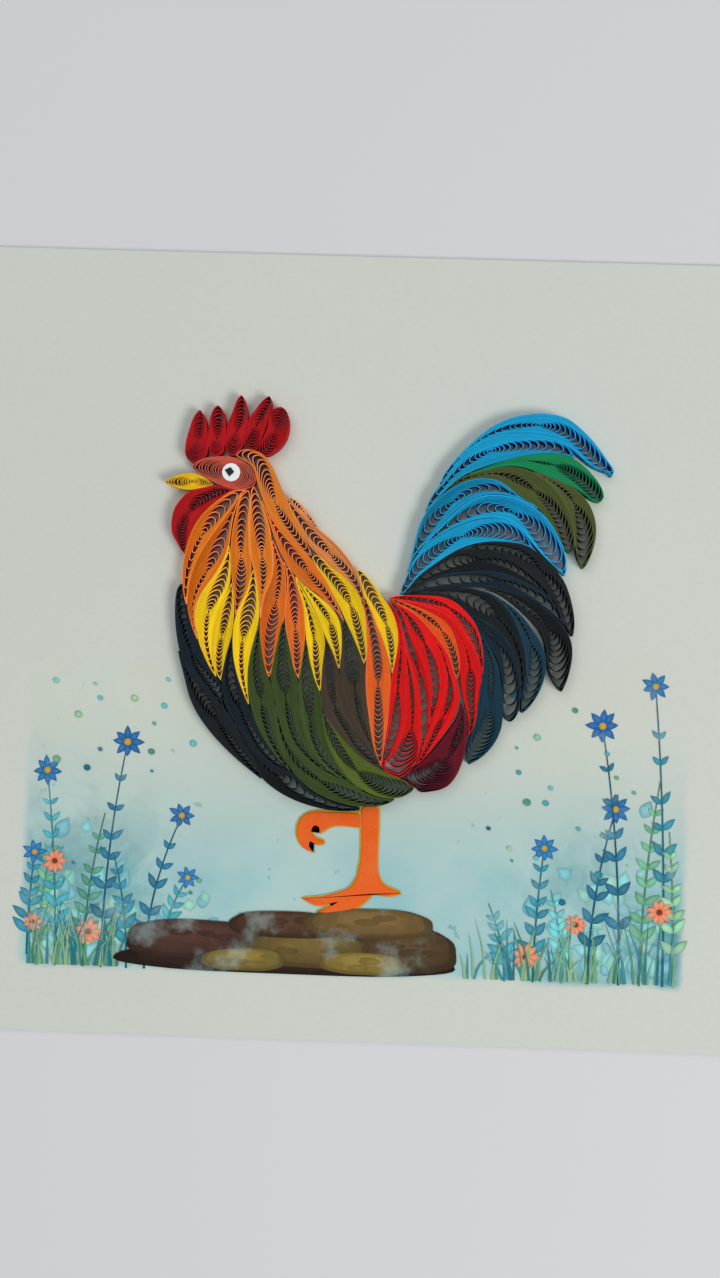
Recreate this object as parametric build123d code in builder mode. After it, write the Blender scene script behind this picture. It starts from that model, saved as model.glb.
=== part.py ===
from build123d import *
import math
import os

os.makedirs("parts", exist_ok=True)

# ---------------------------------------------------------------------------
# Quilled greeting card: a folded square card, lying closed on its back leaf,
# with a rooster made of rolled paper-strip coils glued on edge to the front
# leaf. Millimetres, +Z up, origin at the middle of the back face.
# ---------------------------------------------------------------------------

# card
card_side = 152.4          # 6 inch square card
leaf_thickness = 0.35      # 300 g/m2 card
leaf_gap = 0.40            # space between the closed leaves
fold_inner_radius = leaf_gap / 2
fold_outer_radius = fold_inner_radius + leaf_thickness
front_face = 2 * leaf_thickness + leaf_gap      # height of the front face

# quilling
strip_width = 3.0          # paper strip stands on edge, so coils are this tall
strip_pack = 0.30          # solid wall left where neighbouring turns lie together
first_gap = 0.42           # from the end of a coil to its first open crescent
gap_pitch_outer = 1.25     # spacing of the turns at the two ends of a coil
gap_pitch_inner = 0.62     # spacing of the turns beside the rolled eye
flank_band = 0.45          # solid band of close turns along each side
flank_step = 0.15          # each inner turn adds this much to the side bands
eye_radius = 0.45          # open centre where the strip starts
eye_clear = 0.75           # solid paper round that centre

# small cut pieces
leg_thickness = 0.50       # legs are cut from one sheet of thick card
eye_disc_radius = 1.76     # white paper disc on the face coil
eye_disc_thickness = 0.25
pupil_thickness = 0.20
eye_centre = (-25.61, 33.19)

# Outline of every coil: the two sides of the rolled loop, each listed from the
# pinched root to the pinched tip, and the centre where its strip is rolled.
coils = {
    "comb": [
        ([(-31.98, 45.01), (-32.27, 44.76), (-32.61, 44.38), (-32.97, 43.86), (-33.29, 43.19), (-33.57, 42.39), (-33.83, 41.49), (-34.08, 40.55), (-34.32, 39.58), (-34.52, 38.59), (-34.63, 37.60), (-34.60, 36.66), (-34.35, 35.88), (-33.90, 35.33), (-33.36, 35.04), (-32.83, 34.95), (-32.43, 34.99)],
         [(-31.98, 45.01), (-31.73, 44.76), (-31.45, 44.37), (-31.17, 43.85), (-30.91, 43.21), (-30.70, 42.45), (-30.54, 41.59), (-30.42, 40.66), (-30.34, 39.70), (-30.29, 38.73), (-30.29, 37.81), (-30.44, 36.97), (-30.73, 36.24), (-31.19, 35.67), (-31.82, 35.26), (-32.28, 35.04), (-32.43, 34.99)],
         (-32.35, 38.92)),
        ([(-28.56, 45.98), (-28.85, 45.79), (-29.17, 45.48), (-29.49, 45.00), (-29.76, 44.37), (-29.96, 43.63), (-30.09, 42.81), (-30.17, 41.94), (-30.21, 41.03), (-30.26, 40.11), (-30.25, 39.22), (-30.21, 38.38), (-30.07, 37.63), (-29.81, 37.02), (-29.46, 36.60), (-29.05, 36.36), (-28.68, 36.26)],
         [(-28.56, 45.98), (-28.27, 45.80), (-27.94, 45.48), (-27.63, 45.01), (-27.35, 44.38), (-27.14, 43.64), (-26.99, 42.82), (-26.91, 41.93), (-26.86, 41.01), (-26.86, 40.08), (-26.91, 39.18), (-27.04, 38.35), (-27.24, 37.61), (-27.53, 37.01), (-27.90, 36.60), (-28.30, 36.36), (-28.68, 36.26)],
         (-28.63, 39.61)),
        ([(-24.07, 48.05), (-24.37, 47.79), (-24.70, 47.37), (-25.02, 46.80), (-25.32, 46.06), (-25.59, 45.20), (-25.90, 44.25), (-26.30, 43.29), (-26.58, 42.29), (-26.68, 41.23), (-26.77, 40.19), (-26.84, 39.19), (-26.83, 38.29), (-26.70, 37.50), (-26.44, 36.92), (-26.04, 36.60), (-25.60, 36.49)],
         [(-24.07, 48.05), (-23.79, 47.76), (-23.52, 47.31), (-23.30, 46.68), (-23.11, 45.88), (-22.90, 44.97), (-22.74, 43.98), (-22.71, 42.95), (-22.83, 41.90), (-23.03, 40.84), (-23.28, 39.80), (-23.54, 38.81), (-23.87, 37.95), (-24.32, 37.27), (-24.75, 36.80), (-25.19, 36.54), (-25.60, 36.49)],
         (-24.79, 41.07)),
        ([(-18.82, 48.04), (-19.15, 47.84), (-19.57, 47.51), (-20.05, 47.05), (-20.56, 46.45), (-21.09, 45.73), (-21.64, 44.93), (-22.22, 44.08), (-22.63, 43.11), (-22.74, 42.05), (-22.90, 41.04), (-23.14, 40.10), (-23.33, 39.22), (-23.26, 38.45), (-22.84, 37.94), (-22.25, 37.73), (-21.97, 37.67)],
         [(-18.82, 48.04), (-18.55, 47.79), (-18.32, 47.35), (-18.26, 46.72), (-18.37, 45.99), (-18.56, 45.17), (-18.73, 44.26), (-18.91, 43.31), (-19.17, 42.35), (-19.48, 41.40), (-19.79, 40.48), (-20.05, 39.60), (-20.30, 38.80), (-20.63, 38.13), (-21.11, 37.73), (-21.60, 37.64), (-21.97, 37.67)],
         (-21.05, 42.34)),
        ([(-20.41, 37.38), (-20.40, 37.69), (-20.31, 38.10), (-20.17, 38.61), (-19.97, 39.20), (-19.71, 39.86), (-19.43, 40.58), (-19.14, 41.35), (-18.90, 42.15), (-18.75, 42.99), (-18.70, 43.83), (-18.61, 44.60), (-18.33, 45.21), (-17.82, 45.62), (-17.20, 45.86), (-16.76, 45.98), (-16.61, 46.04)],
         [(-20.41, 37.38), (-20.11, 37.13), (-19.57, 36.79), (-18.88, 36.70), (-18.12, 36.99), (-17.29, 37.53), (-16.48, 38.24), (-15.79, 39.10), (-15.27, 40.08), (-14.94, 41.15), (-14.78, 42.26), (-14.79, 43.34), (-14.97, 44.29), (-15.29, 45.06), (-15.71, 45.61), (-16.18, 45.92), (-16.61, 46.04)],
         (-17.48, 41.30)),
    ],
    "face": [
        ([(-33.17, 33.88), (-32.99, 34.37), (-32.61, 34.80), (-31.99, 35.11), (-31.18, 35.62), (-30.13, 35.91), (-28.96, 36.09), (-27.72, 36.22), (-26.45, 36.23), (-25.20, 36.06), (-24.02, 35.71), (-22.99, 35.18), (-22.17, 34.53), (-21.58, 33.82), (-21.20, 33.12), (-21.00, 32.49), (-20.91, 32.02)],
         [(-33.17, 33.88), (-32.83, 33.60), (-32.34, 33.25), (-31.72, 32.83), (-30.97, 32.36), (-30.11, 31.85), (-29.15, 31.35), (-28.10, 30.89), (-26.99, 30.49), (-25.83, 30.18), (-24.67, 29.99), (-23.58, 29.98), (-22.61, 30.18), (-21.82, 30.54), (-21.27, 31.03), (-20.98, 31.55), (-20.91, 32.02)],
         (-25.46, 33.20)),
    ],
    "beak": [
        ([(-38.36, 30.96), (-38.13, 31.18), (-37.78, 31.44), (-37.33, 31.73), (-36.75, 32.02), (-36.06, 32.29), (-35.29, 32.55), (-34.46, 32.76), (-33.60, 32.86), (-32.75, 32.80), (-31.93, 32.60), (-31.19, 32.30), (-30.54, 31.95), (-29.99, 31.58), (-29.56, 31.24), (-29.23, 30.95), (-29.01, 30.73)],
         [(-38.36, 30.96), (-38.09, 30.84), (-37.72, 30.66), (-37.24, 30.45), (-36.67, 30.23), (-36.02, 30.02), (-35.29, 29.84), (-34.52, 29.71), (-33.72, 29.65), (-32.91, 29.69), (-32.12, 29.83), (-31.39, 29.98), (-30.72, 30.15), (-30.14, 30.34), (-29.66, 30.49), (-29.28, 30.62), (-29.01, 30.73)],
         (-33.07, 31.24)),
    ],
    "wattle": [
        ([(-24.88, 29.92), (-25.58, 29.96), (-26.51, 30.16), (-27.67, 30.46), (-29.07, 30.56), (-30.61, 30.12), (-32.31, 29.74), (-33.98, 28.99), (-35.26, 27.60), (-36.29, 26.01), (-36.72, 24.23), (-36.80, 22.49), (-36.51, 20.94), (-35.78, 19.73), (-35.20, 18.69), (-34.69, 17.88), (-34.19, 17.40)],
         [(-24.88, 29.92), (-25.32, 29.68), (-25.91, 29.34), (-26.64, 28.90), (-27.48, 28.32), (-28.38, 27.62), (-29.32, 26.80), (-30.24, 25.85), (-31.11, 24.81), (-31.88, 23.69), (-32.53, 22.55), (-33.05, 21.41), (-33.43, 20.33), (-33.69, 19.35), (-33.86, 18.52), (-33.98, 17.84), (-34.19, 17.40)],
         (-33.55, 25.28)),
    ],
    "hackle_1": [
        ([(-22.64, 29.91), (-23.51, 29.88), (-24.69, 29.79), (-26.02, 29.20), (-27.47, 28.16), (-29.02, 26.92), (-30.55, 25.39), (-31.90, 23.54), (-32.96, 21.44), (-33.64, 19.19), (-34.11, 16.95), (-34.38, 14.81), (-34.39, 12.82), (-34.27, 11.06), (-34.06, 9.59), (-33.78, 8.45), (-33.48, 7.64)],
         [(-22.64, 29.91), (-23.31, 29.46), (-24.01, 28.68), (-24.72, 27.55), (-25.55, 26.21), (-26.54, 24.73), (-27.65, 23.13), (-28.81, 21.43), (-29.95, 19.65), (-30.99, 17.80), (-31.87, 15.93), (-32.53, 14.10), (-32.97, 12.38), (-33.22, 10.82), (-33.34, 9.48), (-33.41, 8.41), (-33.48, 7.64)],
         (-30.83, 20.96)),
    ],
    "hackle_2": [
        ([(-23.42, 29.20), (-24.06, 28.49), (-24.76, 27.38), (-25.63, 25.99), (-26.72, 24.37), (-27.97, 22.56), (-29.30, 20.57), (-30.61, 18.40), (-31.75, 16.05), (-32.61, 13.60), (-33.12, 11.11), (-33.30, 8.72), (-33.10, 6.54), (-32.63, 4.65), (-32.12, 3.09), (-31.60, 1.88), (-31.16, 1.02)],
         [(-23.42, 29.20), (-23.80, 28.36), (-24.26, 27.18), (-24.77, 25.68), (-25.16, 23.85), (-25.38, 21.74), (-25.67, 19.45), (-26.33, 17.09), (-27.39, 14.82), (-28.74, 12.70), (-30.13, 10.69), (-31.23, 8.66), (-31.77, 6.62), (-31.79, 4.75), (-31.59, 3.17), (-31.36, 1.93), (-31.16, 1.02)],
         (-29.66, 14.10)),
    ],
    "hackle_3": [
        ([(-22.20, 29.85), (-22.87, 29.49), (-23.55, 28.70), (-24.04, 27.49), (-24.33, 25.97), (-24.67, 24.24), (-25.00, 22.36), (-25.20, 20.35), (-25.26, 18.27), (-25.18, 16.19), (-25.02, 14.17), (-24.77, 12.27), (-24.52, 10.54), (-24.31, 9.00), (-24.16, 7.70), (-24.07, 6.65), (-23.94, 5.90)],
         [(-22.20, 29.85), (-21.99, 29.13), (-21.86, 28.11), (-21.87, 26.82), (-21.92, 25.29), (-21.91, 23.56), (-21.84, 21.68), (-21.72, 19.69), (-21.53, 17.66), (-21.29, 15.63), (-21.31, 13.64), (-21.65, 11.79), (-22.16, 10.14), (-22.75, 8.74), (-23.28, 7.56), (-23.66, 6.60), (-23.94, 5.90)],
         (-23.24, 17.37)),
    ],
    "hackle_4": [
        ([(-21.32, 30.60), (-21.60, 29.89), (-21.72, 28.82), (-21.79, 27.49), (-21.83, 25.91), (-21.87, 24.12), (-21.81, 22.17), (-21.69, 20.11), (-21.52, 18.00), (-21.09, 15.93), (-20.50, 13.95), (-20.04, 12.05), (-19.70, 10.30), (-19.49, 8.73), (-19.35, 7.40), (-19.18, 5.56)],
         [(-21.32, 30.60), (-20.80, 30.00), (-20.28, 29.03), (-19.71, 27.77), (-19.15, 26.24), (-18.47, 24.52), (-17.89, 22.60), (-17.54, 20.50), (-17.23, 18.34), (-17.04, 16.16), (-17.16, 14.04), (-17.67, 12.10), (-18.33, 10.37), (-18.82, 8.82), (-19.03, 7.46), (-19.18, 5.56)],
         (-19.23, 17.68)),
    ],
    "hackle_5": [
        ([(-17.38, 20.44), (-17.35, 19.62), (-17.19, 18.50), (-17.04, 17.09), (-16.98, 15.42), (-17.20, 13.54), (-17.80, 11.57), (-18.56, 9.53), (-18.98, 7.33), (-19.15, 5.09), (-19.13, 2.91), (-18.93, 0.85), (-18.64, -1.01), (-18.29, -2.65), (-17.91, -4.01), (-17.56, -5.09), (-17.15, -5.80)],
         [(-17.38, 20.44), (-16.89, 19.77), (-16.42, 18.73), (-15.82, 17.42), (-15.04, 15.91), (-14.64, 14.04), (-14.47, 11.95), (-14.40, 9.74), (-14.45, 7.46), (-14.66, 5.21), (-15.35, 3.11), (-15.72, 1.05), (-16.08, -0.84), (-16.36, -2.52), (-16.58, -3.93), (-16.78, -5.06), (-17.15, -5.80)],
         (-16.26, 8.39)),
    ],
    "hackle_6": [
        ([(-19.53, 27.92), (-19.30, 27.07), (-18.86, 25.96), (-18.26, 24.58), (-17.63, 22.93), (-16.93, 21.05), (-16.08, 19.03), (-15.01, 16.98), (-13.67, 15.02), (-12.06, 13.25), (-10.35, 11.70), (-8.51, 10.53), (-6.98, 9.23), (-5.70, 7.99), (-4.49, 7.11), (-3.21, 5.44)],
         [(-19.53, 27.92), (-19.10, 27.17), (-18.48, 26.16), (-17.67, 24.92), (-16.57, 23.57), (-15.19, 22.15), (-13.61, 20.67), (-11.94, 19.11), (-10.21, 17.51), (-8.70, 15.72), (-7.40, 13.85), (-6.23, 12.04), (-5.27, 10.31), (-4.52, 8.72), (-3.94, 7.35), (-3.21, 5.44)],
         (-10.32, 14.70)),
    ],
    "hackle_7": [
        ([(-15.05, 16.28), (-14.77, 15.63), (-14.51, 14.71), (-14.31, 13.53), (-14.24, 12.12), (-14.26, 10.51), (-14.33, 8.76), (-14.40, 6.91), (-14.38, 5.01), (-14.11, 3.13), (-13.70, 1.33), (-13.28, -0.37), (-12.93, -1.94), (-12.60, -3.32), (-12.22, -4.45), (-11.83, -5.32), (-11.50, -5.93)],
         [(-15.05, 16.28), (-14.48, 15.83), (-13.85, 15.10), (-13.19, 14.06), (-12.57, 12.74), (-11.99, 11.19), (-11.44, 9.47), (-11.02, 7.62), (-10.73, 5.69), (-10.58, 3.75), (-10.55, 1.85), (-10.64, 0.04), (-10.83, -1.61), (-11.03, -3.06), (-11.20, -4.27), (-11.35, -5.23), (-11.50, -5.93)],
         (-12.40, 3.97)),
    ],
    "hackle_crest": [
        ([(-24.82, 36.63), (-24.25, 36.12), (-23.30, 35.65), (-22.15, 34.99), (-21.21, 33.75), (-20.71, 32.06), (-20.12, 30.22), (-19.39, 28.31), (-18.54, 26.39), (-17.38, 24.64), (-16.05, 23.09), (-14.67, 21.74), (-13.37, 20.53), (-12.22, 19.47), (-11.24, 18.57), (-10.43, 17.90), (-9.70, 17.74)],
         [(-24.82, 36.63), (-24.26, 37.26), (-23.23, 37.72), (-21.80, 37.59), (-20.17, 37.11), (-18.69, 35.90), (-17.63, 34.08), (-16.69, 32.06), (-15.75, 29.98), (-14.77, 27.92), (-13.79, 25.92), (-12.85, 24.04), (-11.97, 22.32), (-11.15, 20.83), (-10.46, 19.56), (-9.93, 18.54), (-9.70, 17.74)],
         (-16.98, 27.72)),
    ],
    "hackle_back": [
        ([(-15.16, 28.92), (-14.82, 28.19), (-14.36, 27.20), (-13.76, 25.97), (-13.03, 24.52), (-12.20, 22.89), (-11.26, 21.12), (-10.01, 19.44), (-8.44, 17.91), (-6.82, 16.47), (-5.20, 15.14), (-3.56, 13.96), (-2.18, 12.76), (-1.12, 11.54), (-0.37, 10.39), (0.16, 9.45), (0.63, 9.16)],
         [(-15.16, 28.92), (-14.59, 28.34), (-13.83, 27.53), (-12.87, 26.53), (-11.69, 25.40), (-10.28, 24.19), (-8.69, 22.95), (-6.99, 21.65), (-5.32, 20.23), (-3.77, 18.66), (-2.41, 17.01), (-1.30, 15.32), (-0.47, 13.66), (0.01, 12.07), (0.42, 10.76), (0.71, 9.72), (0.63, 9.16)],
         (-6.22, 18.28)),
        ([(-14.50, 28.64), (-14.37, 28.45), (-14.17, 28.20), (-13.92, 27.90), (-13.62, 27.55), (-13.27, 27.15), (-12.88, 26.73), (-12.46, 26.29), (-12.02, 25.84), (-11.56, 25.42), (-11.10, 25.01), (-10.66, 24.65), (-10.25, 24.32), (-9.87, 24.05), (-9.55, 23.82), (-9.09, 23.54)],
         [(-14.50, 28.64), (-14.25, 28.64), (-13.93, 28.59), (-13.56, 28.46), (-13.14, 28.25), (-12.69, 27.94), (-12.22, 27.57), (-11.74, 27.15), (-11.27, 26.70), (-10.83, 26.22), (-10.43, 25.74), (-10.08, 25.27), (-9.78, 24.82), (-9.53, 24.41), (-9.34, 24.05), (-9.09, 23.54)],
         (-11.45, 26.07)),
    ],
    "cape_1": [
        ([(-25.66, 19.15), (-25.86, 18.31), (-26.22, 17.20), (-26.78, 15.87), (-27.60, 14.36), (-28.67, 12.71), (-29.91, 10.93), (-31.02, 8.98), (-31.69, 6.79), (-31.71, 4.46), (-31.26, 2.25), (-30.75, 0.18), (-29.97, -1.64), (-29.23, -3.20), (-28.52, -4.46), (-27.89, -5.40), (-27.36, -6.02)],
         [(-25.66, 19.15), (-25.46, 18.39), (-25.31, 17.32), (-25.23, 15.97), (-25.17, 14.36), (-25.25, 12.54), (-25.55, 10.59), (-26.24, 8.63), (-27.04, 6.62), (-27.68, 4.56), (-28.10, 2.51), (-28.28, 0.56), (-28.23, -1.26), (-28.01, -2.86), (-27.71, -4.19), (-27.49, -5.25), (-27.36, -6.02)],
         (-29.11, 6.30)),
    ],
    "cape_2": [
        ([(-24.91, 11.95), (-25.09, 11.37), (-25.37, 10.60), (-25.76, 9.65), (-26.22, 8.53), (-26.74, 7.25), (-27.24, 5.84), (-27.68, 4.32), (-28.00, 2.73), (-28.19, 1.10), (-28.22, -0.50), (-28.08, -2.00), (-27.84, -3.36), (-27.55, -4.53), (-27.19, -5.48), (-26.80, -6.20), (-26.44, -6.68)],
         [(-24.91, 11.95), (-24.80, 11.38), (-24.65, 10.59), (-24.51, 9.60), (-24.39, 8.43), (-24.33, 7.10), (-24.33, 5.66), (-24.41, 4.13), (-24.57, 2.57), (-24.83, 1.01), (-25.22, -0.51), (-25.56, -1.94), (-25.84, -3.25), (-26.04, -4.40), (-26.19, -5.36), (-26.32, -6.12), (-26.44, -6.68)],
         (-26.53, 1.74)),
    ],
    "cape_3": [
        ([(-20.84, 14.55), (-21.15, 13.79), (-21.36, 12.68), (-21.69, 11.30), (-22.22, 9.71), (-23.03, 7.99), (-23.76, 6.06), (-24.25, 3.93), (-24.38, 1.69), (-24.29, -0.55), (-24.02, -2.72), (-23.54, -4.73), (-22.97, -6.54), (-22.37, -8.10), (-21.81, -9.41), (-21.34, -10.43), (-20.92, -11.15)],
         [(-20.84, 14.55), (-20.53, 13.82), (-20.26, 12.75), (-19.97, 11.41), (-19.69, 9.81), (-19.47, 7.99), (-19.41, 5.98), (-19.63, 3.88), (-20.14, 1.76), (-20.65, -0.36), (-21.03, -2.44), (-21.24, -4.43), (-21.28, -6.27), (-21.20, -7.89), (-21.07, -9.26), (-20.94, -10.35), (-20.92, -11.15)],
         (-22.46, 1.37)),
    ],
    "cape_4": [
        ([(-12.61, 13.53), (-12.50, 12.85), (-12.37, 12.43), (-12.21, 11.95), (-12.02, 11.42), (-11.81, 10.84), (-11.59, 10.20), (-11.36, 9.51), (-11.15, 8.77), (-10.97, 7.97), (-10.82, 7.14), (-10.71, 6.26), (-10.62, 5.37), (-10.54, 4.45), (-10.45, 3.51), (-10.35, 2.58), (-10.21, 1.65), (-10.01, 0.73), (-9.80, -0.17), (-9.65, -1.06), (-9.48, -1.92), (-9.28, -2.75), (-9.06, -3.53), (-8.85, -4.27), (-8.65, -4.97), (-8.46, -5.62), (-8.24, -6.20), (-8.03, -6.72), (-7.82, -7.18), (-7.62, -7.58), (-7.46, -7.92), (-7.31, -8.19)],
         [(-12.61, 13.53), (-12.27, 12.90), (-12.06, 12.50), (-11.80, 12.04), (-11.51, 11.55), (-11.17, 11.00), (-10.79, 10.42), (-10.38, 9.79), (-9.96, 9.11), (-9.54, 8.38), (-9.12, 7.62), (-8.70, 6.81), (-8.29, 5.97), (-7.88, 5.11), (-7.49, 4.23), (-7.15, 3.32), (-6.88, 2.39), (-6.71, 1.44), (-6.67, 0.48), (-6.71, -0.45), (-6.81, -1.35), (-6.91, -2.22), (-6.98, -3.06), (-7.03, -3.85), (-7.06, -4.60), (-7.08, -5.30), (-7.10, -5.94), (-7.11, -6.52), (-7.13, -7.04), (-7.16, -7.50), (-7.22, -7.88), (-7.31, -8.19)],
         (-8.78, 1.92)),
        ([(-12.39, 13.39), (-11.89, 12.56), (-11.65, 12.20), (-11.39, 11.79), (-11.11, 11.34), (-10.81, 10.85), (-10.48, 10.32), (-10.14, 9.75), (-9.79, 9.15), (-9.44, 8.51), (-9.08, 7.85), (-8.72, 7.17), (-8.37, 6.46), (-8.02, 5.73), (-7.70, 4.99), (-7.39, 4.25), (-7.09, 3.50), (-6.78, 2.77), (-6.46, 2.07), (-6.12, 1.40), (-5.77, 0.76), (-5.45, 0.14), (-5.16, -0.46), (-4.91, -1.03), (-4.70, -1.56), (-4.51, -2.06), (-4.35, -2.52), (-4.20, -2.92), (-4.06, -3.27), (-3.91, -3.56), (-3.73, -3.76)],
         [(-12.39, 13.39), (-11.66, 12.63), (-11.31, 12.31), (-10.91, 11.97), (-10.46, 11.61), (-9.95, 11.24), (-9.40, 10.85), (-8.81, 10.43), (-8.19, 10.00), (-7.55, 9.53), (-6.91, 9.02), (-6.27, 8.46), (-5.65, 7.87), (-5.07, 7.22), (-4.57, 6.50), (-4.16, 5.72), (-3.85, 4.91), (-3.63, 4.08), (-3.49, 3.24), (-3.43, 2.42), (-3.40, 1.63), (-3.38, 0.88), (-3.38, 0.16), (-3.40, -0.52), (-3.44, -1.15), (-3.48, -1.73), (-3.53, -2.25), (-3.58, -2.72), (-3.61, -3.13), (-3.65, -3.48), (-3.73, -3.76)],
         (-5.81, 5.07)),
    ],
    "cape_5": [
        ([(-9.55, 17.41), (-9.28, 16.77), (-8.79, 15.95), (-8.09, 14.97), (-7.28, 13.81), (-6.41, 12.46), (-5.54, 10.95), (-4.67, 9.32), (-3.80, 7.63), (-2.96, 5.92), (-2.15, 4.27), (-1.36, 2.70), (-0.70, 1.25), (-0.13, -0.05), (0.33, -1.16), (0.68, -2.05), (1.01, -2.66)],
         [(-9.55, 17.41), (-8.89, 17.80), (-7.93, 17.41), (-6.95, 16.49), (-5.74, 15.46), (-4.27, 14.41), (-2.72, 13.19), (-1.31, 11.67), (-0.17, 9.87), (0.58, 7.88), (0.97, 5.83), (1.19, 3.88), (1.33, 2.08), (1.41, 0.49), (1.40, -0.86), (1.28, -1.93), (1.01, -2.66)],
         (-1.93, 8.45)),
    ],
    "cape_6": [
        ([(-1.07, 15.30), (-0.77, 14.73), (-0.47, 13.90), (-0.14, 12.87), (0.25, 11.62), (0.68, 10.19), (1.45, 8.77), (2.20, 7.23), (2.87, 5.61), (3.58, 4.00), (4.27, 2.43), (4.87, 0.93), (5.36, -0.47), (5.74, -1.72), (6.04, -2.79), (6.26, -3.65), (6.42, -4.28)],
         [(-1.07, 15.30), (-0.37, 15.14), (0.42, 14.63), (1.28, 13.77), (2.24, 12.71), (3.24, 11.46), (4.21, 9.99), (5.37, 8.56), (6.28, 6.89), (6.94, 5.09), (7.29, 3.28), (7.36, 1.53), (7.22, -0.08), (7.00, -1.49), (6.78, -2.67), (6.59, -3.61), (6.42, -4.28)],
         (4.96, 5.10)),
    ],
    "rust_feather": [
        ([(0.64, 9.11), (0.62, 8.32), (0.84, 7.00), (1.09, 5.33), (1.30, 3.35), (1.45, 1.10), (1.45, -1.37), (1.39, -3.97), (1.45, -6.64), (1.70, -9.30), (2.09, -11.87), (2.48, -14.31), (2.87, -16.53), (3.31, -18.47), (3.83, -20.06), (4.40, -21.29), (4.81, -22.18)],
         [(0.64, 9.11), (1.34, 8.84), (1.96, 7.65), (2.64, 6.01), (3.47, 4.12), (4.38, 1.99), (5.27, -0.39), (5.96, -2.98), (6.21, -5.72), (6.11, -8.51), (6.03, -11.19), (5.89, -13.72), (5.65, -16.04), (5.38, -18.09), (5.14, -19.81), (4.96, -21.18), (4.81, -22.18)],
         (3.85, -6.50)),
    ],
    "breast_olive_1": [
        ([(-19.30, 4.75), (-19.55, 3.84), (-19.84, 2.60), (-20.23, 1.01), (-20.68, -0.90), (-21.06, -3.08), (-21.21, -5.48), (-21.08, -8.01), (-20.67, -10.58), (-19.97, -13.10), (-19.00, -15.44), (-17.84, -17.55), (-16.60, -19.36), (-15.41, -20.88), (-14.32, -22.10), (-13.36, -23.00), (-12.65, -23.65)],
         [(-19.30, 4.75), (-19.25, 3.85), (-19.18, 2.62), (-19.02, 1.08), (-18.75, -0.73), (-18.32, -2.75), (-17.69, -4.92), (-16.85, -7.14), (-16.27, -9.50), (-15.81, -11.91), (-15.52, -14.29), (-15.16, -16.51), (-14.62, -18.50), (-14.02, -20.23), (-13.47, -21.68), (-12.99, -22.82), (-12.65, -23.65)],
         (-18.47, -10.46)),
    ],
    "breast_olive_2": [
        ([(-14.69, 4.88), (-15.04, 4.01), (-15.38, 2.65), (-15.68, 0.93), (-16.07, -1.08), (-16.42, -3.35), (-16.78, -5.85), (-16.40, -8.48), (-15.66, -11.10), (-14.85, -13.71), (-13.86, -16.18), (-12.59, -18.34), (-11.02, -20.00), (-9.46, -21.32), (-8.05, -22.30), (-6.84, -22.93), (-5.88, -23.28)],
         [(-14.69, 4.88), (-14.36, 4.31), (-14.14, 3.01), (-13.78, 1.41), (-13.34, -0.41), (-12.87, -2.50), (-12.17, -4.74), (-11.46, -7.04), (-11.55, -9.60), (-11.21, -12.11), (-10.90, -14.56), (-10.22, -16.80), (-9.32, -18.75), (-8.34, -20.37), (-7.39, -21.66), (-6.54, -22.62), (-5.88, -23.28)],
         (-13.87, -9.24)),
    ],
    "breast_olive_3": [
        ([(-10.44, 0.50), (-10.53, 0.05), (-10.61, -0.49), (-10.71, -1.12), (-10.81, -1.85), (-10.92, -2.67), (-11.05, -3.59), (-11.19, -4.59), (-11.30, -5.66), (-11.37, -6.80), (-11.40, -8.00), (-11.37, -9.25), (-11.30, -10.54), (-11.18, -11.88), (-11.00, -13.23), (-10.73, -14.59), (-10.37, -15.94), (-9.90, -17.26), (-9.34, -18.52), (-8.68, -19.71), (-7.92, -20.79), (-7.08, -21.76), (-6.17, -22.61), (-5.23, -23.35), (-4.28, -23.99), (-3.35, -24.55), (-2.46, -25.04), (-1.64, -25.47), (-0.90, -25.85), (-0.23, -26.17), (0.35, -26.45), (1.26, -26.89)],
         [(-10.44, 0.50), (-10.17, 0.63), (-9.97, 0.38), (-9.85, -0.23), (-9.71, -1.08), (-9.54, -1.99), (-9.32, -2.84), (-9.09, -3.68), (-8.82, -4.60), (-8.52, -5.62), (-8.11, -6.68), (-7.60, -7.76), (-7.18, -8.89), (-7.03, -10.15), (-6.82, -11.40), (-6.66, -12.67), (-6.48, -13.95), (-6.30, -15.25), (-6.03, -16.52), (-5.67, -17.74), (-5.23, -18.91), (-4.73, -20.02), (-4.18, -21.06), (-3.59, -22.01), (-2.97, -22.88), (-2.34, -23.66), (-1.72, -24.36), (-1.10, -24.96), (-0.52, -25.48), (0.01, -25.94), (0.50, -26.32), (1.26, -26.89)],
         (-9.06, -13.61)),
    ],
    "breast_olive_4": [
        ([(-15.72, -11.14), (-15.66, -12.22), (-15.59, -12.91), (-15.51, -13.69), (-15.40, -14.57), (-15.25, -15.53), (-15.05, -16.56), (-14.77, -17.66), (-14.43, -18.82), (-14.01, -20.02), (-13.51, -21.24), (-12.88, -22.46), (-12.07, -23.62), (-11.11, -24.69), (-10.07, -25.73), (-8.97, -26.70), (-7.74, -27.51), (-6.43, -28.16), (-5.10, -28.73), (-3.77, -29.20), (-2.44, -29.57), (-1.14, -29.84), (0.11, -30.01), (1.32, -30.09), (2.45, -30.10), (3.50, -30.04), (4.47, -29.91), (5.33, -29.72), (6.08, -29.48), (6.72, -29.21), (7.22, -28.90), (7.58, -28.57)],
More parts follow.
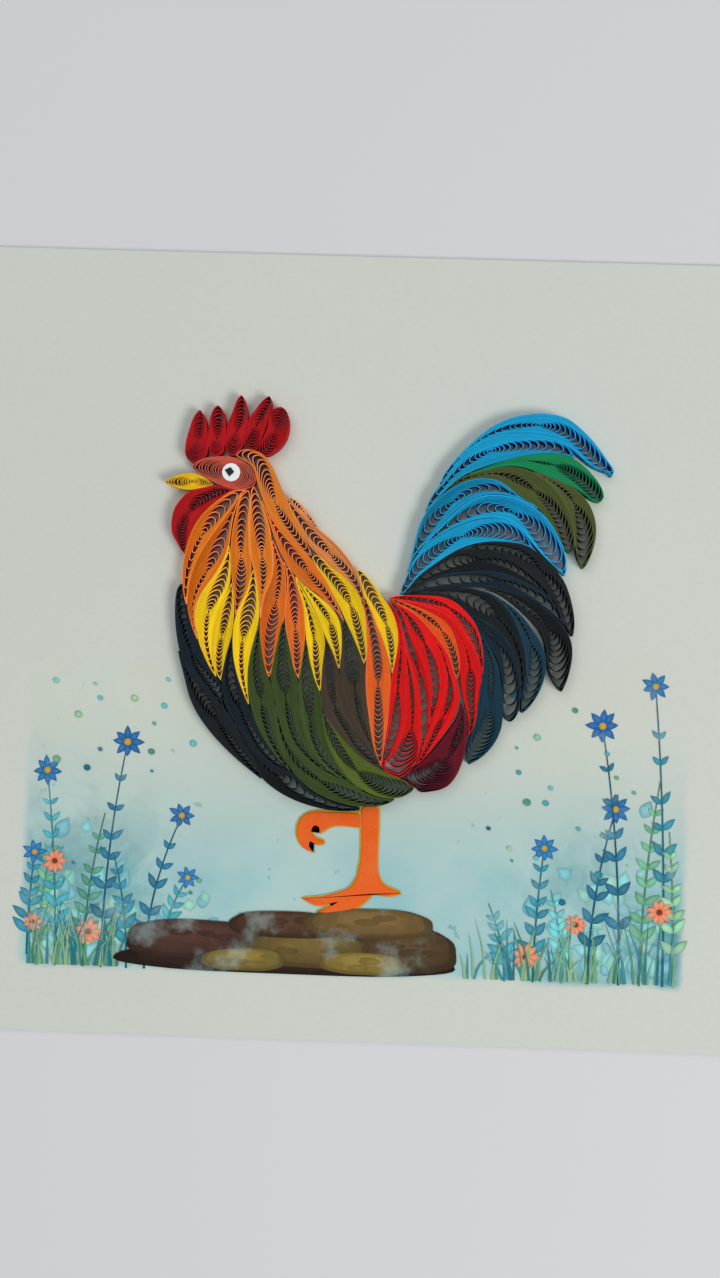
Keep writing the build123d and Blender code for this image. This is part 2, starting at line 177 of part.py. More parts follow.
         [(-15.72, -11.14), (-15.44, -12.05), (-15.26, -12.63), (-15.04, -13.30), (-14.79, -14.03), (-14.49, -14.84), (-14.14, -15.71), (-13.72, -16.62), (-13.20, -17.55), (-12.56, -18.47), (-11.79, -19.35), (-10.91, -20.18), (-9.96, -21.00), (-8.95, -21.77), (-7.87, -22.48), (-6.75, -23.14), (-5.60, -23.75), (-4.43, -24.30), (-3.27, -24.82), (-2.14, -25.36), (-1.06, -25.91), (-0.02, -26.45), (0.97, -26.98), (1.92, -27.45), (2.85, -27.84), (3.73, -28.14), (4.56, -28.34), (5.33, -28.48), (6.02, -28.55), (6.63, -28.59), (7.15, -28.59), (7.58, -28.57)],
         (-6.64, -25.41)),
    ],
    "breast_olive_5": [
        ([(-6.54, -12.48), (-6.52, -12.87), (-6.49, -13.33), (-6.44, -13.88), (-6.36, -14.50), (-6.25, -15.19), (-6.10, -15.95), (-5.90, -16.76), (-5.65, -17.62), (-5.32, -18.52), (-4.93, -19.45), (-4.47, -20.40), (-3.94, -21.35), (-3.32, -22.29), (-2.64, -23.20), (-1.89, -24.08), (-1.07, -24.92), (-0.19, -25.69), (0.74, -26.38), (1.72, -26.98), (2.72, -27.47), (3.74, -27.86), (4.75, -28.14), (5.75, -28.30), (6.70, -28.36), (7.60, -28.30), (8.42, -28.16), (9.16, -27.93), (9.79, -27.65), (10.33, -27.32), (10.76, -26.99), (11.07, -26.65), (11.28, -26.32)],
         [(-6.54, -12.48), (-6.35, -12.73), (-6.11, -13.04), (-5.83, -13.39), (-5.50, -13.79), (-5.14, -14.23), (-4.73, -14.72), (-4.29, -15.25), (-3.81, -15.81), (-3.29, -16.41), (-2.73, -17.02), (-2.15, -17.66), (-1.52, -18.31), (-0.87, -18.96), (-0.17, -19.60), (0.56, -20.21), (1.34, -20.78), (2.15, -21.30), (2.97, -21.78), (3.79, -22.25), (4.59, -22.70), (5.38, -23.14), (6.15, -23.54), (6.90, -23.89), (7.63, -24.17), (8.34, -24.40), (8.98, -24.65), (9.55, -24.93), (10.03, -25.25), (10.44, -25.56), (10.81, -25.81), (11.11, -26.05), (11.28, -26.32)],
         (0.25, -23.28)),
    ],
    "breast_brown_1": [
        ([(-6.66, 2.29), (-6.58, 1.37), (-6.62, 0.11), (-6.76, -1.45), (-6.94, -3.30), (-7.02, -5.41), (-7.08, -7.72), (-6.94, -10.10), (-6.30, -12.51), (-4.79, -14.48), (-3.16, -16.30), (-1.64, -18.04), (-0.12, -19.49), (1.38, -20.60), (2.72, -21.44), (3.82, -22.06), (4.63, -22.49)],
         [(-6.66, 2.29), (-6.26, 1.54), (-5.72, 0.53), (-5.08, -0.76), (-4.47, -2.36), (-3.85, -4.19), (-3.33, -6.23), (-2.70, -8.36), (-1.97, -10.54), (-1.09, -12.65), (-0.05, -14.61), (1.09, -16.39), (2.20, -17.98), (3.16, -19.40), (3.88, -20.64), (4.36, -21.69), (4.63, -22.49)],
         (-4.39, -10.90)),
    ],
    "breast_brown_2": [
        ([(-3.12, 5.45), (-3.31, 4.60), (-3.41, 3.41), (-3.35, 1.92), (-3.32, 0.16), (-3.43, -1.83), (-3.60, -4.00), (-3.25, -6.26), (-2.57, -8.53), (-1.81, -10.77), (-0.91, -12.88), (0.13, -14.79), (1.21, -16.46), (2.22, -17.91), (3.06, -19.14), (4.14, -20.90)],
         [(-3.12, 5.45), (-2.57, 4.80), (-1.97, 3.80), (-1.33, 2.49), (-0.62, 0.92), (0.15, -0.88), (0.91, -2.86), (1.33, -5.07), (1.44, -7.37), (1.69, -9.67), (2.03, -11.90), (2.36, -14.00), (2.69, -15.92), (3.04, -17.61), (3.42, -19.02), (4.14, -20.90)],
         (-0.63, -7.22)),
    ],
    "breast_dark_1": [
        ([(-34.54, 11.55), (-35.03, 10.92), (-35.40, 9.90), (-35.55, 8.54), (-35.58, 6.92), (-35.52, 5.09), (-35.34, 3.10), (-35.01, 1.02), (-34.54, -1.10), (-33.84, -3.15), (-32.63, -4.87), (-31.24, -6.31), (-29.91, -7.56), (-28.73, -8.67), (-27.75, -9.62), (-26.94, -10.36), (-26.27, -10.79)],
         [(-34.54, 11.55), (-34.34, 10.84), (-34.16, 9.83), (-33.91, 8.57), (-33.36, 7.17), (-32.91, 5.52), (-32.43, 3.71), (-31.72, 1.88), (-30.80, 0.07), (-30.03, -1.81), (-29.16, -3.58), (-28.15, -5.15), (-27.12, -6.51), (-26.33, -7.79), (-26.08, -9.03), (-26.15, -10.05), (-26.27, -10.79)],
         (-32.23, -1.50)),
    ],
    "breast_dark_2": [
        ([(-34.73, -1.39), (-34.38, -2.87), (-34.21, -3.52), (-34.01, -4.25), (-33.77, -5.05), (-33.52, -5.92), (-33.25, -6.86), (-32.98, -7.87), (-32.67, -8.92), (-32.32, -10.01), (-31.87, -11.10), (-31.33, -12.18), (-30.70, -13.24), (-30.00, -14.28), (-29.24, -15.30), (-28.45, -16.28), (-27.62, -17.23), (-26.77, -18.14), (-25.92, -19.00), (-25.06, -19.82), (-24.22, -20.59), (-23.39, -21.31), (-22.60, -21.98), (-21.84, -22.59), (-21.13, -23.15), (-20.47, -23.66), (-19.86, -24.12), (-19.32, -24.52), (-18.84, -24.87), (-18.43, -25.16), (-18.08, -25.39)],
         [(-34.73, -1.39), (-34.16, -2.79), (-33.84, -3.36), (-33.44, -3.97), (-32.95, -4.61), (-32.37, -5.27), (-31.70, -5.94), (-30.97, -6.64), (-30.19, -7.37), (-29.37, -8.13), (-28.53, -8.94), (-27.68, -9.78), (-26.86, -10.67), (-26.11, -11.64), (-25.40, -12.64), (-24.70, -13.65), (-24.04, -14.69), (-23.44, -15.74), (-22.88, -16.79), (-22.32, -17.80), (-21.75, -18.77), (-21.18, -19.66), (-20.61, -20.51), (-20.08, -21.29), (-19.60, -22.03), (-19.18, -22.73), (-18.86, -23.39), (-18.57, -23.98), (-18.35, -24.51), (-18.18, -24.98), (-18.08, -25.39)],
         (-26.65, -14.74)),
    ],
    "breast_dark_3": [
        ([(-24.66, 1.42), (-24.77, 1.01), (-24.88, 0.51), (-25.02, -0.07), (-25.18, -0.73), (-25.35, -1.47), (-25.53, -2.29), (-25.72, -3.19), (-25.91, -4.15), (-26.09, -5.17), (-26.17, -6.27), (-26.16, -7.42), (-26.02, -8.59), (-25.71, -9.78), (-25.29, -10.95), (-24.79, -12.11), (-24.19, -13.23), (-23.49, -14.30), (-22.76, -15.33), (-22.02, -16.33), (-21.31, -17.33), (-20.61, -18.29), (-19.90, -19.19), (-19.17, -20.00), (-18.42, -20.73), (-17.67, -21.36), (-16.93, -21.89), (-16.23, -22.35), (-15.57, -22.73), (-14.96, -23.03), (-14.41, -23.26), (-13.92, -23.41), (-13.50, -23.45)],
         [(-24.66, 1.42), (-24.58, 1.04), (-24.52, 0.58), (-24.45, 0.04), (-24.38, -0.58), (-24.29, -1.26), (-24.20, -2.02), (-24.07, -2.85), (-23.88, -3.72), (-23.65, -4.64), (-23.37, -5.60), (-23.03, -6.59), (-22.65, -7.61), (-22.23, -8.63), (-21.77, -9.67), (-21.28, -10.72), (-20.76, -11.76), (-20.25, -12.80), (-19.78, -13.85), (-19.32, -14.89), (-18.84, -15.89), (-18.33, -16.85), (-17.79, -17.75), (-17.24, -18.58), (-16.69, -19.36), (-16.15, -20.07), (-15.63, -20.71), (-15.13, -21.30), (-14.69, -21.83), (-14.30, -22.31), (-13.95, -22.73), (-13.67, -23.10), (-13.50, -23.45)],
         (-22.51, -12.12)),
    ],
    "breast_dark_4": [
        ([(-26.13, -10.38), (-26.12, -10.77), (-26.00, -11.41), (-25.71, -12.10), (-25.24, -12.78), (-24.69, -13.56), (-24.12, -14.45), (-23.55, -15.43), (-22.98, -16.49), (-22.36, -17.62), (-21.67, -18.79), (-20.90, -19.98), (-20.07, -21.20), (-19.25, -22.48), (-18.57, -23.86), (-17.84, -25.24), (-16.71, -26.32), (-15.43, -27.25), (-14.08, -28.07), (-12.70, -28.77), (-11.30, -29.36), (-9.92, -29.83), (-8.56, -30.22), (-7.23, -30.54), (-5.96, -30.79), (-4.75, -30.96), (-3.63, -31.07), (-2.59, -31.11), (-1.65, -31.09), (-0.81, -31.04), (-0.08, -30.95), (0.55, -30.85), (1.01, -30.73)],
         [(-26.13, -10.38), (-25.74, -10.23), (-25.47, -10.61), (-25.21, -11.33), (-24.88, -12.09), (-24.46, -12.88), (-23.96, -13.71), (-23.37, -14.58), (-22.69, -15.51), (-21.96, -16.51), (-21.20, -17.57), (-20.40, -18.66), (-19.52, -19.74), (-18.50, -20.75), (-17.36, -21.68), (-16.10, -22.50), (-14.80, -23.26), (-13.37, -23.66), (-11.94, -24.01), (-10.88, -24.99), (-9.99, -26.16), (-8.96, -27.11), (-7.80, -27.82), (-6.62, -28.40), (-5.50, -28.90), (-4.42, -29.33), (-3.41, -29.67), (-2.46, -29.94), (-1.58, -30.12), (-0.78, -30.25), (-0.08, -30.38), (0.50, -30.54), (1.01, -30.73)],
         (-15.23, -24.53)),
    ],
    "saddle_1": [
        ([(5.53, 10.08), (6.29, 9.95), (7.32, 9.76), (8.61, 9.52), (10.12, 9.19), (11.82, 8.78), (13.68, 8.28), (15.59, 7.61), (17.32, 6.51), (18.82, 5.06), (20.13, 3.52), (21.22, 1.94), (22.09, 0.42), (22.74, -0.98), (23.21, -2.21), (23.50, -3.21), (23.67, -3.97)],
         [(5.53, 10.08), (6.38, 10.31), (7.54, 10.53), (9.02, 10.68), (10.78, 10.74), (12.78, 10.72), (14.97, 10.60), (17.16, 10.06), (19.14, 8.80), (20.85, 7.10), (22.20, 5.27), (22.99, 3.27), (23.43, 1.32), (23.70, -0.43), (23.80, -1.91), (23.77, -3.10), (23.67, -3.97)],
         (16.88, 8.56)),
    ],
    "saddle_2": [
        ([(7.27, 9.70), (9.54, 8.97), (11.18, 8.47), (13.11, 7.81), (15.17, 6.78), (17.04, 5.13), (18.42, 2.87), (19.16, 0.23), (19.42, -2.48), (19.55, -5.13), (19.93, -7.60), (20.51, -9.83), (21.05, -11.80), (21.37, -13.49), (21.46, -14.86), (21.40, -15.88)],
         [(7.27, 9.70), (9.78, 9.22), (11.59, 8.77), (13.71, 8.16), (16.04, 7.30), (18.16, 5.65), (20.09, 3.49), (21.68, 1.05), (22.95, -1.63), (23.59, -4.39), (23.25, -7.05), (22.99, -9.55), (22.82, -11.75), (22.49, -13.56), (21.98, -14.93), (21.40, -15.88)],
         (21.25, -2.64)),
    ],
    "saddle_3": [
        ([(5.73, 9.78), (6.24, 9.42), (6.98, 9.00), (7.94, 8.51), (9.07, 7.91), (10.28, 7.13), (11.49, 6.14), (12.67, 4.97), (13.83, 3.71), (14.97, 2.43), (16.01, 1.13), (16.82, -0.20), (17.40, -1.51), (17.83, -2.72), (18.21, -3.73), (18.55, -4.52), (18.84, -5.08)],
         [(5.73, 9.78), (6.45, 9.77), (7.40, 9.60), (8.53, 9.23), (9.90, 8.80), (11.45, 8.29), (13.14, 7.64), (14.84, 6.79), (16.39, 5.67), (17.59, 4.22), (18.39, 2.51), (18.90, 0.76), (19.22, -0.85), (19.36, -2.28), (19.34, -3.47), (19.14, -4.41), (18.84, -5.08)],
         (15.62, 4.21)),
    ],
    "saddle_4": [
        ([(6.91, 8.92), (9.09, 7.58), (10.52, 6.43), (12.03, 4.90), (13.49, 2.95), (14.76, 0.59), (15.66, -2.10), (16.08, -4.97), (15.90, -7.84), (15.16, -10.56), (14.26, -13.09), (13.61, -15.45), (13.11, -17.55), (12.54, -19.29), (12.06, -20.68), (11.70, -21.68)],
         [(6.91, 8.92), (9.36, 7.63), (10.99, 6.45), (12.70, 4.82), (14.48, 2.81), (16.33, 0.56), (17.60, -2.27), (18.77, -5.22), (19.45, -8.25), (18.96, -11.33), (17.77, -13.99), (16.27, -16.22), (14.85, -18.11), (13.65, -19.73), (12.62, -20.95), (11.70, -21.68)],
         (16.57, -12.24)),
    ],
    "saddle_5": [
        ([(6.04, 9.18), (6.69, 8.73), (7.46, 8.00), (8.18, 6.92), (8.80, 5.49), (9.47, 3.84), (10.30, 2.11), (11.24, 0.31), (12.13, -1.59), (12.88, -3.55), (13.48, -5.50), (13.83, -7.38), (13.94, -9.14), (13.93, -10.71), (13.88, -12.03), (13.85, -13.09), (13.85, -13.85)],
         [(6.04, 9.18), (6.82, 8.86), (7.85, 8.32), (9.05, 7.54), (10.39, 6.48), (11.76, 5.12), (13.07, 3.46), (14.23, 1.55), (15.14, -0.57), (15.74, -2.79), (16.02, -5.00), (15.94, -7.10), (15.59, -9.00), (15.07, -10.63), (14.56, -11.99), (14.14, -13.07), (13.85, -13.85)],
         (12.50, 1.62)),
    ],
    "saddle_6": [
        ([(6.75, 7.96), (7.02, 7.15), (7.41, 6.06), (7.86, 4.67), (8.25, 3.00), (8.68, 1.12), (9.27, -0.93), (10.03, -3.05), (10.78, -5.23), (11.35, -7.45), (11.71, -9.66), (11.95, -11.77), (12.12, -13.71), (12.27, -15.44), (12.37, -16.89), (12.49, -18.04), (12.62, -18.86)],
         [(6.75, 7.96), (7.52, 7.83), (8.16, 6.82), (8.77, 5.39), (9.46, 3.72), (10.36, 1.88), (11.38, -0.10), (12.34, -2.26), (13.16, -4.56), (13.71, -6.92), (13.88, -9.26), (13.84, -11.51), (13.75, -13.56), (13.57, -15.35), (13.23, -16.85), (12.90, -18.03), (12.62, -18.86)],
         (11.38, -3.49)),
    ],
    "saddle_7": [
        ([(8.63, 1.10), (8.85, -0.94), (8.97, -2.42), (9.08, -4.17), (9.16, -6.16), (9.24, -8.32), (9.25, -10.61), (9.08, -12.96), (8.60, -15.26), (7.81, -17.41), (6.94, -19.39), (5.91, -21.09), (5.40, -22.69), (6.51, -23.65), (7.60, -24.11), (8.43, -24.36)],
         [(8.63, 1.10), (9.18, -0.81), (9.65, -2.18), (10.23, -3.78), (10.83, -5.62), (11.32, -7.66), (11.68, -9.86), (11.92, -12.13), (12.12, -14.41), (12.29, -16.63), (12.24, -18.73), (11.77, -20.60), (10.97, -22.10), (10.04, -23.20), (9.15, -23.93), (8.43, -24.36)],
         (10.52, -14.72)),
    ],
    "saddle_8": [
        ([(5.26, 9.54), (5.57, 8.60), (6.14, 7.35), (6.79, 5.75), (7.28, 3.80), (7.42, 1.52), (7.15, -0.96), (6.67, -3.55), (6.24, -6.21), (6.16, -8.93), (6.08, -11.56), (5.92, -14.05), (5.68, -16.32), (5.41, -18.33), (5.17, -20.02), (5.04, -21.37), (5.01, -22.37)],
         [(5.26, 9.54), (5.86, 8.69), (6.60, 7.47), (7.34, 5.87), (7.99, 3.89), (8.49, 1.58), (8.79, -0.98), (8.99, -3.69), (9.12, -6.50), (9.21, -9.32), (9.12, -12.05), (8.73, -14.57), (7.99, -16.82), (7.16, -18.77), (6.33, -20.33), (5.59, -21.52), (5.01, -22.37)],
         (7.61, -7.53)),
    ],
    "thigh": [
        ([(19.94, -9.73), (19.88, -10.43), (19.81, -10.86), (19.69, -11.34), (19.52, -11.86), (19.29, -12.42), (19.01, -13.01), (18.66, -13.62), (18.26, -14.26), (17.81, -14.91), (17.32, -15.60), (16.81, -16.30), (16.28, -17.01), (15.73, -17.73), (15.16, -18.46), (14.58, -19.17), (13.98, -19.86), (13.37, -20.53), (12.76, -21.17), (12.13, -21.77), (11.45, -22.33), (10.70, -22.84), (9.99, -23.34), (9.51, -23.88), (9.53, -24.53), (9.94, -25.11), (10.58, -25.59), (11.10, -25.93), (11.44, -26.17), (11.70, -26.34), (11.82, -26.48), (11.95, -26.65)],
         [(19.94, -9.73), (20.18, -10.40), (20.34, -10.83), (20.49, -11.32), (20.65, -11.88), (20.79, -12.50), (20.91, -13.17), (21.02, -13.90), (21.09, -14.68), (21.12, -15.50), (21.11, -16.36), (21.05, -17.25), (20.95, -18.16), (20.80, -19.09), (20.60, -20.03), (20.35, -20.97), (20.05, -21.89), (19.70, -22.78), (19.29, -23.62), (18.80, -24.40), (18.25, -25.09), (17.62, -25.67), (16.92, -26.09), (16.18, -26.39), (15.45, -26.59), (14.76, -26.74), (14.13, -26.85), (13.59, -26.93), (13.11, -26.99), (12.69, -26.97), (12.30, -26.85), (11.95, -26.65)],
         (17.78, -20.11)),
    ],
    "tail_blue_1": [
        ([(14.67, 32.49), (15.46, 33.35), (16.40, 34.65), (17.60, 36.27), (19.17, 38.06), (21.34, 39.63), (24.02, 40.84), (27.02, 41.57), (30.21, 41.74), (33.40, 41.60), (36.45, 41.07), (39.09, 39.81), (41.20, 38.13), (43.07, 36.67), (44.89, 35.81), (46.43, 35.38), (47.30, 34.61)],
         [(14.67, 32.49), (15.10, 33.77), (16.06, 35.36), (17.50, 37.19), (19.35, 39.24), (21.57, 41.43), (24.25, 43.52), (27.46, 45.11), (31.05, 45.97), (34.73, 46.14), (38.24, 45.41), (41.02, 43.49), (43.27, 41.33), (45.02, 39.20), (46.41, 37.33), (47.49, 35.82), (47.30, 34.61)],
         (33.13, 43.94)),
    ],
    "tail_blue_2": [
        ([(12.08, 27.19), (12.75, 27.89), (13.64, 28.87), (14.75, 30.12), (16.07, 31.58), (17.69, 33.10), (19.70, 34.40), (22.04, 35.47), (24.54, 36.37), (27.04, 37.17), (29.50, 37.85), (31.87, 38.33), (34.09, 38.59), (36.07, 38.63), (37.72, 38.48), (39.00, 38.20), (39.91, 37.85)],
         [(12.08, 27.19), (12.32, 28.29), (12.92, 29.68), (13.96, 31.27), (15.31, 33.04), (16.80, 35.12), (18.54, 37.32), (20.75, 39.20), (23.46, 40.56), (26.36, 41.41), (29.25, 41.67), (32.04, 41.64), (34.61, 41.41), (36.78, 40.89), (38.43, 40.07), (39.46, 38.92), (39.91, 37.85)],
         (23.91, 38.76)),
    ],
    "tail_green": [
        ([(20.10, 34.34), (20.90, 34.50), (21.99, 34.78), (23.35, 35.16), (24.96, 35.60), (26.80, 35.96), (28.85, 36.05), (31.00, 35.70), (33.10, 34.97), (35.20, 34.20), (37.25, 33.47), (39.16, 32.71), (40.83, 31.86), (42.22, 30.93), (43.39, 30.15), (44.41, 29.73), (45.25, 29.66)],
         [(20.10, 34.34), (20.98, 34.70), (22.19, 35.20), (23.71, 35.83), (25.53, 36.55), (27.61, 37.27), (29.91, 37.88), (32.38, 38.31), (35.00, 38.52), (37.64, 38.41), (39.98, 37.60), (41.94, 36.26), (43.54, 34.70), (44.79, 33.15), (45.54, 31.72), (45.74, 30.48), (45.25, 29.66)],
         (36.11, 36.46)),
    ],
    "tail_olive": [
        ([(32.34, 35.01), (32.91, 34.66), (33.70, 34.18), (34.65, 33.53), (35.69, 32.67), (36.75, 31.58), (37.76, 30.26), (38.66, 28.75), (39.39, 27.11), (39.92, 25.39), (40.30, 23.66), (40.54, 22.00), (40.81, 20.50), (41.15, 19.20), (41.54, 18.15), (41.97, 17.35), (42.37, 16.81)],
         [(32.34, 35.01), (33.10, 34.81), (34.12, 34.48), (35.38, 34.02), (36.88, 33.49), (38.57, 32.88), (40.29, 31.95), (41.86, 30.59), (43.15, 28.89), (44.04, 26.95), (44.48, 24.93), (44.51, 22.97), (44.22, 21.19), (43.81, 19.64), (43.34, 18.38), (42.84, 17.44), (42.37, 16.81)],
         (40.24, 29.12)),
        ([(16.35, 31.67), (17.16, 32.05), (18.30, 32.53), (19.79, 33.02), (21.59, 33.44), (23.67, 33.59), (25.82, 33.06), (27.87, 31.81), (29.87, 30.35), (32.01, 29.09), (33.86, 27.59), (35.38, 25.89), (36.63, 24.20), (37.54, 22.57), (38.24, 21.19), (38.96, 20.24), (39.72, 19.72)],
         [(16.35, 31.67), (17.12, 32.46), (18.32, 33.36), (20.01, 34.17), (22.17, 34.76), (24.58, 35.40), (27.27, 35.82), (30.19, 35.56), (33.00, 34.55), (35.39, 32.84), (37.34, 30.75), (38.77, 28.40), (39.68, 26.03), (40.19, 23.85), (40.48, 22.03), (40.53, 20.58), (39.72, 19.72)],
         (32.35, 31.59)),
    ],
    "tail_blue_3": [
        ([(8.90, 15.50), (9.62, 17.68), (10.55, 19.08), (11.81, 20.61), (13.25, 22.33), (14.81, 24.21), (16.54, 26.14), (18.48, 27.95), (20.68, 29.44), (23.09, 30.36), (25.52, 30.55), (27.75, 30.36), (29.66, 29.84), (31.18, 29.14), (32.36, 28.50), (33.23, 28.06)],
         [(8.90, 15.50), (9.44, 18.13), (9.88, 20.03), (10.33, 22.29), (11.01, 24.80), (12.38, 27.28), (14.42, 29.48), (16.76, 31.48), (19.52, 32.84), (22.45, 33.46), (25.25, 33.17), (27.53, 31.95), (29.34, 30.52), (30.97, 29.47), (32.36, 28.78), (33.23, 28.06)],
         (17.07, 28.72)),
    ],
    "tail_blue_4": [
        ([(10.77, 18.76), (11.89, 20.09), (12.44, 20.64), (13.08, 21.22), (13.82, 21.81), (14.67, 22.41), (15.61, 23.00), (16.65, 23.58), (17.76, 24.14), (18.95, 24.68), (20.20, 25.18), (21.52, 25.60), (22.90, 25.91), (24.33, 26.07), (25.77, 26.03), (27.19, 25.77), (28.52, 25.25), (29.70, 24.47), (30.71, 23.52), (31.59, 22.49), (32.41, 21.48), (33.23, 20.54), (34.03, 19.67), (34.82, 18.88), (35.57, 18.16), (36.27, 17.52), (36.92, 16.95), (37.51, 16.45), (38.03, 16.01), (38.48, 15.65), (38.85, 15.34)],
         [(10.77, 18.76), (11.95, 20.53), (12.52, 21.29), (13.18, 22.11), (13.93, 23.00), (14.77, 23.96), (15.68, 24.97), (16.67, 26.03), (17.76, 27.10), (18.97, 28.13), (20.33, 29.06), (21.84, 29.82), (23.51, 30.27), (25.26, 30.37), (27.02, 30.30), (28.76, 30.00), (30.39, 29.36), (31.93, 28.55), (33.36, 27.64), (34.64, 26.60), (35.67, 25.39), (36.54, 24.14), (37.26, 22.88), (37.89, 21.67), (38.42, 20.52), (38.82, 19.43), (39.03, 18.39), (39.11, 17.44), (39.09, 16.61), (39.00, 15.91), (38.85, 15.34)],
         (28.57, 27.03)),
    ],
    "tail_blue_5": [
        ([(7.55, 11.07), (8.28, 11.27), (9.07, 12.13), (10.03, 13.42), (11.27, 14.75), (12.82, 16.00), (14.58, 17.34), (16.51, 18.69), (18.59, 19.89), (20.80, 20.78), (23.06, 21.30), (25.27, 21.50), (27.31, 21.48), (29.10, 21.34), (30.58, 21.11), (31.72, 20.76), (32.53, 20.35)],
         [(7.55, 11.07), (7.78, 12.11), (8.27, 13.48), (8.94, 15.19), (9.72, 17.18), (11.17, 19.13), (13.07, 21.02), (15.36, 22.66), (17.92, 24.02), (20.58, 25.12), (23.32, 25.78), (26.03, 25.84), (28.36, 25.20), (30.11, 23.98), (31.31, 22.57), (32.07, 21.30), (32.53, 20.35)],
         (18.98, 22.19)),
    ],
    "tail_black_1": [
        ([(20.49, 19.87), (21.34, 19.79), (22.50, 19.78), (23.96, 19.68), (25.66, 19.40), (27.53, 18.87), (29.43, 17.94), (31.24, 16.61), (32.98, 15.10), (34.63, 13.48), (36.06, 11.75), (37.24, 9.98), (38.16, 8.27), (38.92, 6.72), (39.57, 5.42), (40.17, 4.42), (40.69, 3.75)],
         [(20.49, 19.87), (21.22, 20.52), (22.48, 20.98), (24.15, 21.27), (26.15, 21.38), (28.41, 21.27), (30.84, 20.85), (33.20, 19.78), (35.28, 18.08), (37.21, 16.22), (38.78, 14.14), (39.76, 11.88), (40.41, 9.71), (40.82, 7.75), (40.96, 6.07), (40.88, 4.72), (40.69, 3.75)],
         (34.27, 16.29)),
    ],
    "tail_black_2": [
        ([(8.62, 11.53), (9.33, 11.99), (10.42, 12.66), (11.83, 13.40), (13.55, 14.15), (15.56, 14.84), (17.82, 15.40), (20.26, 15.81), (22.79, 16.00), (25.32, 15.89), (27.72, 15.45), (29.91, 14.69), (31.85, 13.77), (33.51, 12.87), (34.86, 12.02), (35.87, 11.25), (36.55, 10.61)],
         [(8.62, 11.53), (9.24, 12.24), (10.18, 13.38), (11.47, 14.66), (13.09, 16.06), (15.04, 17.54), (17.27, 19.02), (19.87, 19.78), (22.80, 19.62), (25.69, 19.31), (28.32, 18.48), (30.55, 17.09), (32.44, 15.51), (34.02, 14.04), (35.24, 12.72), (36.12, 11.58), (36.55, 10.61)],
         (22.91, 18.04)),
    ],
    "tail_black_3": [
        ([(9.70, 11.59), (10.65, 11.73), (11.95, 11.95), (13.58, 12.23), (15.52, 12.51), (17.72, 12.70), (20.13, 12.75), (22.68, 12.71), (25.29, 12.54), (27.87, 12.12), (30.31, 11.39), (32.53, 10.45), (34.47, 9.39), (36.11, 8.33), (37.44, 7.35), (38.47, 6.52), (39.22, 5.92)],
         [(9.70, 11.59), (10.49, 12.29), (11.69, 13.12), (13.30, 13.95), (15.32, 14.67), (17.69, 15.23), (20.30, 15.64), (23.10, 15.84), (25.97, 15.66), (28.76, 14.98), (31.33, 13.86), (33.67, 12.63), (35.68, 11.27), (37.15, 9.71), (38.12, 8.18), (38.78, 6.88), (39.22, 5.92)],
         (26.48, 14.13)),
    ],
    "tail_black_4": [
        ([(8.28, 10.97), (9.33, 10.94), (10.77, 10.90), (12.58, 10.85), (14.72, 10.76), (17.06, 10.30), (19.45, 9.16), (21.66, 7.49), (24.11, 6.02), (26.56, 4.54), (28.34, 2.42), (29.68, 0.13), (30.48, -2.13), (30.87, -4.23), (31.05, -6.03), (31.14, -7.48), (31.21, -8.52)],
         [(8.28, 10.97), (9.43, 11.31), (11.02, 11.67), (13.03, 11.98), (15.44, 12.22), (18.18, 12.41), (21.18, 12.31), (24.18, 11.45), (26.80, 9.56), (28.86, 7.05), (30.29, 4.24), (31.23, 1.41), (31.71, -1.28), (31.82, -3.69), (31.69, -5.74), (31.45, -7.35), (31.21, -8.52)],
         (26.52, 6.66)),
    ],
    "tail_black_5": [
        ([(24.05, 12.23), (24.83, 12.04), (25.85, 11.67), (27.07, 11.09), (28.42, 10.25), (29.86, 9.15), (31.37, 7.85), (32.91, 6.42), (34.34, 4.81), (35.34, 2.94), (35.78, 0.90), (35.99, -1.07), (36.34, -2.85), (36.94, -4.34), (37.64, -5.51), (38.31, -6.35), (38.88, -6.90)],
         [(24.05, 12.23), (24.99, 12.33), (26.25, 12.30), (27.80, 12.06), (29.58, 11.54), (31.54, 10.71), (33.60, 9.66), (35.69, 8.44), (37.61, 6.86), (39.30, 4.94), (40.41, 2.81), (40.74, 0.57), (40.58, -1.56), (40.21, -3.42), (39.77, -4.92), (39.31, -6.08), (38.88, -6.90)],
         (35.95, 5.23)),
    ],
    "tail_black_6": [
        ([(23.48, 11.83), (24.25, 11.55), (25.23, 11.04), (26.35, 10.22), (27.54, 9.08), (28.71, 7.64), (29.73, 5.91), (30.57, 3.93), (31.28, 1.84), (31.78, -0.30), (32.01, -2.42), (31.99, -4.45), (31.77, -6.29), (31.48, -7.91), (31.33, -9.28), (31.35, -10.38), (31.48, -11.20)],
         [(23.48, 11.83), (24.41, 11.72), (25.55, 11.20), (26.92, 10.38), (28.51, 9.39), (30.16, 8.08), (31.75, 6.42), (33.26, 4.46), (34.65, 2.34), (35.58, 0.04), (35.80, -2.38), (35.47, -4.69), (34.80, -6.72), (33.95, -8.38), (33.06, -9.69), (32.24, -10.65), (31.48, -11.20)],
         (32.79, 2.26)),
    ],
    "tail_black_7": [
        ([(19.55, 8.93), (20.67, 7.50), (21.49, 6.46), (22.39, 5.19), (23.30, 3.68), (24.35, 2.08), (25.62, 0.49), (26.59, -1.37), (27.18, -3.39), (27.50, -5.37), (27.67, -7.26), (27.79, -9.04), (27.90, -10.65), (28.11, -11.98), (28.65, -12.74), (29.43, -12.95)],
         [(19.55, 8.93), (21.09, 7.68), (22.33, 6.93), (23.83, 6.11), (25.50, 5.14), (27.11, 3.83), (28.49, 2.09), (29.59, 0.08), (30.37, -2.06), (30.82, -4.23), (31.02, -6.32), (31.04, -8.26), (30.94, -9.97), (30.63, -11.35), (30.08, -12.33), (29.43, -12.95)],
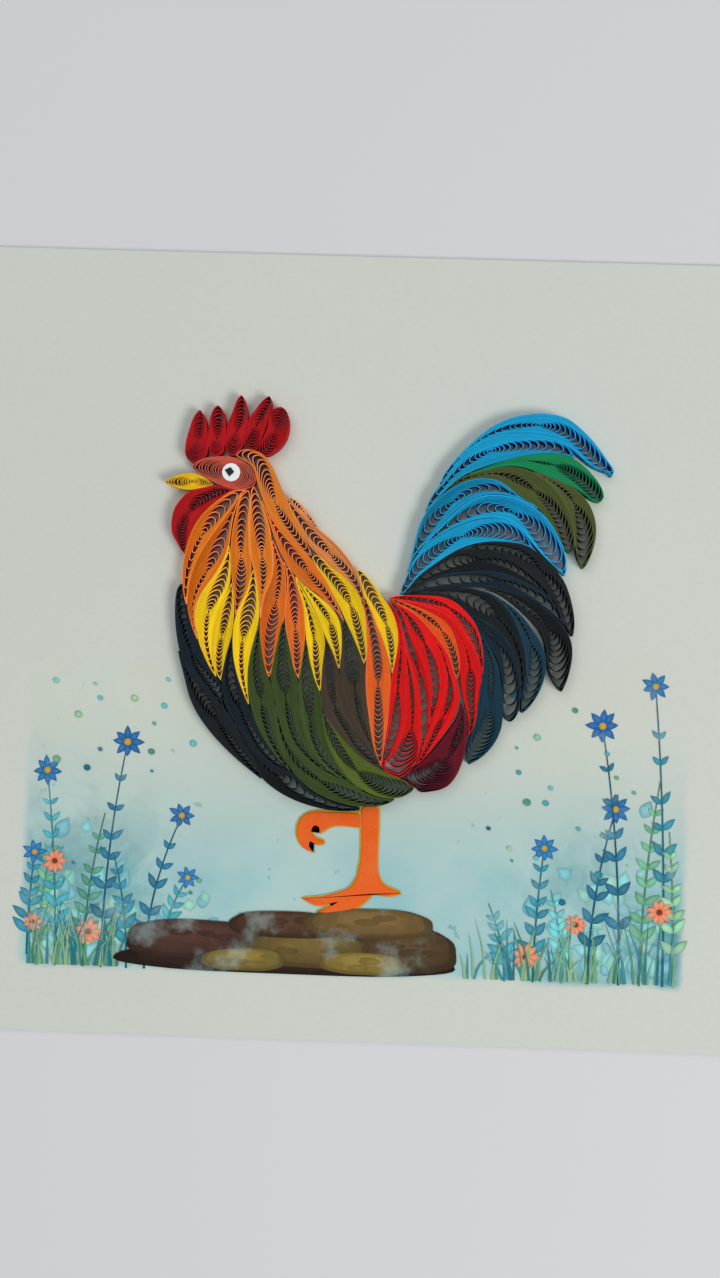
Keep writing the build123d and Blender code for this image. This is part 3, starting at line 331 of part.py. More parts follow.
         (26.38, 1.96)),
    ],
    "tail_black_8": [
        ([(22.73, 4.21), (22.99, 3.45), (23.28, 2.39), (23.56, 1.05), (23.83, -0.55), (23.92, -2.38), (23.76, -4.38), (23.48, -6.47), (23.22, -8.63), (23.02, -10.80), (22.71, -12.89), (22.22, -14.84), (21.69, -16.59), (21.30, -18.17), (21.18, -19.54), (21.31, -20.62), (21.59, -21.37)],
         [(22.73, 4.21), (23.23, 3.46), (23.94, 2.45), (24.84, 1.19), (25.75, -0.38), (26.50, -2.30), (27.04, -4.49), (27.43, -6.84), (27.69, -9.27), (27.83, -11.71), (27.63, -14.08), (26.90, -16.20), (25.84, -17.97), (24.63, -19.34), (23.44, -20.32), (22.40, -20.97), (21.59, -21.37)],
         (25.43, -9.85)),
    ],
}

standing_leg_outline = [(1.28, -30.48), (1.52, -33.59), (1.65, -38.03), (1.61, -40.99), (1.27, -42.49), (1.08, -43.97), (0.69, -44.85), (-0.17, -46.08), (-1.34, -46.85), (-3.09, -47.49), (-5.29, -48.10), (-7.49, -48.46), (-9.58, -48.66), (-8.67, -49.21), (-7.45, -49.80), (-5.97, -49.90), (-4.49, -49.55), (-2.75, -49.05), (-3.77, -49.76), (-5.22, -50.54), (-6.59, -51.18), (-4.44, -51.19), (-2.25, -50.81), (-0.03, -50.38), (1.44, -49.75), (2.59, -48.82), (3.30, -48.05), (3.88, -47.21), (4.78, -47.42), (6.54, -47.58), (8.03, -47.45), (9.49, -46.96), (8.45, -46.55), (6.94, -46.01), (5.73, -45.16), (5.11, -43.84), (4.75, -42.38), (4.66, -39.42), (4.72, -36.46), (4.79, -33.49), (4.74, -30.30)]
raised_leg_outline = [(1.17, -31.75), (-2.09, -31.77), (-5.05, -31.78), (-7.28, -31.76), (-8.46, -31.89), (-9.49, -32.37), (-10.35, -33.21), (-10.84, -34.41), (-11.01, -35.75), (-10.75, -37.08), (-10.19, -38.24), (-9.43, -38.97), (-8.37, -39.44), (-7.56, -39.57), (-8.23, -38.93), (-8.56, -38.34), (-8.43, -37.53), (-7.69, -37.87), (-6.94, -38.08), (-6.06, -37.90), (-5.63, -37.44), (-6.37, -37.25), (-7.27, -36.89), (-7.95, -36.25), (-8.21, -35.37), (-7.92, -34.70), (-7.43, -34.38), (-6.82, -34.73), (-6.64, -35.32), (-6.86, -35.93), (-5.83, -35.30), (-4.96, -34.67), (-3.95, -34.27), (-2.01, -34.21), (-0.53, -34.32), (1.25, -34.55)]
pupil_corners = [(-25.71, 34.14), (-25.00, 33.28), (-25.93, 32.35), (-26.82, 33.57)]


# coils whose sharply pinched ends run out in a straight line
straight_ended = {"hackle_6", "tail_blue_3"}


def side_curve(name, points):
    """Smooth side of a coil from its root to its tip."""
    if name in straight_ended:
        (x0, y0), (x1, y1) = points[0], points[1]
        (x2, y2), (x3, y3) = points[-2], points[-1]
        return Spline(*points, tangents=((x1 - x0, y1 - y0), (x3 - x2, y3 - y2)))
    return Spline(*points)


class CoilAxis:
    """Centre line of a coil, with its half width and side direction."""

    def __init__(self, side_a, side_b, eye):
        self.mid = [((a[0] + b[0]) / 2, (a[1] + b[1]) / 2) for a, b in zip(side_a, side_b)]
        self.half = [math.dist(a, b) / 2 for a, b in zip(side_a, side_b)]
        self.run = [0.0]
        for p, q in zip(self.mid, self.mid[1:]):
            self.run.append(self.run[-1] + math.dist(p, q))
        self.length = self.run[-1]
        near = min(range(201), key=lambda i: math.dist(self.point(self.length * i / 200, 0, False), eye))
        self.eye_run = self.length * near / 200
        px, py, nx, ny = self.frame(self.eye_run)
        self.lean = ((eye[0] - px) * nx + (eye[1] - py) * ny) / max(self.width(self.eye_run), 0.1)
        self.lean = max(-0.45, min(0.45, self.lean))

    def _at(self, s):
        s = max(0.0, min(self.length, s))
        i = max(j for j in range(len(self.run)) if self.run[j] <= s + 1e-9)
        i = min(i, len(self.run) - 2)
        return i, (s - self.run[i]) / max(self.run[i + 1] - self.run[i], 1e-9)

    def width(self, s):
        i, t = self._at(s)
        return self.half[i] * (1 - t) + self.half[i + 1] * t

    def frame(self, s):
        i, t = self._at(s)
        px = self.mid[i][0] * (1 - t) + self.mid[i + 1][0] * t
        py = self.mid[i][1] * (1 - t) + self.mid[i + 1][1] * t
        d = min(0.6, self.length / 8)
        i0, t0 = self._at(s - d)
        i1, t1 = self._at(s + d)
        x0 = self.mid[i0][0] * (1 - t0) + self.mid[i0 + 1][0] * t0
        y0 = self.mid[i0][1] * (1 - t0) + self.mid[i0 + 1][1] * t0
        x1 = self.mid[i1][0] * (1 - t1) + self.mid[i1 + 1][0] * t1
        y1 = self.mid[i1][1] * (1 - t1) + self.mid[i1 + 1][1] * t1
        n = math.hypot(x1 - x0, y1 - y0)
        return px, py, -(y1 - y0) / n, (x1 - x0) / n

    def point(self, s, across, leaning=True):
        px, py, nx, ny = self.frame(s)
        if leaning:
            across = across + self.lean * self.width(s)
        return (px + nx * across, py + ny * across)


def open_crescents(side_a, side_b, eye):
    """Crescent gaps between the turns, worked in from both ends to the eye."""
    axis = CoilAxis(side_a, side_b, eye)
    found = []
    for start, span, sign in ((0.0, axis.eye_run, 1), (axis.length, axis.length - axis.eye_run, -1)):
        apex, band, pitch = first_gap + 0.45, flank_band, gap_pitch_outer
        while apex + pitch < span - eye_clear:
            reach = min(pitch - strip_pack, 1.0)
            narrow = min(axis.width(start + sign * (apex + reach)),
                         axis.width(start + sign * (apex + reach + 0.9)))
            free = narrow * (1 - abs(axis.lean)) - band
            if free > 0.30:
                horn = apex + reach + min(0.55 * free, 0.9)
                found.append((
                    axis.point(start + sign * horn, -free),
                    axis.point(start + sign * apex, 0),
                    axis.point(start + sign * horn, free),
                    axis.point(start + sign * (apex + reach), 0),
                ))
                band += flank_step
            apex += pitch
            pitch = max(gap_pitch_inner, pitch * 0.88)
    return axis, found


# --- folded card: two leaves joined by a rounded fold on the left edge -------
with BuildPart() as folded_card:
    with BuildSketch(Plane.XZ.offset(-card_side / 2)):
        with BuildLine():
            right = card_side / 2
            left = -card_side / 2 + fold_outer_radius
            mid_z = front_face / 2
            Line((right, 0), (left, 0))
            ThreePointArc((left, 0), (-card_side / 2, mid_z), (left, front_face))
            Line((left, front_face), (right, front_face))
            Line((right, front_face), (right, front_face - leaf_thickness))
            Line((right, front_face - leaf_thickness), (left, front_face - leaf_thickness))
            ThreePointArc((left, front_face - leaf_thickness),
                          (left - fold_inner_radius, mid_z), (left, leaf_thickness))
            Line((left, leaf_thickness), (right, leaf_thickness))
            Line((right, leaf_thickness), (right, 0))
        make_face()
    extrude(amount=card_side)
folded_card.part.label = "folded_card"
export_step(folded_card.part, "parts/folded_card.step")

# --- rolled coils -------------------------------------------------------------
for name, loops in coils.items():
    with BuildPart() as coil:
        for side_a, side_b, eye in loops:
            axis, crescents = open_crescents(side_a, side_b, eye)
            with BuildSketch(Plane.XY.offset(front_face)):
                with BuildLine():
                    side_curve(name, side_a)
                    side_curve(name, side_b)
                make_face()
                for horn_1, apex, horn_2, inner in crescents:
                    with BuildLine():
                        ThreePointArc(horn_1, apex, horn_2)
                        ThreePointArc(horn_2, inner, horn_1)
                    make_face(mode=Mode.SUBTRACT)
                if axis.width(axis.eye_run) > 1.2:
                    with Locations(axis.point(axis.eye_run, 0)):
                        Circle(eye_radius * 0.6, mode=Mode.SUBTRACT)
            extrude(amount=strip_width)
    coil.part.label = name
    export_step(coil.part, f"parts/{name}.step")

# --- eye: white disc on the face coil, black pupil on the disc ----------------
coil_top = front_face + strip_width
with BuildPart() as eye_white:
    with BuildSketch(Plane.XY.offset(coil_top)):
        with Locations(eye_centre):
            RegularPolygon(eye_disc_radius, 12)
    extrude(amount=eye_disc_thickness)
    fillet(eye_white.edges().filter_by(Axis.Z), radius=0.6)
eye_white.part.label = "eye_white"
export_step(eye_white.part, "parts/eye_white.step")

with BuildPart() as eye_pupil:
    with BuildSketch(Plane.XY.offset(coil_top + eye_disc_thickness)):
        with BuildLine():
            Polyline(*pupil_corners, close=True)
        make_face()
    extrude(amount=pupil_thickness)
eye_pupil.part.label = "eye_pupil"
export_step(eye_pupil.part, "parts/eye_pupil.step")

# --- legs: flat cut card, one standing and one raised -------------------------
with BuildPart() as leg_standing:
    with BuildSketch(Plane.XY.offset(front_face)):
        with BuildLine():
            Polyline(*standing_leg_outline, close=True)
        make_face()
    extrude(amount=leg_thickness)
leg_standing.part.label = "leg_standing"
export_step(leg_standing.part, "parts/leg_standing.step")

with BuildPart() as leg_raised:
    with BuildSketch(Plane.XY.offset(front_face)):
        with BuildLine():
            Polyline(*raised_leg_outline, close=True)
        make_face()
    extrude(amount=leg_thickness)
leg_raised.part.label = "leg_raised"
export_step(leg_raised.part, "parts/leg_raised.step")
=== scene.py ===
import math
import random
import bpy
import numpy as np
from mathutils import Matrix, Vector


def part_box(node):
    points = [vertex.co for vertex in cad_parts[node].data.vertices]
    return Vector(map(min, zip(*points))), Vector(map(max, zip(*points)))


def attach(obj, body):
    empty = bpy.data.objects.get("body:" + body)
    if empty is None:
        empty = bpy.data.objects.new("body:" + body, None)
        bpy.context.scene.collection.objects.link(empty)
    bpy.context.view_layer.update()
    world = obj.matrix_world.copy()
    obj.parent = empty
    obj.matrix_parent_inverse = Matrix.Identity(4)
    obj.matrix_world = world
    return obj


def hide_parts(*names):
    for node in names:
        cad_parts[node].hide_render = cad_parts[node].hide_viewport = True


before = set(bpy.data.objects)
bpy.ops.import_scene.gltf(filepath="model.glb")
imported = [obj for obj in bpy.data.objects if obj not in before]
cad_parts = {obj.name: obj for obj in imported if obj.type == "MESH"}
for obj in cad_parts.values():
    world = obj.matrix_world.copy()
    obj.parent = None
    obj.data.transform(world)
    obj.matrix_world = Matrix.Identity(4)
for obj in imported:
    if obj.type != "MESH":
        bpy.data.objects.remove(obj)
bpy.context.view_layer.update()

MM = 0.001

# ---------------------------------------------------------------- dimensions
card_lo, card_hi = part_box("folded_card")
FACE = card_hi[2] / MM                 # height of the card's front face, mm
HALF = (card_hi[0] - card_lo[0]) / 2 / MM
STRIP = 3.0                            # strip height
PAPER = 0.115                          # strip thickness
PRINT = 64.6                           # half side of the painted ground

# sides of every rolled loop (root to tip) and the centre of its roll
COILS = {
    "comb": [
        ([(-31.98, 45.01), (-32.27, 44.76), (-32.61, 44.38), (-32.97, 43.86), (-33.29, 43.19), (-33.57, 42.39), (-33.83, 41.49), (-34.08, 40.55), (-34.32, 39.58), (-34.52, 38.59), (-34.63, 37.60), (-34.60, 36.66), (-34.35, 35.88), (-33.90, 35.33), (-33.36, 35.04), (-32.83, 34.95), (-32.43, 34.99)],
         [(-31.98, 45.01), (-31.73, 44.76), (-31.45, 44.37), (-31.17, 43.85), (-30.91, 43.21), (-30.70, 42.45), (-30.54, 41.59), (-30.42, 40.66), (-30.34, 39.70), (-30.29, 38.73), (-30.29, 37.81), (-30.44, 36.97), (-30.73, 36.24), (-31.19, 35.67), (-31.82, 35.26), (-32.28, 35.04), (-32.43, 34.99)],
         (-32.35, 38.92)),
        ([(-28.56, 45.98), (-28.85, 45.79), (-29.17, 45.48), (-29.49, 45.00), (-29.76, 44.37), (-29.96, 43.63), (-30.09, 42.81), (-30.17, 41.94), (-30.21, 41.03), (-30.26, 40.11), (-30.25, 39.22), (-30.21, 38.38), (-30.07, 37.63), (-29.81, 37.02), (-29.46, 36.60), (-29.05, 36.36), (-28.68, 36.26)],
         [(-28.56, 45.98), (-28.27, 45.80), (-27.94, 45.48), (-27.63, 45.01), (-27.35, 44.38), (-27.14, 43.64), (-26.99, 42.82), (-26.91, 41.93), (-26.86, 41.01), (-26.86, 40.08), (-26.91, 39.18), (-27.04, 38.35), (-27.24, 37.61), (-27.53, 37.01), (-27.90, 36.60), (-28.30, 36.36), (-28.68, 36.26)],
         (-28.63, 39.61)),
        ([(-24.07, 48.05), (-24.37, 47.79), (-24.70, 47.37), (-25.02, 46.80), (-25.32, 46.06), (-25.59, 45.20), (-25.90, 44.25), (-26.30, 43.29), (-26.58, 42.29), (-26.68, 41.23), (-26.77, 40.19), (-26.84, 39.19), (-26.83, 38.29), (-26.70, 37.50), (-26.44, 36.92), (-26.04, 36.60), (-25.60, 36.49)],
         [(-24.07, 48.05), (-23.79, 47.76), (-23.52, 47.31), (-23.30, 46.68), (-23.11, 45.88), (-22.90, 44.97), (-22.74, 43.98), (-22.71, 42.95), (-22.83, 41.90), (-23.03, 40.84), (-23.28, 39.80), (-23.54, 38.81), (-23.87, 37.95), (-24.32, 37.27), (-24.75, 36.80), (-25.19, 36.54), (-25.60, 36.49)],
         (-24.79, 41.07)),
        ([(-18.82, 48.04), (-19.15, 47.84), (-19.57, 47.51), (-20.05, 47.05), (-20.56, 46.45), (-21.09, 45.73), (-21.64, 44.93), (-22.22, 44.08), (-22.63, 43.11), (-22.74, 42.05), (-22.90, 41.04), (-23.14, 40.10), (-23.33, 39.22), (-23.26, 38.45), (-22.84, 37.94), (-22.25, 37.73), (-21.97, 37.67)],
         [(-18.82, 48.04), (-18.55, 47.79), (-18.32, 47.35), (-18.26, 46.72), (-18.37, 45.99), (-18.56, 45.17), (-18.73, 44.26), (-18.91, 43.31), (-19.17, 42.35), (-19.48, 41.40), (-19.79, 40.48), (-20.05, 39.60), (-20.30, 38.80), (-20.63, 38.13), (-21.11, 37.73), (-21.60, 37.64), (-21.97, 37.67)],
         (-21.05, 42.34)),
        ([(-20.41, 37.38), (-20.40, 37.69), (-20.31, 38.10), (-20.17, 38.61), (-19.97, 39.20), (-19.71, 39.86), (-19.43, 40.58), (-19.14, 41.35), (-18.90, 42.15), (-18.75, 42.99), (-18.70, 43.83), (-18.61, 44.60), (-18.33, 45.21), (-17.82, 45.62), (-17.20, 45.86), (-16.76, 45.98), (-16.61, 46.04)],
         [(-20.41, 37.38), (-20.11, 37.13), (-19.57, 36.79), (-18.88, 36.70), (-18.12, 36.99), (-17.29, 37.53), (-16.48, 38.24), (-15.79, 39.10), (-15.27, 40.08), (-14.94, 41.15), (-14.78, 42.26), (-14.79, 43.34), (-14.97, 44.29), (-15.29, 45.06), (-15.71, 45.61), (-16.18, 45.92), (-16.61, 46.04)],
         (-17.48, 41.30)),
    ],
    "face": [
        ([(-33.17, 33.88), (-32.99, 34.37), (-32.61, 34.80), (-31.99, 35.11), (-31.18, 35.62), (-30.13, 35.91), (-28.96, 36.09), (-27.72, 36.22), (-26.45, 36.23), (-25.20, 36.06), (-24.02, 35.71), (-22.99, 35.18), (-22.17, 34.53), (-21.58, 33.82), (-21.20, 33.12), (-21.00, 32.49), (-20.91, 32.02)],
         [(-33.17, 33.88), (-32.83, 33.60), (-32.34, 33.25), (-31.72, 32.83), (-30.97, 32.36), (-30.11, 31.85), (-29.15, 31.35), (-28.10, 30.89), (-26.99, 30.49), (-25.83, 30.18), (-24.67, 29.99), (-23.58, 29.98), (-22.61, 30.18), (-21.82, 30.54), (-21.27, 31.03), (-20.98, 31.55), (-20.91, 32.02)],
         (-25.46, 33.20)),
    ],
    "beak": [
        ([(-38.36, 30.96), (-38.13, 31.18), (-37.78, 31.44), (-37.33, 31.73), (-36.75, 32.02), (-36.06, 32.29), (-35.29, 32.55), (-34.46, 32.76), (-33.60, 32.86), (-32.75, 32.80), (-31.93, 32.60), (-31.19, 32.30), (-30.54, 31.95), (-29.99, 31.58), (-29.56, 31.24), (-29.23, 30.95), (-29.01, 30.73)],
         [(-38.36, 30.96), (-38.09, 30.84), (-37.72, 30.66), (-37.24, 30.45), (-36.67, 30.23), (-36.02, 30.02), (-35.29, 29.84), (-34.52, 29.71), (-33.72, 29.65), (-32.91, 29.69), (-32.12, 29.83), (-31.39, 29.98), (-30.72, 30.15), (-30.14, 30.34), (-29.66, 30.49), (-29.28, 30.62), (-29.01, 30.73)],
         (-33.07, 31.24)),
    ],
    "wattle": [
        ([(-24.88, 29.92), (-25.58, 29.96), (-26.51, 30.16), (-27.67, 30.46), (-29.07, 30.56), (-30.61, 30.12), (-32.31, 29.74), (-33.98, 28.99), (-35.26, 27.60), (-36.29, 26.01), (-36.72, 24.23), (-36.80, 22.49), (-36.51, 20.94), (-35.78, 19.73), (-35.20, 18.69), (-34.69, 17.88), (-34.19, 17.40)],
         [(-24.88, 29.92), (-25.32, 29.68), (-25.91, 29.34), (-26.64, 28.90), (-27.48, 28.32), (-28.38, 27.62), (-29.32, 26.80), (-30.24, 25.85), (-31.11, 24.81), (-31.88, 23.69), (-32.53, 22.55), (-33.05, 21.41), (-33.43, 20.33), (-33.69, 19.35), (-33.86, 18.52), (-33.98, 17.84), (-34.19, 17.40)],
         (-33.55, 25.28)),
    ],
    "hackle_1": [
        ([(-22.64, 29.91), (-23.51, 29.88), (-24.69, 29.79), (-26.02, 29.20), (-27.47, 28.16), (-29.02, 26.92), (-30.55, 25.39), (-31.90, 23.54), (-32.96, 21.44), (-33.64, 19.19), (-34.11, 16.95), (-34.38, 14.81), (-34.39, 12.82), (-34.27, 11.06), (-34.06, 9.59), (-33.78, 8.45), (-33.48, 7.64)],
         [(-22.64, 29.91), (-23.31, 29.46), (-24.01, 28.68), (-24.72, 27.55), (-25.55, 26.21), (-26.54, 24.73), (-27.65, 23.13), (-28.81, 21.43), (-29.95, 19.65), (-30.99, 17.80), (-31.87, 15.93), (-32.53, 14.10), (-32.97, 12.38), (-33.22, 10.82), (-33.34, 9.48), (-33.41, 8.41), (-33.48, 7.64)],
         (-30.83, 20.96)),
    ],
    "hackle_2": [
        ([(-23.42, 29.20), (-24.06, 28.49), (-24.76, 27.38), (-25.63, 25.99), (-26.72, 24.37), (-27.97, 22.56), (-29.30, 20.57), (-30.61, 18.40), (-31.75, 16.05), (-32.61, 13.60), (-33.12, 11.11), (-33.30, 8.72), (-33.10, 6.54), (-32.63, 4.65), (-32.12, 3.09), (-31.60, 1.88), (-31.16, 1.02)],
         [(-23.42, 29.20), (-23.80, 28.36), (-24.26, 27.18), (-24.77, 25.68), (-25.16, 23.85), (-25.38, 21.74), (-25.67, 19.45), (-26.33, 17.09), (-27.39, 14.82), (-28.74, 12.70), (-30.13, 10.69), (-31.23, 8.66), (-31.77, 6.62), (-31.79, 4.75), (-31.59, 3.17), (-31.36, 1.93), (-31.16, 1.02)],
         (-29.66, 14.10)),
    ],
    "hackle_3": [
        ([(-22.20, 29.85), (-22.87, 29.49), (-23.55, 28.70), (-24.04, 27.49), (-24.33, 25.97), (-24.67, 24.24), (-25.00, 22.36), (-25.20, 20.35), (-25.26, 18.27), (-25.18, 16.19), (-25.02, 14.17), (-24.77, 12.27), (-24.52, 10.54), (-24.31, 9.00), (-24.16, 7.70), (-24.07, 6.65), (-23.94, 5.90)],
         [(-22.20, 29.85), (-21.99, 29.13), (-21.86, 28.11), (-21.87, 26.82), (-21.92, 25.29), (-21.91, 23.56), (-21.84, 21.68), (-21.72, 19.69), (-21.53, 17.66), (-21.29, 15.63), (-21.31, 13.64), (-21.65, 11.79), (-22.16, 10.14), (-22.75, 8.74), (-23.28, 7.56), (-23.66, 6.60), (-23.94, 5.90)],
         (-23.24, 17.37)),
    ],
    "hackle_4": [
        ([(-21.32, 30.60), (-21.60, 29.89), (-21.72, 28.82), (-21.79, 27.49), (-21.83, 25.91), (-21.87, 24.12), (-21.81, 22.17), (-21.69, 20.11), (-21.52, 18.00), (-21.09, 15.93), (-20.50, 13.95), (-20.04, 12.05), (-19.70, 10.30), (-19.49, 8.73), (-19.35, 7.40), (-19.18, 5.56)],
         [(-21.32, 30.60), (-20.80, 30.00), (-20.28, 29.03), (-19.71, 27.77), (-19.15, 26.24), (-18.47, 24.52), (-17.89, 22.60), (-17.54, 20.50), (-17.23, 18.34), (-17.04, 16.16), (-17.16, 14.04), (-17.67, 12.10), (-18.33, 10.37), (-18.82, 8.82), (-19.03, 7.46), (-19.18, 5.56)],
         (-19.23, 17.68)),
    ],
    "hackle_5": [
        ([(-17.38, 20.44), (-17.35, 19.62), (-17.19, 18.50), (-17.04, 17.09), (-16.98, 15.42), (-17.20, 13.54), (-17.80, 11.57), (-18.56, 9.53), (-18.98, 7.33), (-19.15, 5.09), (-19.13, 2.91), (-18.93, 0.85), (-18.64, -1.01), (-18.29, -2.65), (-17.91, -4.01), (-17.56, -5.09), (-17.15, -5.80)],
         [(-17.38, 20.44), (-16.89, 19.77), (-16.42, 18.73), (-15.82, 17.42), (-15.04, 15.91), (-14.64, 14.04), (-14.47, 11.95), (-14.40, 9.74), (-14.45, 7.46), (-14.66, 5.21), (-15.35, 3.11), (-15.72, 1.05), (-16.08, -0.84), (-16.36, -2.52), (-16.58, -3.93), (-16.78, -5.06), (-17.15, -5.80)],
         (-16.26, 8.39)),
    ],
    "hackle_6": [
        ([(-19.53, 27.92), (-19.30, 27.07), (-18.86, 25.96), (-18.26, 24.58), (-17.63, 22.93), (-16.93, 21.05), (-16.08, 19.03), (-15.01, 16.98), (-13.67, 15.02), (-12.06, 13.25), (-10.35, 11.70), (-8.51, 10.53), (-6.98, 9.23), (-5.70, 7.99), (-4.49, 7.11), (-3.21, 5.44)],
         [(-19.53, 27.92), (-19.10, 27.17), (-18.48, 26.16), (-17.67, 24.92), (-16.57, 23.57), (-15.19, 22.15), (-13.61, 20.67), (-11.94, 19.11), (-10.21, 17.51), (-8.70, 15.72), (-7.40, 13.85), (-6.23, 12.04), (-5.27, 10.31), (-4.52, 8.72), (-3.94, 7.35), (-3.21, 5.44)],
         (-10.32, 14.70)),
    ],
    "hackle_7": [
        ([(-15.05, 16.28), (-14.77, 15.63), (-14.51, 14.71), (-14.31, 13.53), (-14.24, 12.12), (-14.26, 10.51), (-14.33, 8.76), (-14.40, 6.91), (-14.38, 5.01), (-14.11, 3.13), (-13.70, 1.33), (-13.28, -0.37), (-12.93, -1.94), (-12.60, -3.32), (-12.22, -4.45), (-11.83, -5.32), (-11.50, -5.93)],
         [(-15.05, 16.28), (-14.48, 15.83), (-13.85, 15.10), (-13.19, 14.06), (-12.57, 12.74), (-11.99, 11.19), (-11.44, 9.47), (-11.02, 7.62), (-10.73, 5.69), (-10.58, 3.75), (-10.55, 1.85), (-10.64, 0.04), (-10.83, -1.61), (-11.03, -3.06), (-11.20, -4.27), (-11.35, -5.23), (-11.50, -5.93)],
         (-12.40, 3.97)),
    ],
    "hackle_crest": [
        ([(-24.82, 36.63), (-24.25, 36.12), (-23.30, 35.65), (-22.15, 34.99), (-21.21, 33.75), (-20.71, 32.06), (-20.12, 30.22), (-19.39, 28.31), (-18.54, 26.39), (-17.38, 24.64), (-16.05, 23.09), (-14.67, 21.74), (-13.37, 20.53), (-12.22, 19.47), (-11.24, 18.57), (-10.43, 17.90), (-9.70, 17.74)],
         [(-24.82, 36.63), (-24.26, 37.26), (-23.23, 37.72), (-21.80, 37.59), (-20.17, 37.11), (-18.69, 35.90), (-17.63, 34.08), (-16.69, 32.06), (-15.75, 29.98), (-14.77, 27.92), (-13.79, 25.92), (-12.85, 24.04), (-11.97, 22.32), (-11.15, 20.83), (-10.46, 19.56), (-9.93, 18.54), (-9.70, 17.74)],
         (-16.98, 27.72)),
    ],
    "hackle_back": [
        ([(-15.16, 28.92), (-14.82, 28.19), (-14.36, 27.20), (-13.76, 25.97), (-13.03, 24.52), (-12.20, 22.89), (-11.26, 21.12), (-10.01, 19.44), (-8.44, 17.91), (-6.82, 16.47), (-5.20, 15.14), (-3.56, 13.96), (-2.18, 12.76), (-1.12, 11.54), (-0.37, 10.39), (0.16, 9.45), (0.63, 9.16)],
         [(-15.16, 28.92), (-14.59, 28.34), (-13.83, 27.53), (-12.87, 26.53), (-11.69, 25.40), (-10.28, 24.19), (-8.69, 22.95), (-6.99, 21.65), (-5.32, 20.23), (-3.77, 18.66), (-2.41, 17.01), (-1.30, 15.32), (-0.47, 13.66), (0.01, 12.07), (0.42, 10.76), (0.71, 9.72), (0.63, 9.16)],
         (-6.22, 18.28)),
        ([(-14.50, 28.64), (-14.37, 28.45), (-14.17, 28.20), (-13.92, 27.90), (-13.62, 27.55), (-13.27, 27.15), (-12.88, 26.73), (-12.46, 26.29), (-12.02, 25.84), (-11.56, 25.42), (-11.10, 25.01), (-10.66, 24.65), (-10.25, 24.32), (-9.87, 24.05), (-9.55, 23.82), (-9.09, 23.54)],
         [(-14.50, 28.64), (-14.25, 28.64), (-13.93, 28.59), (-13.56, 28.46), (-13.14, 28.25), (-12.69, 27.94), (-12.22, 27.57), (-11.74, 27.15), (-11.27, 26.70), (-10.83, 26.22), (-10.43, 25.74), (-10.08, 25.27), (-9.78, 24.82), (-9.53, 24.41), (-9.34, 24.05), (-9.09, 23.54)],
         (-11.45, 26.07)),
    ],
    "cape_1": [
        ([(-25.66, 19.15), (-25.86, 18.31), (-26.22, 17.20), (-26.78, 15.87), (-27.60, 14.36), (-28.67, 12.71), (-29.91, 10.93), (-31.02, 8.98), (-31.69, 6.79), (-31.71, 4.46), (-31.26, 2.25), (-30.75, 0.18), (-29.97, -1.64), (-29.23, -3.20), (-28.52, -4.46), (-27.89, -5.40), (-27.36, -6.02)],
         [(-25.66, 19.15), (-25.46, 18.39), (-25.31, 17.32), (-25.23, 15.97), (-25.17, 14.36), (-25.25, 12.54), (-25.55, 10.59), (-26.24, 8.63), (-27.04, 6.62), (-27.68, 4.56), (-28.10, 2.51), (-28.28, 0.56), (-28.23, -1.26), (-28.01, -2.86), (-27.71, -4.19), (-27.49, -5.25), (-27.36, -6.02)],
         (-29.11, 6.30)),
    ],
    "cape_2": [
        ([(-24.91, 11.95), (-25.09, 11.37), (-25.37, 10.60), (-25.76, 9.65), (-26.22, 8.53), (-26.74, 7.25), (-27.24, 5.84), (-27.68, 4.32), (-28.00, 2.73), (-28.19, 1.10), (-28.22, -0.50), (-28.08, -2.00), (-27.84, -3.36), (-27.55, -4.53), (-27.19, -5.48), (-26.80, -6.20), (-26.44, -6.68)],
         [(-24.91, 11.95), (-24.80, 11.38), (-24.65, 10.59), (-24.51, 9.60), (-24.39, 8.43), (-24.33, 7.10), (-24.33, 5.66), (-24.41, 4.13), (-24.57, 2.57), (-24.83, 1.01), (-25.22, -0.51), (-25.56, -1.94), (-25.84, -3.25), (-26.04, -4.40), (-26.19, -5.36), (-26.32, -6.12), (-26.44, -6.68)],
         (-26.53, 1.74)),
    ],
    "cape_3": [
        ([(-20.84, 14.55), (-21.15, 13.79), (-21.36, 12.68), (-21.69, 11.30), (-22.22, 9.71), (-23.03, 7.99), (-23.76, 6.06), (-24.25, 3.93), (-24.38, 1.69), (-24.29, -0.55), (-24.02, -2.72), (-23.54, -4.73), (-22.97, -6.54), (-22.37, -8.10), (-21.81, -9.41), (-21.34, -10.43), (-20.92, -11.15)],
         [(-20.84, 14.55), (-20.53, 13.82), (-20.26, 12.75), (-19.97, 11.41), (-19.69, 9.81), (-19.47, 7.99), (-19.41, 5.98), (-19.63, 3.88), (-20.14, 1.76), (-20.65, -0.36), (-21.03, -2.44), (-21.24, -4.43), (-21.28, -6.27), (-21.20, -7.89), (-21.07, -9.26), (-20.94, -10.35), (-20.92, -11.15)],
         (-22.46, 1.37)),
    ],
    "cape_4": [
        ([(-12.61, 13.53), (-12.50, 12.85), (-12.37, 12.43), (-12.21, 11.95), (-12.02, 11.42), (-11.81, 10.84), (-11.59, 10.20), (-11.36, 9.51), (-11.15, 8.77), (-10.97, 7.97), (-10.82, 7.14), (-10.71, 6.26), (-10.62, 5.37), (-10.54, 4.45), (-10.45, 3.51), (-10.35, 2.58), (-10.21, 1.65), (-10.01, 0.73), (-9.80, -0.17), (-9.65, -1.06), (-9.48, -1.92), (-9.28, -2.75), (-9.06, -3.53), (-8.85, -4.27), (-8.65, -4.97), (-8.46, -5.62), (-8.24, -6.20), (-8.03, -6.72), (-7.82, -7.18), (-7.62, -7.58), (-7.46, -7.92), (-7.31, -8.19)],
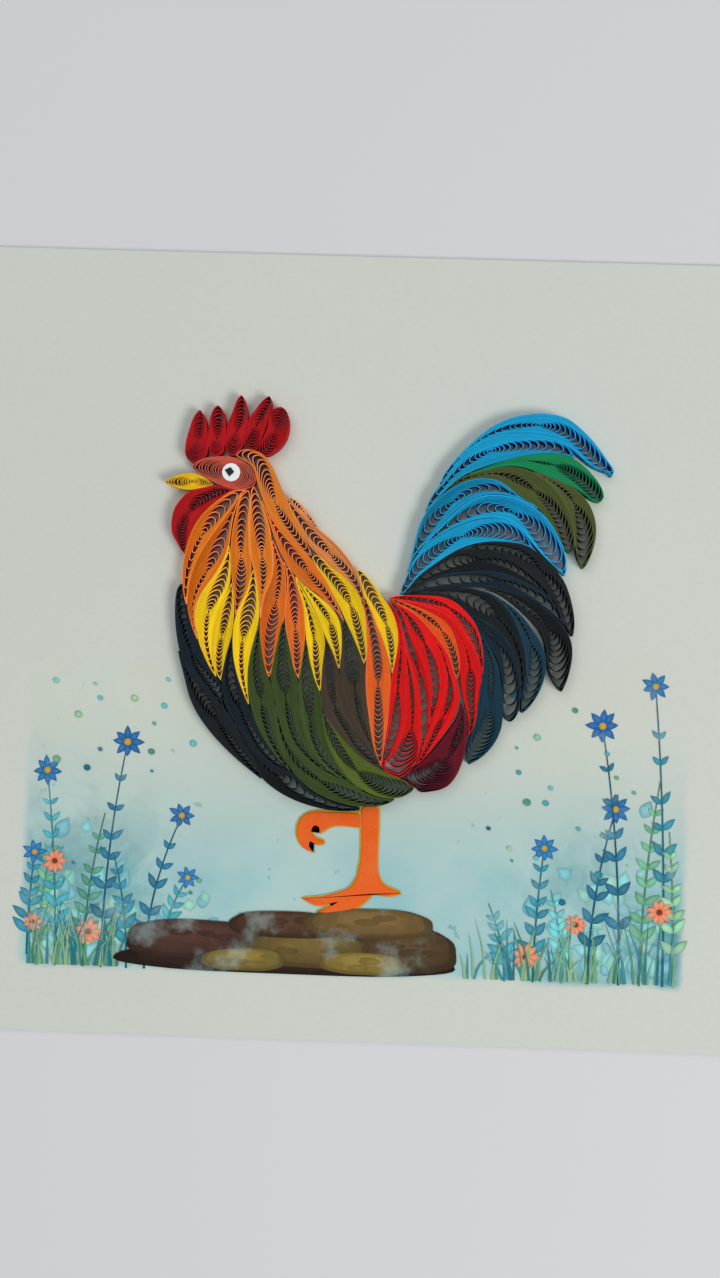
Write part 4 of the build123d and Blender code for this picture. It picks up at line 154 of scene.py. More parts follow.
         [(-12.61, 13.53), (-12.27, 12.90), (-12.06, 12.50), (-11.80, 12.04), (-11.51, 11.55), (-11.17, 11.00), (-10.79, 10.42), (-10.38, 9.79), (-9.96, 9.11), (-9.54, 8.38), (-9.12, 7.62), (-8.70, 6.81), (-8.29, 5.97), (-7.88, 5.11), (-7.49, 4.23), (-7.15, 3.32), (-6.88, 2.39), (-6.71, 1.44), (-6.67, 0.48), (-6.71, -0.45), (-6.81, -1.35), (-6.91, -2.22), (-6.98, -3.06), (-7.03, -3.85), (-7.06, -4.60), (-7.08, -5.30), (-7.10, -5.94), (-7.11, -6.52), (-7.13, -7.04), (-7.16, -7.50), (-7.22, -7.88), (-7.31, -8.19)],
         (-8.78, 1.92)),
        ([(-12.39, 13.39), (-11.89, 12.56), (-11.65, 12.20), (-11.39, 11.79), (-11.11, 11.34), (-10.81, 10.85), (-10.48, 10.32), (-10.14, 9.75), (-9.79, 9.15), (-9.44, 8.51), (-9.08, 7.85), (-8.72, 7.17), (-8.37, 6.46), (-8.02, 5.73), (-7.70, 4.99), (-7.39, 4.25), (-7.09, 3.50), (-6.78, 2.77), (-6.46, 2.07), (-6.12, 1.40), (-5.77, 0.76), (-5.45, 0.14), (-5.16, -0.46), (-4.91, -1.03), (-4.70, -1.56), (-4.51, -2.06), (-4.35, -2.52), (-4.20, -2.92), (-4.06, -3.27), (-3.91, -3.56), (-3.73, -3.76)],
         [(-12.39, 13.39), (-11.66, 12.63), (-11.31, 12.31), (-10.91, 11.97), (-10.46, 11.61), (-9.95, 11.24), (-9.40, 10.85), (-8.81, 10.43), (-8.19, 10.00), (-7.55, 9.53), (-6.91, 9.02), (-6.27, 8.46), (-5.65, 7.87), (-5.07, 7.22), (-4.57, 6.50), (-4.16, 5.72), (-3.85, 4.91), (-3.63, 4.08), (-3.49, 3.24), (-3.43, 2.42), (-3.40, 1.63), (-3.38, 0.88), (-3.38, 0.16), (-3.40, -0.52), (-3.44, -1.15), (-3.48, -1.73), (-3.53, -2.25), (-3.58, -2.72), (-3.61, -3.13), (-3.65, -3.48), (-3.73, -3.76)],
         (-5.81, 5.07)),
    ],
    "cape_5": [
        ([(-9.55, 17.41), (-9.28, 16.77), (-8.79, 15.95), (-8.09, 14.97), (-7.28, 13.81), (-6.41, 12.46), (-5.54, 10.95), (-4.67, 9.32), (-3.80, 7.63), (-2.96, 5.92), (-2.15, 4.27), (-1.36, 2.70), (-0.70, 1.25), (-0.13, -0.05), (0.33, -1.16), (0.68, -2.05), (1.01, -2.66)],
         [(-9.55, 17.41), (-8.89, 17.80), (-7.93, 17.41), (-6.95, 16.49), (-5.74, 15.46), (-4.27, 14.41), (-2.72, 13.19), (-1.31, 11.67), (-0.17, 9.87), (0.58, 7.88), (0.97, 5.83), (1.19, 3.88), (1.33, 2.08), (1.41, 0.49), (1.40, -0.86), (1.28, -1.93), (1.01, -2.66)],
         (-1.93, 8.45)),
    ],
    "cape_6": [
        ([(-1.07, 15.30), (-0.77, 14.73), (-0.47, 13.90), (-0.14, 12.87), (0.25, 11.62), (0.68, 10.19), (1.45, 8.77), (2.20, 7.23), (2.87, 5.61), (3.58, 4.00), (4.27, 2.43), (4.87, 0.93), (5.36, -0.47), (5.74, -1.72), (6.04, -2.79), (6.26, -3.65), (6.42, -4.28)],
         [(-1.07, 15.30), (-0.37, 15.14), (0.42, 14.63), (1.28, 13.77), (2.24, 12.71), (3.24, 11.46), (4.21, 9.99), (5.37, 8.56), (6.28, 6.89), (6.94, 5.09), (7.29, 3.28), (7.36, 1.53), (7.22, -0.08), (7.00, -1.49), (6.78, -2.67), (6.59, -3.61), (6.42, -4.28)],
         (4.96, 5.10)),
    ],
    "rust_feather": [
        ([(0.64, 9.11), (0.62, 8.32), (0.84, 7.00), (1.09, 5.33), (1.30, 3.35), (1.45, 1.10), (1.45, -1.37), (1.39, -3.97), (1.45, -6.64), (1.70, -9.30), (2.09, -11.87), (2.48, -14.31), (2.87, -16.53), (3.31, -18.47), (3.83, -20.06), (4.40, -21.29), (4.81, -22.18)],
         [(0.64, 9.11), (1.34, 8.84), (1.96, 7.65), (2.64, 6.01), (3.47, 4.12), (4.38, 1.99), (5.27, -0.39), (5.96, -2.98), (6.21, -5.72), (6.11, -8.51), (6.03, -11.19), (5.89, -13.72), (5.65, -16.04), (5.38, -18.09), (5.14, -19.81), (4.96, -21.18), (4.81, -22.18)],
         (3.85, -6.50)),
    ],
    "breast_olive_1": [
        ([(-19.30, 4.75), (-19.55, 3.84), (-19.84, 2.60), (-20.23, 1.01), (-20.68, -0.90), (-21.06, -3.08), (-21.21, -5.48), (-21.08, -8.01), (-20.67, -10.58), (-19.97, -13.10), (-19.00, -15.44), (-17.84, -17.55), (-16.60, -19.36), (-15.41, -20.88), (-14.32, -22.10), (-13.36, -23.00), (-12.65, -23.65)],
         [(-19.30, 4.75), (-19.25, 3.85), (-19.18, 2.62), (-19.02, 1.08), (-18.75, -0.73), (-18.32, -2.75), (-17.69, -4.92), (-16.85, -7.14), (-16.27, -9.50), (-15.81, -11.91), (-15.52, -14.29), (-15.16, -16.51), (-14.62, -18.50), (-14.02, -20.23), (-13.47, -21.68), (-12.99, -22.82), (-12.65, -23.65)],
         (-18.47, -10.46)),
    ],
    "breast_olive_2": [
        ([(-14.69, 4.88), (-15.04, 4.01), (-15.38, 2.65), (-15.68, 0.93), (-16.07, -1.08), (-16.42, -3.35), (-16.78, -5.85), (-16.40, -8.48), (-15.66, -11.10), (-14.85, -13.71), (-13.86, -16.18), (-12.59, -18.34), (-11.02, -20.00), (-9.46, -21.32), (-8.05, -22.30), (-6.84, -22.93), (-5.88, -23.28)],
         [(-14.69, 4.88), (-14.36, 4.31), (-14.14, 3.01), (-13.78, 1.41), (-13.34, -0.41), (-12.87, -2.50), (-12.17, -4.74), (-11.46, -7.04), (-11.55, -9.60), (-11.21, -12.11), (-10.90, -14.56), (-10.22, -16.80), (-9.32, -18.75), (-8.34, -20.37), (-7.39, -21.66), (-6.54, -22.62), (-5.88, -23.28)],
         (-13.87, -9.24)),
    ],
    "breast_olive_3": [
        ([(-10.44, 0.50), (-10.53, 0.05), (-10.61, -0.49), (-10.71, -1.12), (-10.81, -1.85), (-10.92, -2.67), (-11.05, -3.59), (-11.19, -4.59), (-11.30, -5.66), (-11.37, -6.80), (-11.40, -8.00), (-11.37, -9.25), (-11.30, -10.54), (-11.18, -11.88), (-11.00, -13.23), (-10.73, -14.59), (-10.37, -15.94), (-9.90, -17.26), (-9.34, -18.52), (-8.68, -19.71), (-7.92, -20.79), (-7.08, -21.76), (-6.17, -22.61), (-5.23, -23.35), (-4.28, -23.99), (-3.35, -24.55), (-2.46, -25.04), (-1.64, -25.47), (-0.90, -25.85), (-0.23, -26.17), (0.35, -26.45), (1.26, -26.89)],
         [(-10.44, 0.50), (-10.17, 0.63), (-9.97, 0.38), (-9.85, -0.23), (-9.71, -1.08), (-9.54, -1.99), (-9.32, -2.84), (-9.09, -3.68), (-8.82, -4.60), (-8.52, -5.62), (-8.11, -6.68), (-7.60, -7.76), (-7.18, -8.89), (-7.03, -10.15), (-6.82, -11.40), (-6.66, -12.67), (-6.48, -13.95), (-6.30, -15.25), (-6.03, -16.52), (-5.67, -17.74), (-5.23, -18.91), (-4.73, -20.02), (-4.18, -21.06), (-3.59, -22.01), (-2.97, -22.88), (-2.34, -23.66), (-1.72, -24.36), (-1.10, -24.96), (-0.52, -25.48), (0.01, -25.94), (0.50, -26.32), (1.26, -26.89)],
         (-9.06, -13.61)),
    ],
    "breast_olive_4": [
        ([(-15.72, -11.14), (-15.66, -12.22), (-15.59, -12.91), (-15.51, -13.69), (-15.40, -14.57), (-15.25, -15.53), (-15.05, -16.56), (-14.77, -17.66), (-14.43, -18.82), (-14.01, -20.02), (-13.51, -21.24), (-12.88, -22.46), (-12.07, -23.62), (-11.11, -24.69), (-10.07, -25.73), (-8.97, -26.70), (-7.74, -27.51), (-6.43, -28.16), (-5.10, -28.73), (-3.77, -29.20), (-2.44, -29.57), (-1.14, -29.84), (0.11, -30.01), (1.32, -30.09), (2.45, -30.10), (3.50, -30.04), (4.47, -29.91), (5.33, -29.72), (6.08, -29.48), (6.72, -29.21), (7.22, -28.90), (7.58, -28.57)],
         [(-15.72, -11.14), (-15.44, -12.05), (-15.26, -12.63), (-15.04, -13.30), (-14.79, -14.03), (-14.49, -14.84), (-14.14, -15.71), (-13.72, -16.62), (-13.20, -17.55), (-12.56, -18.47), (-11.79, -19.35), (-10.91, -20.18), (-9.96, -21.00), (-8.95, -21.77), (-7.87, -22.48), (-6.75, -23.14), (-5.60, -23.75), (-4.43, -24.30), (-3.27, -24.82), (-2.14, -25.36), (-1.06, -25.91), (-0.02, -26.45), (0.97, -26.98), (1.92, -27.45), (2.85, -27.84), (3.73, -28.14), (4.56, -28.34), (5.33, -28.48), (6.02, -28.55), (6.63, -28.59), (7.15, -28.59), (7.58, -28.57)],
         (-6.64, -25.41)),
    ],
    "breast_olive_5": [
        ([(-6.54, -12.48), (-6.52, -12.87), (-6.49, -13.33), (-6.44, -13.88), (-6.36, -14.50), (-6.25, -15.19), (-6.10, -15.95), (-5.90, -16.76), (-5.65, -17.62), (-5.32, -18.52), (-4.93, -19.45), (-4.47, -20.40), (-3.94, -21.35), (-3.32, -22.29), (-2.64, -23.20), (-1.89, -24.08), (-1.07, -24.92), (-0.19, -25.69), (0.74, -26.38), (1.72, -26.98), (2.72, -27.47), (3.74, -27.86), (4.75, -28.14), (5.75, -28.30), (6.70, -28.36), (7.60, -28.30), (8.42, -28.16), (9.16, -27.93), (9.79, -27.65), (10.33, -27.32), (10.76, -26.99), (11.07, -26.65), (11.28, -26.32)],
         [(-6.54, -12.48), (-6.35, -12.73), (-6.11, -13.04), (-5.83, -13.39), (-5.50, -13.79), (-5.14, -14.23), (-4.73, -14.72), (-4.29, -15.25), (-3.81, -15.81), (-3.29, -16.41), (-2.73, -17.02), (-2.15, -17.66), (-1.52, -18.31), (-0.87, -18.96), (-0.17, -19.60), (0.56, -20.21), (1.34, -20.78), (2.15, -21.30), (2.97, -21.78), (3.79, -22.25), (4.59, -22.70), (5.38, -23.14), (6.15, -23.54), (6.90, -23.89), (7.63, -24.17), (8.34, -24.40), (8.98, -24.65), (9.55, -24.93), (10.03, -25.25), (10.44, -25.56), (10.81, -25.81), (11.11, -26.05), (11.28, -26.32)],
         (0.25, -23.28)),
    ],
    "breast_brown_1": [
        ([(-6.66, 2.29), (-6.58, 1.37), (-6.62, 0.11), (-6.76, -1.45), (-6.94, -3.30), (-7.02, -5.41), (-7.08, -7.72), (-6.94, -10.10), (-6.30, -12.51), (-4.79, -14.48), (-3.16, -16.30), (-1.64, -18.04), (-0.12, -19.49), (1.38, -20.60), (2.72, -21.44), (3.82, -22.06), (4.63, -22.49)],
         [(-6.66, 2.29), (-6.26, 1.54), (-5.72, 0.53), (-5.08, -0.76), (-4.47, -2.36), (-3.85, -4.19), (-3.33, -6.23), (-2.70, -8.36), (-1.97, -10.54), (-1.09, -12.65), (-0.05, -14.61), (1.09, -16.39), (2.20, -17.98), (3.16, -19.40), (3.88, -20.64), (4.36, -21.69), (4.63, -22.49)],
         (-4.39, -10.90)),
    ],
    "breast_brown_2": [
        ([(-3.12, 5.45), (-3.31, 4.60), (-3.41, 3.41), (-3.35, 1.92), (-3.32, 0.16), (-3.43, -1.83), (-3.60, -4.00), (-3.25, -6.26), (-2.57, -8.53), (-1.81, -10.77), (-0.91, -12.88), (0.13, -14.79), (1.21, -16.46), (2.22, -17.91), (3.06, -19.14), (4.14, -20.90)],
         [(-3.12, 5.45), (-2.57, 4.80), (-1.97, 3.80), (-1.33, 2.49), (-0.62, 0.92), (0.15, -0.88), (0.91, -2.86), (1.33, -5.07), (1.44, -7.37), (1.69, -9.67), (2.03, -11.90), (2.36, -14.00), (2.69, -15.92), (3.04, -17.61), (3.42, -19.02), (4.14, -20.90)],
         (-0.63, -7.22)),
    ],
    "breast_dark_1": [
        ([(-34.54, 11.55), (-35.03, 10.92), (-35.40, 9.90), (-35.55, 8.54), (-35.58, 6.92), (-35.52, 5.09), (-35.34, 3.10), (-35.01, 1.02), (-34.54, -1.10), (-33.84, -3.15), (-32.63, -4.87), (-31.24, -6.31), (-29.91, -7.56), (-28.73, -8.67), (-27.75, -9.62), (-26.94, -10.36), (-26.27, -10.79)],
         [(-34.54, 11.55), (-34.34, 10.84), (-34.16, 9.83), (-33.91, 8.57), (-33.36, 7.17), (-32.91, 5.52), (-32.43, 3.71), (-31.72, 1.88), (-30.80, 0.07), (-30.03, -1.81), (-29.16, -3.58), (-28.15, -5.15), (-27.12, -6.51), (-26.33, -7.79), (-26.08, -9.03), (-26.15, -10.05), (-26.27, -10.79)],
         (-32.23, -1.50)),
    ],
    "breast_dark_2": [
        ([(-34.73, -1.39), (-34.38, -2.87), (-34.21, -3.52), (-34.01, -4.25), (-33.77, -5.05), (-33.52, -5.92), (-33.25, -6.86), (-32.98, -7.87), (-32.67, -8.92), (-32.32, -10.01), (-31.87, -11.10), (-31.33, -12.18), (-30.70, -13.24), (-30.00, -14.28), (-29.24, -15.30), (-28.45, -16.28), (-27.62, -17.23), (-26.77, -18.14), (-25.92, -19.00), (-25.06, -19.82), (-24.22, -20.59), (-23.39, -21.31), (-22.60, -21.98), (-21.84, -22.59), (-21.13, -23.15), (-20.47, -23.66), (-19.86, -24.12), (-19.32, -24.52), (-18.84, -24.87), (-18.43, -25.16), (-18.08, -25.39)],
         [(-34.73, -1.39), (-34.16, -2.79), (-33.84, -3.36), (-33.44, -3.97), (-32.95, -4.61), (-32.37, -5.27), (-31.70, -5.94), (-30.97, -6.64), (-30.19, -7.37), (-29.37, -8.13), (-28.53, -8.94), (-27.68, -9.78), (-26.86, -10.67), (-26.11, -11.64), (-25.40, -12.64), (-24.70, -13.65), (-24.04, -14.69), (-23.44, -15.74), (-22.88, -16.79), (-22.32, -17.80), (-21.75, -18.77), (-21.18, -19.66), (-20.61, -20.51), (-20.08, -21.29), (-19.60, -22.03), (-19.18, -22.73), (-18.86, -23.39), (-18.57, -23.98), (-18.35, -24.51), (-18.18, -24.98), (-18.08, -25.39)],
         (-26.65, -14.74)),
    ],
    "breast_dark_3": [
        ([(-24.66, 1.42), (-24.77, 1.01), (-24.88, 0.51), (-25.02, -0.07), (-25.18, -0.73), (-25.35, -1.47), (-25.53, -2.29), (-25.72, -3.19), (-25.91, -4.15), (-26.09, -5.17), (-26.17, -6.27), (-26.16, -7.42), (-26.02, -8.59), (-25.71, -9.78), (-25.29, -10.95), (-24.79, -12.11), (-24.19, -13.23), (-23.49, -14.30), (-22.76, -15.33), (-22.02, -16.33), (-21.31, -17.33), (-20.61, -18.29), (-19.90, -19.19), (-19.17, -20.00), (-18.42, -20.73), (-17.67, -21.36), (-16.93, -21.89), (-16.23, -22.35), (-15.57, -22.73), (-14.96, -23.03), (-14.41, -23.26), (-13.92, -23.41), (-13.50, -23.45)],
         [(-24.66, 1.42), (-24.58, 1.04), (-24.52, 0.58), (-24.45, 0.04), (-24.38, -0.58), (-24.29, -1.26), (-24.20, -2.02), (-24.07, -2.85), (-23.88, -3.72), (-23.65, -4.64), (-23.37, -5.60), (-23.03, -6.59), (-22.65, -7.61), (-22.23, -8.63), (-21.77, -9.67), (-21.28, -10.72), (-20.76, -11.76), (-20.25, -12.80), (-19.78, -13.85), (-19.32, -14.89), (-18.84, -15.89), (-18.33, -16.85), (-17.79, -17.75), (-17.24, -18.58), (-16.69, -19.36), (-16.15, -20.07), (-15.63, -20.71), (-15.13, -21.30), (-14.69, -21.83), (-14.30, -22.31), (-13.95, -22.73), (-13.67, -23.10), (-13.50, -23.45)],
         (-22.51, -12.12)),
    ],
    "breast_dark_4": [
        ([(-26.13, -10.38), (-26.12, -10.77), (-26.00, -11.41), (-25.71, -12.10), (-25.24, -12.78), (-24.69, -13.56), (-24.12, -14.45), (-23.55, -15.43), (-22.98, -16.49), (-22.36, -17.62), (-21.67, -18.79), (-20.90, -19.98), (-20.07, -21.20), (-19.25, -22.48), (-18.57, -23.86), (-17.84, -25.24), (-16.71, -26.32), (-15.43, -27.25), (-14.08, -28.07), (-12.70, -28.77), (-11.30, -29.36), (-9.92, -29.83), (-8.56, -30.22), (-7.23, -30.54), (-5.96, -30.79), (-4.75, -30.96), (-3.63, -31.07), (-2.59, -31.11), (-1.65, -31.09), (-0.81, -31.04), (-0.08, -30.95), (0.55, -30.85), (1.01, -30.73)],
         [(-26.13, -10.38), (-25.74, -10.23), (-25.47, -10.61), (-25.21, -11.33), (-24.88, -12.09), (-24.46, -12.88), (-23.96, -13.71), (-23.37, -14.58), (-22.69, -15.51), (-21.96, -16.51), (-21.20, -17.57), (-20.40, -18.66), (-19.52, -19.74), (-18.50, -20.75), (-17.36, -21.68), (-16.10, -22.50), (-14.80, -23.26), (-13.37, -23.66), (-11.94, -24.01), (-10.88, -24.99), (-9.99, -26.16), (-8.96, -27.11), (-7.80, -27.82), (-6.62, -28.40), (-5.50, -28.90), (-4.42, -29.33), (-3.41, -29.67), (-2.46, -29.94), (-1.58, -30.12), (-0.78, -30.25), (-0.08, -30.38), (0.50, -30.54), (1.01, -30.73)],
         (-15.23, -24.53)),
    ],
    "saddle_1": [
        ([(5.53, 10.08), (6.29, 9.95), (7.32, 9.76), (8.61, 9.52), (10.12, 9.19), (11.82, 8.78), (13.68, 8.28), (15.59, 7.61), (17.32, 6.51), (18.82, 5.06), (20.13, 3.52), (21.22, 1.94), (22.09, 0.42), (22.74, -0.98), (23.21, -2.21), (23.50, -3.21), (23.67, -3.97)],
         [(5.53, 10.08), (6.38, 10.31), (7.54, 10.53), (9.02, 10.68), (10.78, 10.74), (12.78, 10.72), (14.97, 10.60), (17.16, 10.06), (19.14, 8.80), (20.85, 7.10), (22.20, 5.27), (22.99, 3.27), (23.43, 1.32), (23.70, -0.43), (23.80, -1.91), (23.77, -3.10), (23.67, -3.97)],
         (16.88, 8.56)),
    ],
    "saddle_2": [
        ([(7.27, 9.70), (9.54, 8.97), (11.18, 8.47), (13.11, 7.81), (15.17, 6.78), (17.04, 5.13), (18.42, 2.87), (19.16, 0.23), (19.42, -2.48), (19.55, -5.13), (19.93, -7.60), (20.51, -9.83), (21.05, -11.80), (21.37, -13.49), (21.46, -14.86), (21.40, -15.88)],
         [(7.27, 9.70), (9.78, 9.22), (11.59, 8.77), (13.71, 8.16), (16.04, 7.30), (18.16, 5.65), (20.09, 3.49), (21.68, 1.05), (22.95, -1.63), (23.59, -4.39), (23.25, -7.05), (22.99, -9.55), (22.82, -11.75), (22.49, -13.56), (21.98, -14.93), (21.40, -15.88)],
         (21.25, -2.64)),
    ],
    "saddle_3": [
        ([(5.73, 9.78), (6.24, 9.42), (6.98, 9.00), (7.94, 8.51), (9.07, 7.91), (10.28, 7.13), (11.49, 6.14), (12.67, 4.97), (13.83, 3.71), (14.97, 2.43), (16.01, 1.13), (16.82, -0.20), (17.40, -1.51), (17.83, -2.72), (18.21, -3.73), (18.55, -4.52), (18.84, -5.08)],
         [(5.73, 9.78), (6.45, 9.77), (7.40, 9.60), (8.53, 9.23), (9.90, 8.80), (11.45, 8.29), (13.14, 7.64), (14.84, 6.79), (16.39, 5.67), (17.59, 4.22), (18.39, 2.51), (18.90, 0.76), (19.22, -0.85), (19.36, -2.28), (19.34, -3.47), (19.14, -4.41), (18.84, -5.08)],
         (15.62, 4.21)),
    ],
    "saddle_4": [
        ([(6.91, 8.92), (9.09, 7.58), (10.52, 6.43), (12.03, 4.90), (13.49, 2.95), (14.76, 0.59), (15.66, -2.10), (16.08, -4.97), (15.90, -7.84), (15.16, -10.56), (14.26, -13.09), (13.61, -15.45), (13.11, -17.55), (12.54, -19.29), (12.06, -20.68), (11.70, -21.68)],
         [(6.91, 8.92), (9.36, 7.63), (10.99, 6.45), (12.70, 4.82), (14.48, 2.81), (16.33, 0.56), (17.60, -2.27), (18.77, -5.22), (19.45, -8.25), (18.96, -11.33), (17.77, -13.99), (16.27, -16.22), (14.85, -18.11), (13.65, -19.73), (12.62, -20.95), (11.70, -21.68)],
         (16.57, -12.24)),
    ],
    "saddle_5": [
        ([(6.04, 9.18), (6.69, 8.73), (7.46, 8.00), (8.18, 6.92), (8.80, 5.49), (9.47, 3.84), (10.30, 2.11), (11.24, 0.31), (12.13, -1.59), (12.88, -3.55), (13.48, -5.50), (13.83, -7.38), (13.94, -9.14), (13.93, -10.71), (13.88, -12.03), (13.85, -13.09), (13.85, -13.85)],
         [(6.04, 9.18), (6.82, 8.86), (7.85, 8.32), (9.05, 7.54), (10.39, 6.48), (11.76, 5.12), (13.07, 3.46), (14.23, 1.55), (15.14, -0.57), (15.74, -2.79), (16.02, -5.00), (15.94, -7.10), (15.59, -9.00), (15.07, -10.63), (14.56, -11.99), (14.14, -13.07), (13.85, -13.85)],
         (12.50, 1.62)),
    ],
    "saddle_6": [
        ([(6.75, 7.96), (7.02, 7.15), (7.41, 6.06), (7.86, 4.67), (8.25, 3.00), (8.68, 1.12), (9.27, -0.93), (10.03, -3.05), (10.78, -5.23), (11.35, -7.45), (11.71, -9.66), (11.95, -11.77), (12.12, -13.71), (12.27, -15.44), (12.37, -16.89), (12.49, -18.04), (12.62, -18.86)],
         [(6.75, 7.96), (7.52, 7.83), (8.16, 6.82), (8.77, 5.39), (9.46, 3.72), (10.36, 1.88), (11.38, -0.10), (12.34, -2.26), (13.16, -4.56), (13.71, -6.92), (13.88, -9.26), (13.84, -11.51), (13.75, -13.56), (13.57, -15.35), (13.23, -16.85), (12.90, -18.03), (12.62, -18.86)],
         (11.38, -3.49)),
    ],
    "saddle_7": [
        ([(8.63, 1.10), (8.85, -0.94), (8.97, -2.42), (9.08, -4.17), (9.16, -6.16), (9.24, -8.32), (9.25, -10.61), (9.08, -12.96), (8.60, -15.26), (7.81, -17.41), (6.94, -19.39), (5.91, -21.09), (5.40, -22.69), (6.51, -23.65), (7.60, -24.11), (8.43, -24.36)],
         [(8.63, 1.10), (9.18, -0.81), (9.65, -2.18), (10.23, -3.78), (10.83, -5.62), (11.32, -7.66), (11.68, -9.86), (11.92, -12.13), (12.12, -14.41), (12.29, -16.63), (12.24, -18.73), (11.77, -20.60), (10.97, -22.10), (10.04, -23.20), (9.15, -23.93), (8.43, -24.36)],
         (10.52, -14.72)),
    ],
    "saddle_8": [
        ([(5.26, 9.54), (5.57, 8.60), (6.14, 7.35), (6.79, 5.75), (7.28, 3.80), (7.42, 1.52), (7.15, -0.96), (6.67, -3.55), (6.24, -6.21), (6.16, -8.93), (6.08, -11.56), (5.92, -14.05), (5.68, -16.32), (5.41, -18.33), (5.17, -20.02), (5.04, -21.37), (5.01, -22.37)],
         [(5.26, 9.54), (5.86, 8.69), (6.60, 7.47), (7.34, 5.87), (7.99, 3.89), (8.49, 1.58), (8.79, -0.98), (8.99, -3.69), (9.12, -6.50), (9.21, -9.32), (9.12, -12.05), (8.73, -14.57), (7.99, -16.82), (7.16, -18.77), (6.33, -20.33), (5.59, -21.52), (5.01, -22.37)],
         (7.61, -7.53)),
    ],
    "thigh": [
        ([(19.94, -9.73), (19.88, -10.43), (19.81, -10.86), (19.69, -11.34), (19.52, -11.86), (19.29, -12.42), (19.01, -13.01), (18.66, -13.62), (18.26, -14.26), (17.81, -14.91), (17.32, -15.60), (16.81, -16.30), (16.28, -17.01), (15.73, -17.73), (15.16, -18.46), (14.58, -19.17), (13.98, -19.86), (13.37, -20.53), (12.76, -21.17), (12.13, -21.77), (11.45, -22.33), (10.70, -22.84), (9.99, -23.34), (9.51, -23.88), (9.53, -24.53), (9.94, -25.11), (10.58, -25.59), (11.10, -25.93), (11.44, -26.17), (11.70, -26.34), (11.82, -26.48), (11.95, -26.65)],
         [(19.94, -9.73), (20.18, -10.40), (20.34, -10.83), (20.49, -11.32), (20.65, -11.88), (20.79, -12.50), (20.91, -13.17), (21.02, -13.90), (21.09, -14.68), (21.12, -15.50), (21.11, -16.36), (21.05, -17.25), (20.95, -18.16), (20.80, -19.09), (20.60, -20.03), (20.35, -20.97), (20.05, -21.89), (19.70, -22.78), (19.29, -23.62), (18.80, -24.40), (18.25, -25.09), (17.62, -25.67), (16.92, -26.09), (16.18, -26.39), (15.45, -26.59), (14.76, -26.74), (14.13, -26.85), (13.59, -26.93), (13.11, -26.99), (12.69, -26.97), (12.30, -26.85), (11.95, -26.65)],
         (17.78, -20.11)),
    ],
    "tail_blue_1": [
        ([(14.67, 32.49), (15.46, 33.35), (16.40, 34.65), (17.60, 36.27), (19.17, 38.06), (21.34, 39.63), (24.02, 40.84), (27.02, 41.57), (30.21, 41.74), (33.40, 41.60), (36.45, 41.07), (39.09, 39.81), (41.20, 38.13), (43.07, 36.67), (44.89, 35.81), (46.43, 35.38), (47.30, 34.61)],
         [(14.67, 32.49), (15.10, 33.77), (16.06, 35.36), (17.50, 37.19), (19.35, 39.24), (21.57, 41.43), (24.25, 43.52), (27.46, 45.11), (31.05, 45.97), (34.73, 46.14), (38.24, 45.41), (41.02, 43.49), (43.27, 41.33), (45.02, 39.20), (46.41, 37.33), (47.49, 35.82), (47.30, 34.61)],
         (33.13, 43.94)),
    ],
    "tail_blue_2": [
        ([(12.08, 27.19), (12.75, 27.89), (13.64, 28.87), (14.75, 30.12), (16.07, 31.58), (17.69, 33.10), (19.70, 34.40), (22.04, 35.47), (24.54, 36.37), (27.04, 37.17), (29.50, 37.85), (31.87, 38.33), (34.09, 38.59), (36.07, 38.63), (37.72, 38.48), (39.00, 38.20), (39.91, 37.85)],
         [(12.08, 27.19), (12.32, 28.29), (12.92, 29.68), (13.96, 31.27), (15.31, 33.04), (16.80, 35.12), (18.54, 37.32), (20.75, 39.20), (23.46, 40.56), (26.36, 41.41), (29.25, 41.67), (32.04, 41.64), (34.61, 41.41), (36.78, 40.89), (38.43, 40.07), (39.46, 38.92), (39.91, 37.85)],
         (23.91, 38.76)),
    ],
    "tail_green": [
        ([(20.10, 34.34), (20.90, 34.50), (21.99, 34.78), (23.35, 35.16), (24.96, 35.60), (26.80, 35.96), (28.85, 36.05), (31.00, 35.70), (33.10, 34.97), (35.20, 34.20), (37.25, 33.47), (39.16, 32.71), (40.83, 31.86), (42.22, 30.93), (43.39, 30.15), (44.41, 29.73), (45.25, 29.66)],
         [(20.10, 34.34), (20.98, 34.70), (22.19, 35.20), (23.71, 35.83), (25.53, 36.55), (27.61, 37.27), (29.91, 37.88), (32.38, 38.31), (35.00, 38.52), (37.64, 38.41), (39.98, 37.60), (41.94, 36.26), (43.54, 34.70), (44.79, 33.15), (45.54, 31.72), (45.74, 30.48), (45.25, 29.66)],
         (36.11, 36.46)),
    ],
    "tail_olive": [
        ([(32.34, 35.01), (32.91, 34.66), (33.70, 34.18), (34.65, 33.53), (35.69, 32.67), (36.75, 31.58), (37.76, 30.26), (38.66, 28.75), (39.39, 27.11), (39.92, 25.39), (40.30, 23.66), (40.54, 22.00), (40.81, 20.50), (41.15, 19.20), (41.54, 18.15), (41.97, 17.35), (42.37, 16.81)],
         [(32.34, 35.01), (33.10, 34.81), (34.12, 34.48), (35.38, 34.02), (36.88, 33.49), (38.57, 32.88), (40.29, 31.95), (41.86, 30.59), (43.15, 28.89), (44.04, 26.95), (44.48, 24.93), (44.51, 22.97), (44.22, 21.19), (43.81, 19.64), (43.34, 18.38), (42.84, 17.44), (42.37, 16.81)],
         (40.24, 29.12)),
        ([(16.35, 31.67), (17.16, 32.05), (18.30, 32.53), (19.79, 33.02), (21.59, 33.44), (23.67, 33.59), (25.82, 33.06), (27.87, 31.81), (29.87, 30.35), (32.01, 29.09), (33.86, 27.59), (35.38, 25.89), (36.63, 24.20), (37.54, 22.57), (38.24, 21.19), (38.96, 20.24), (39.72, 19.72)],
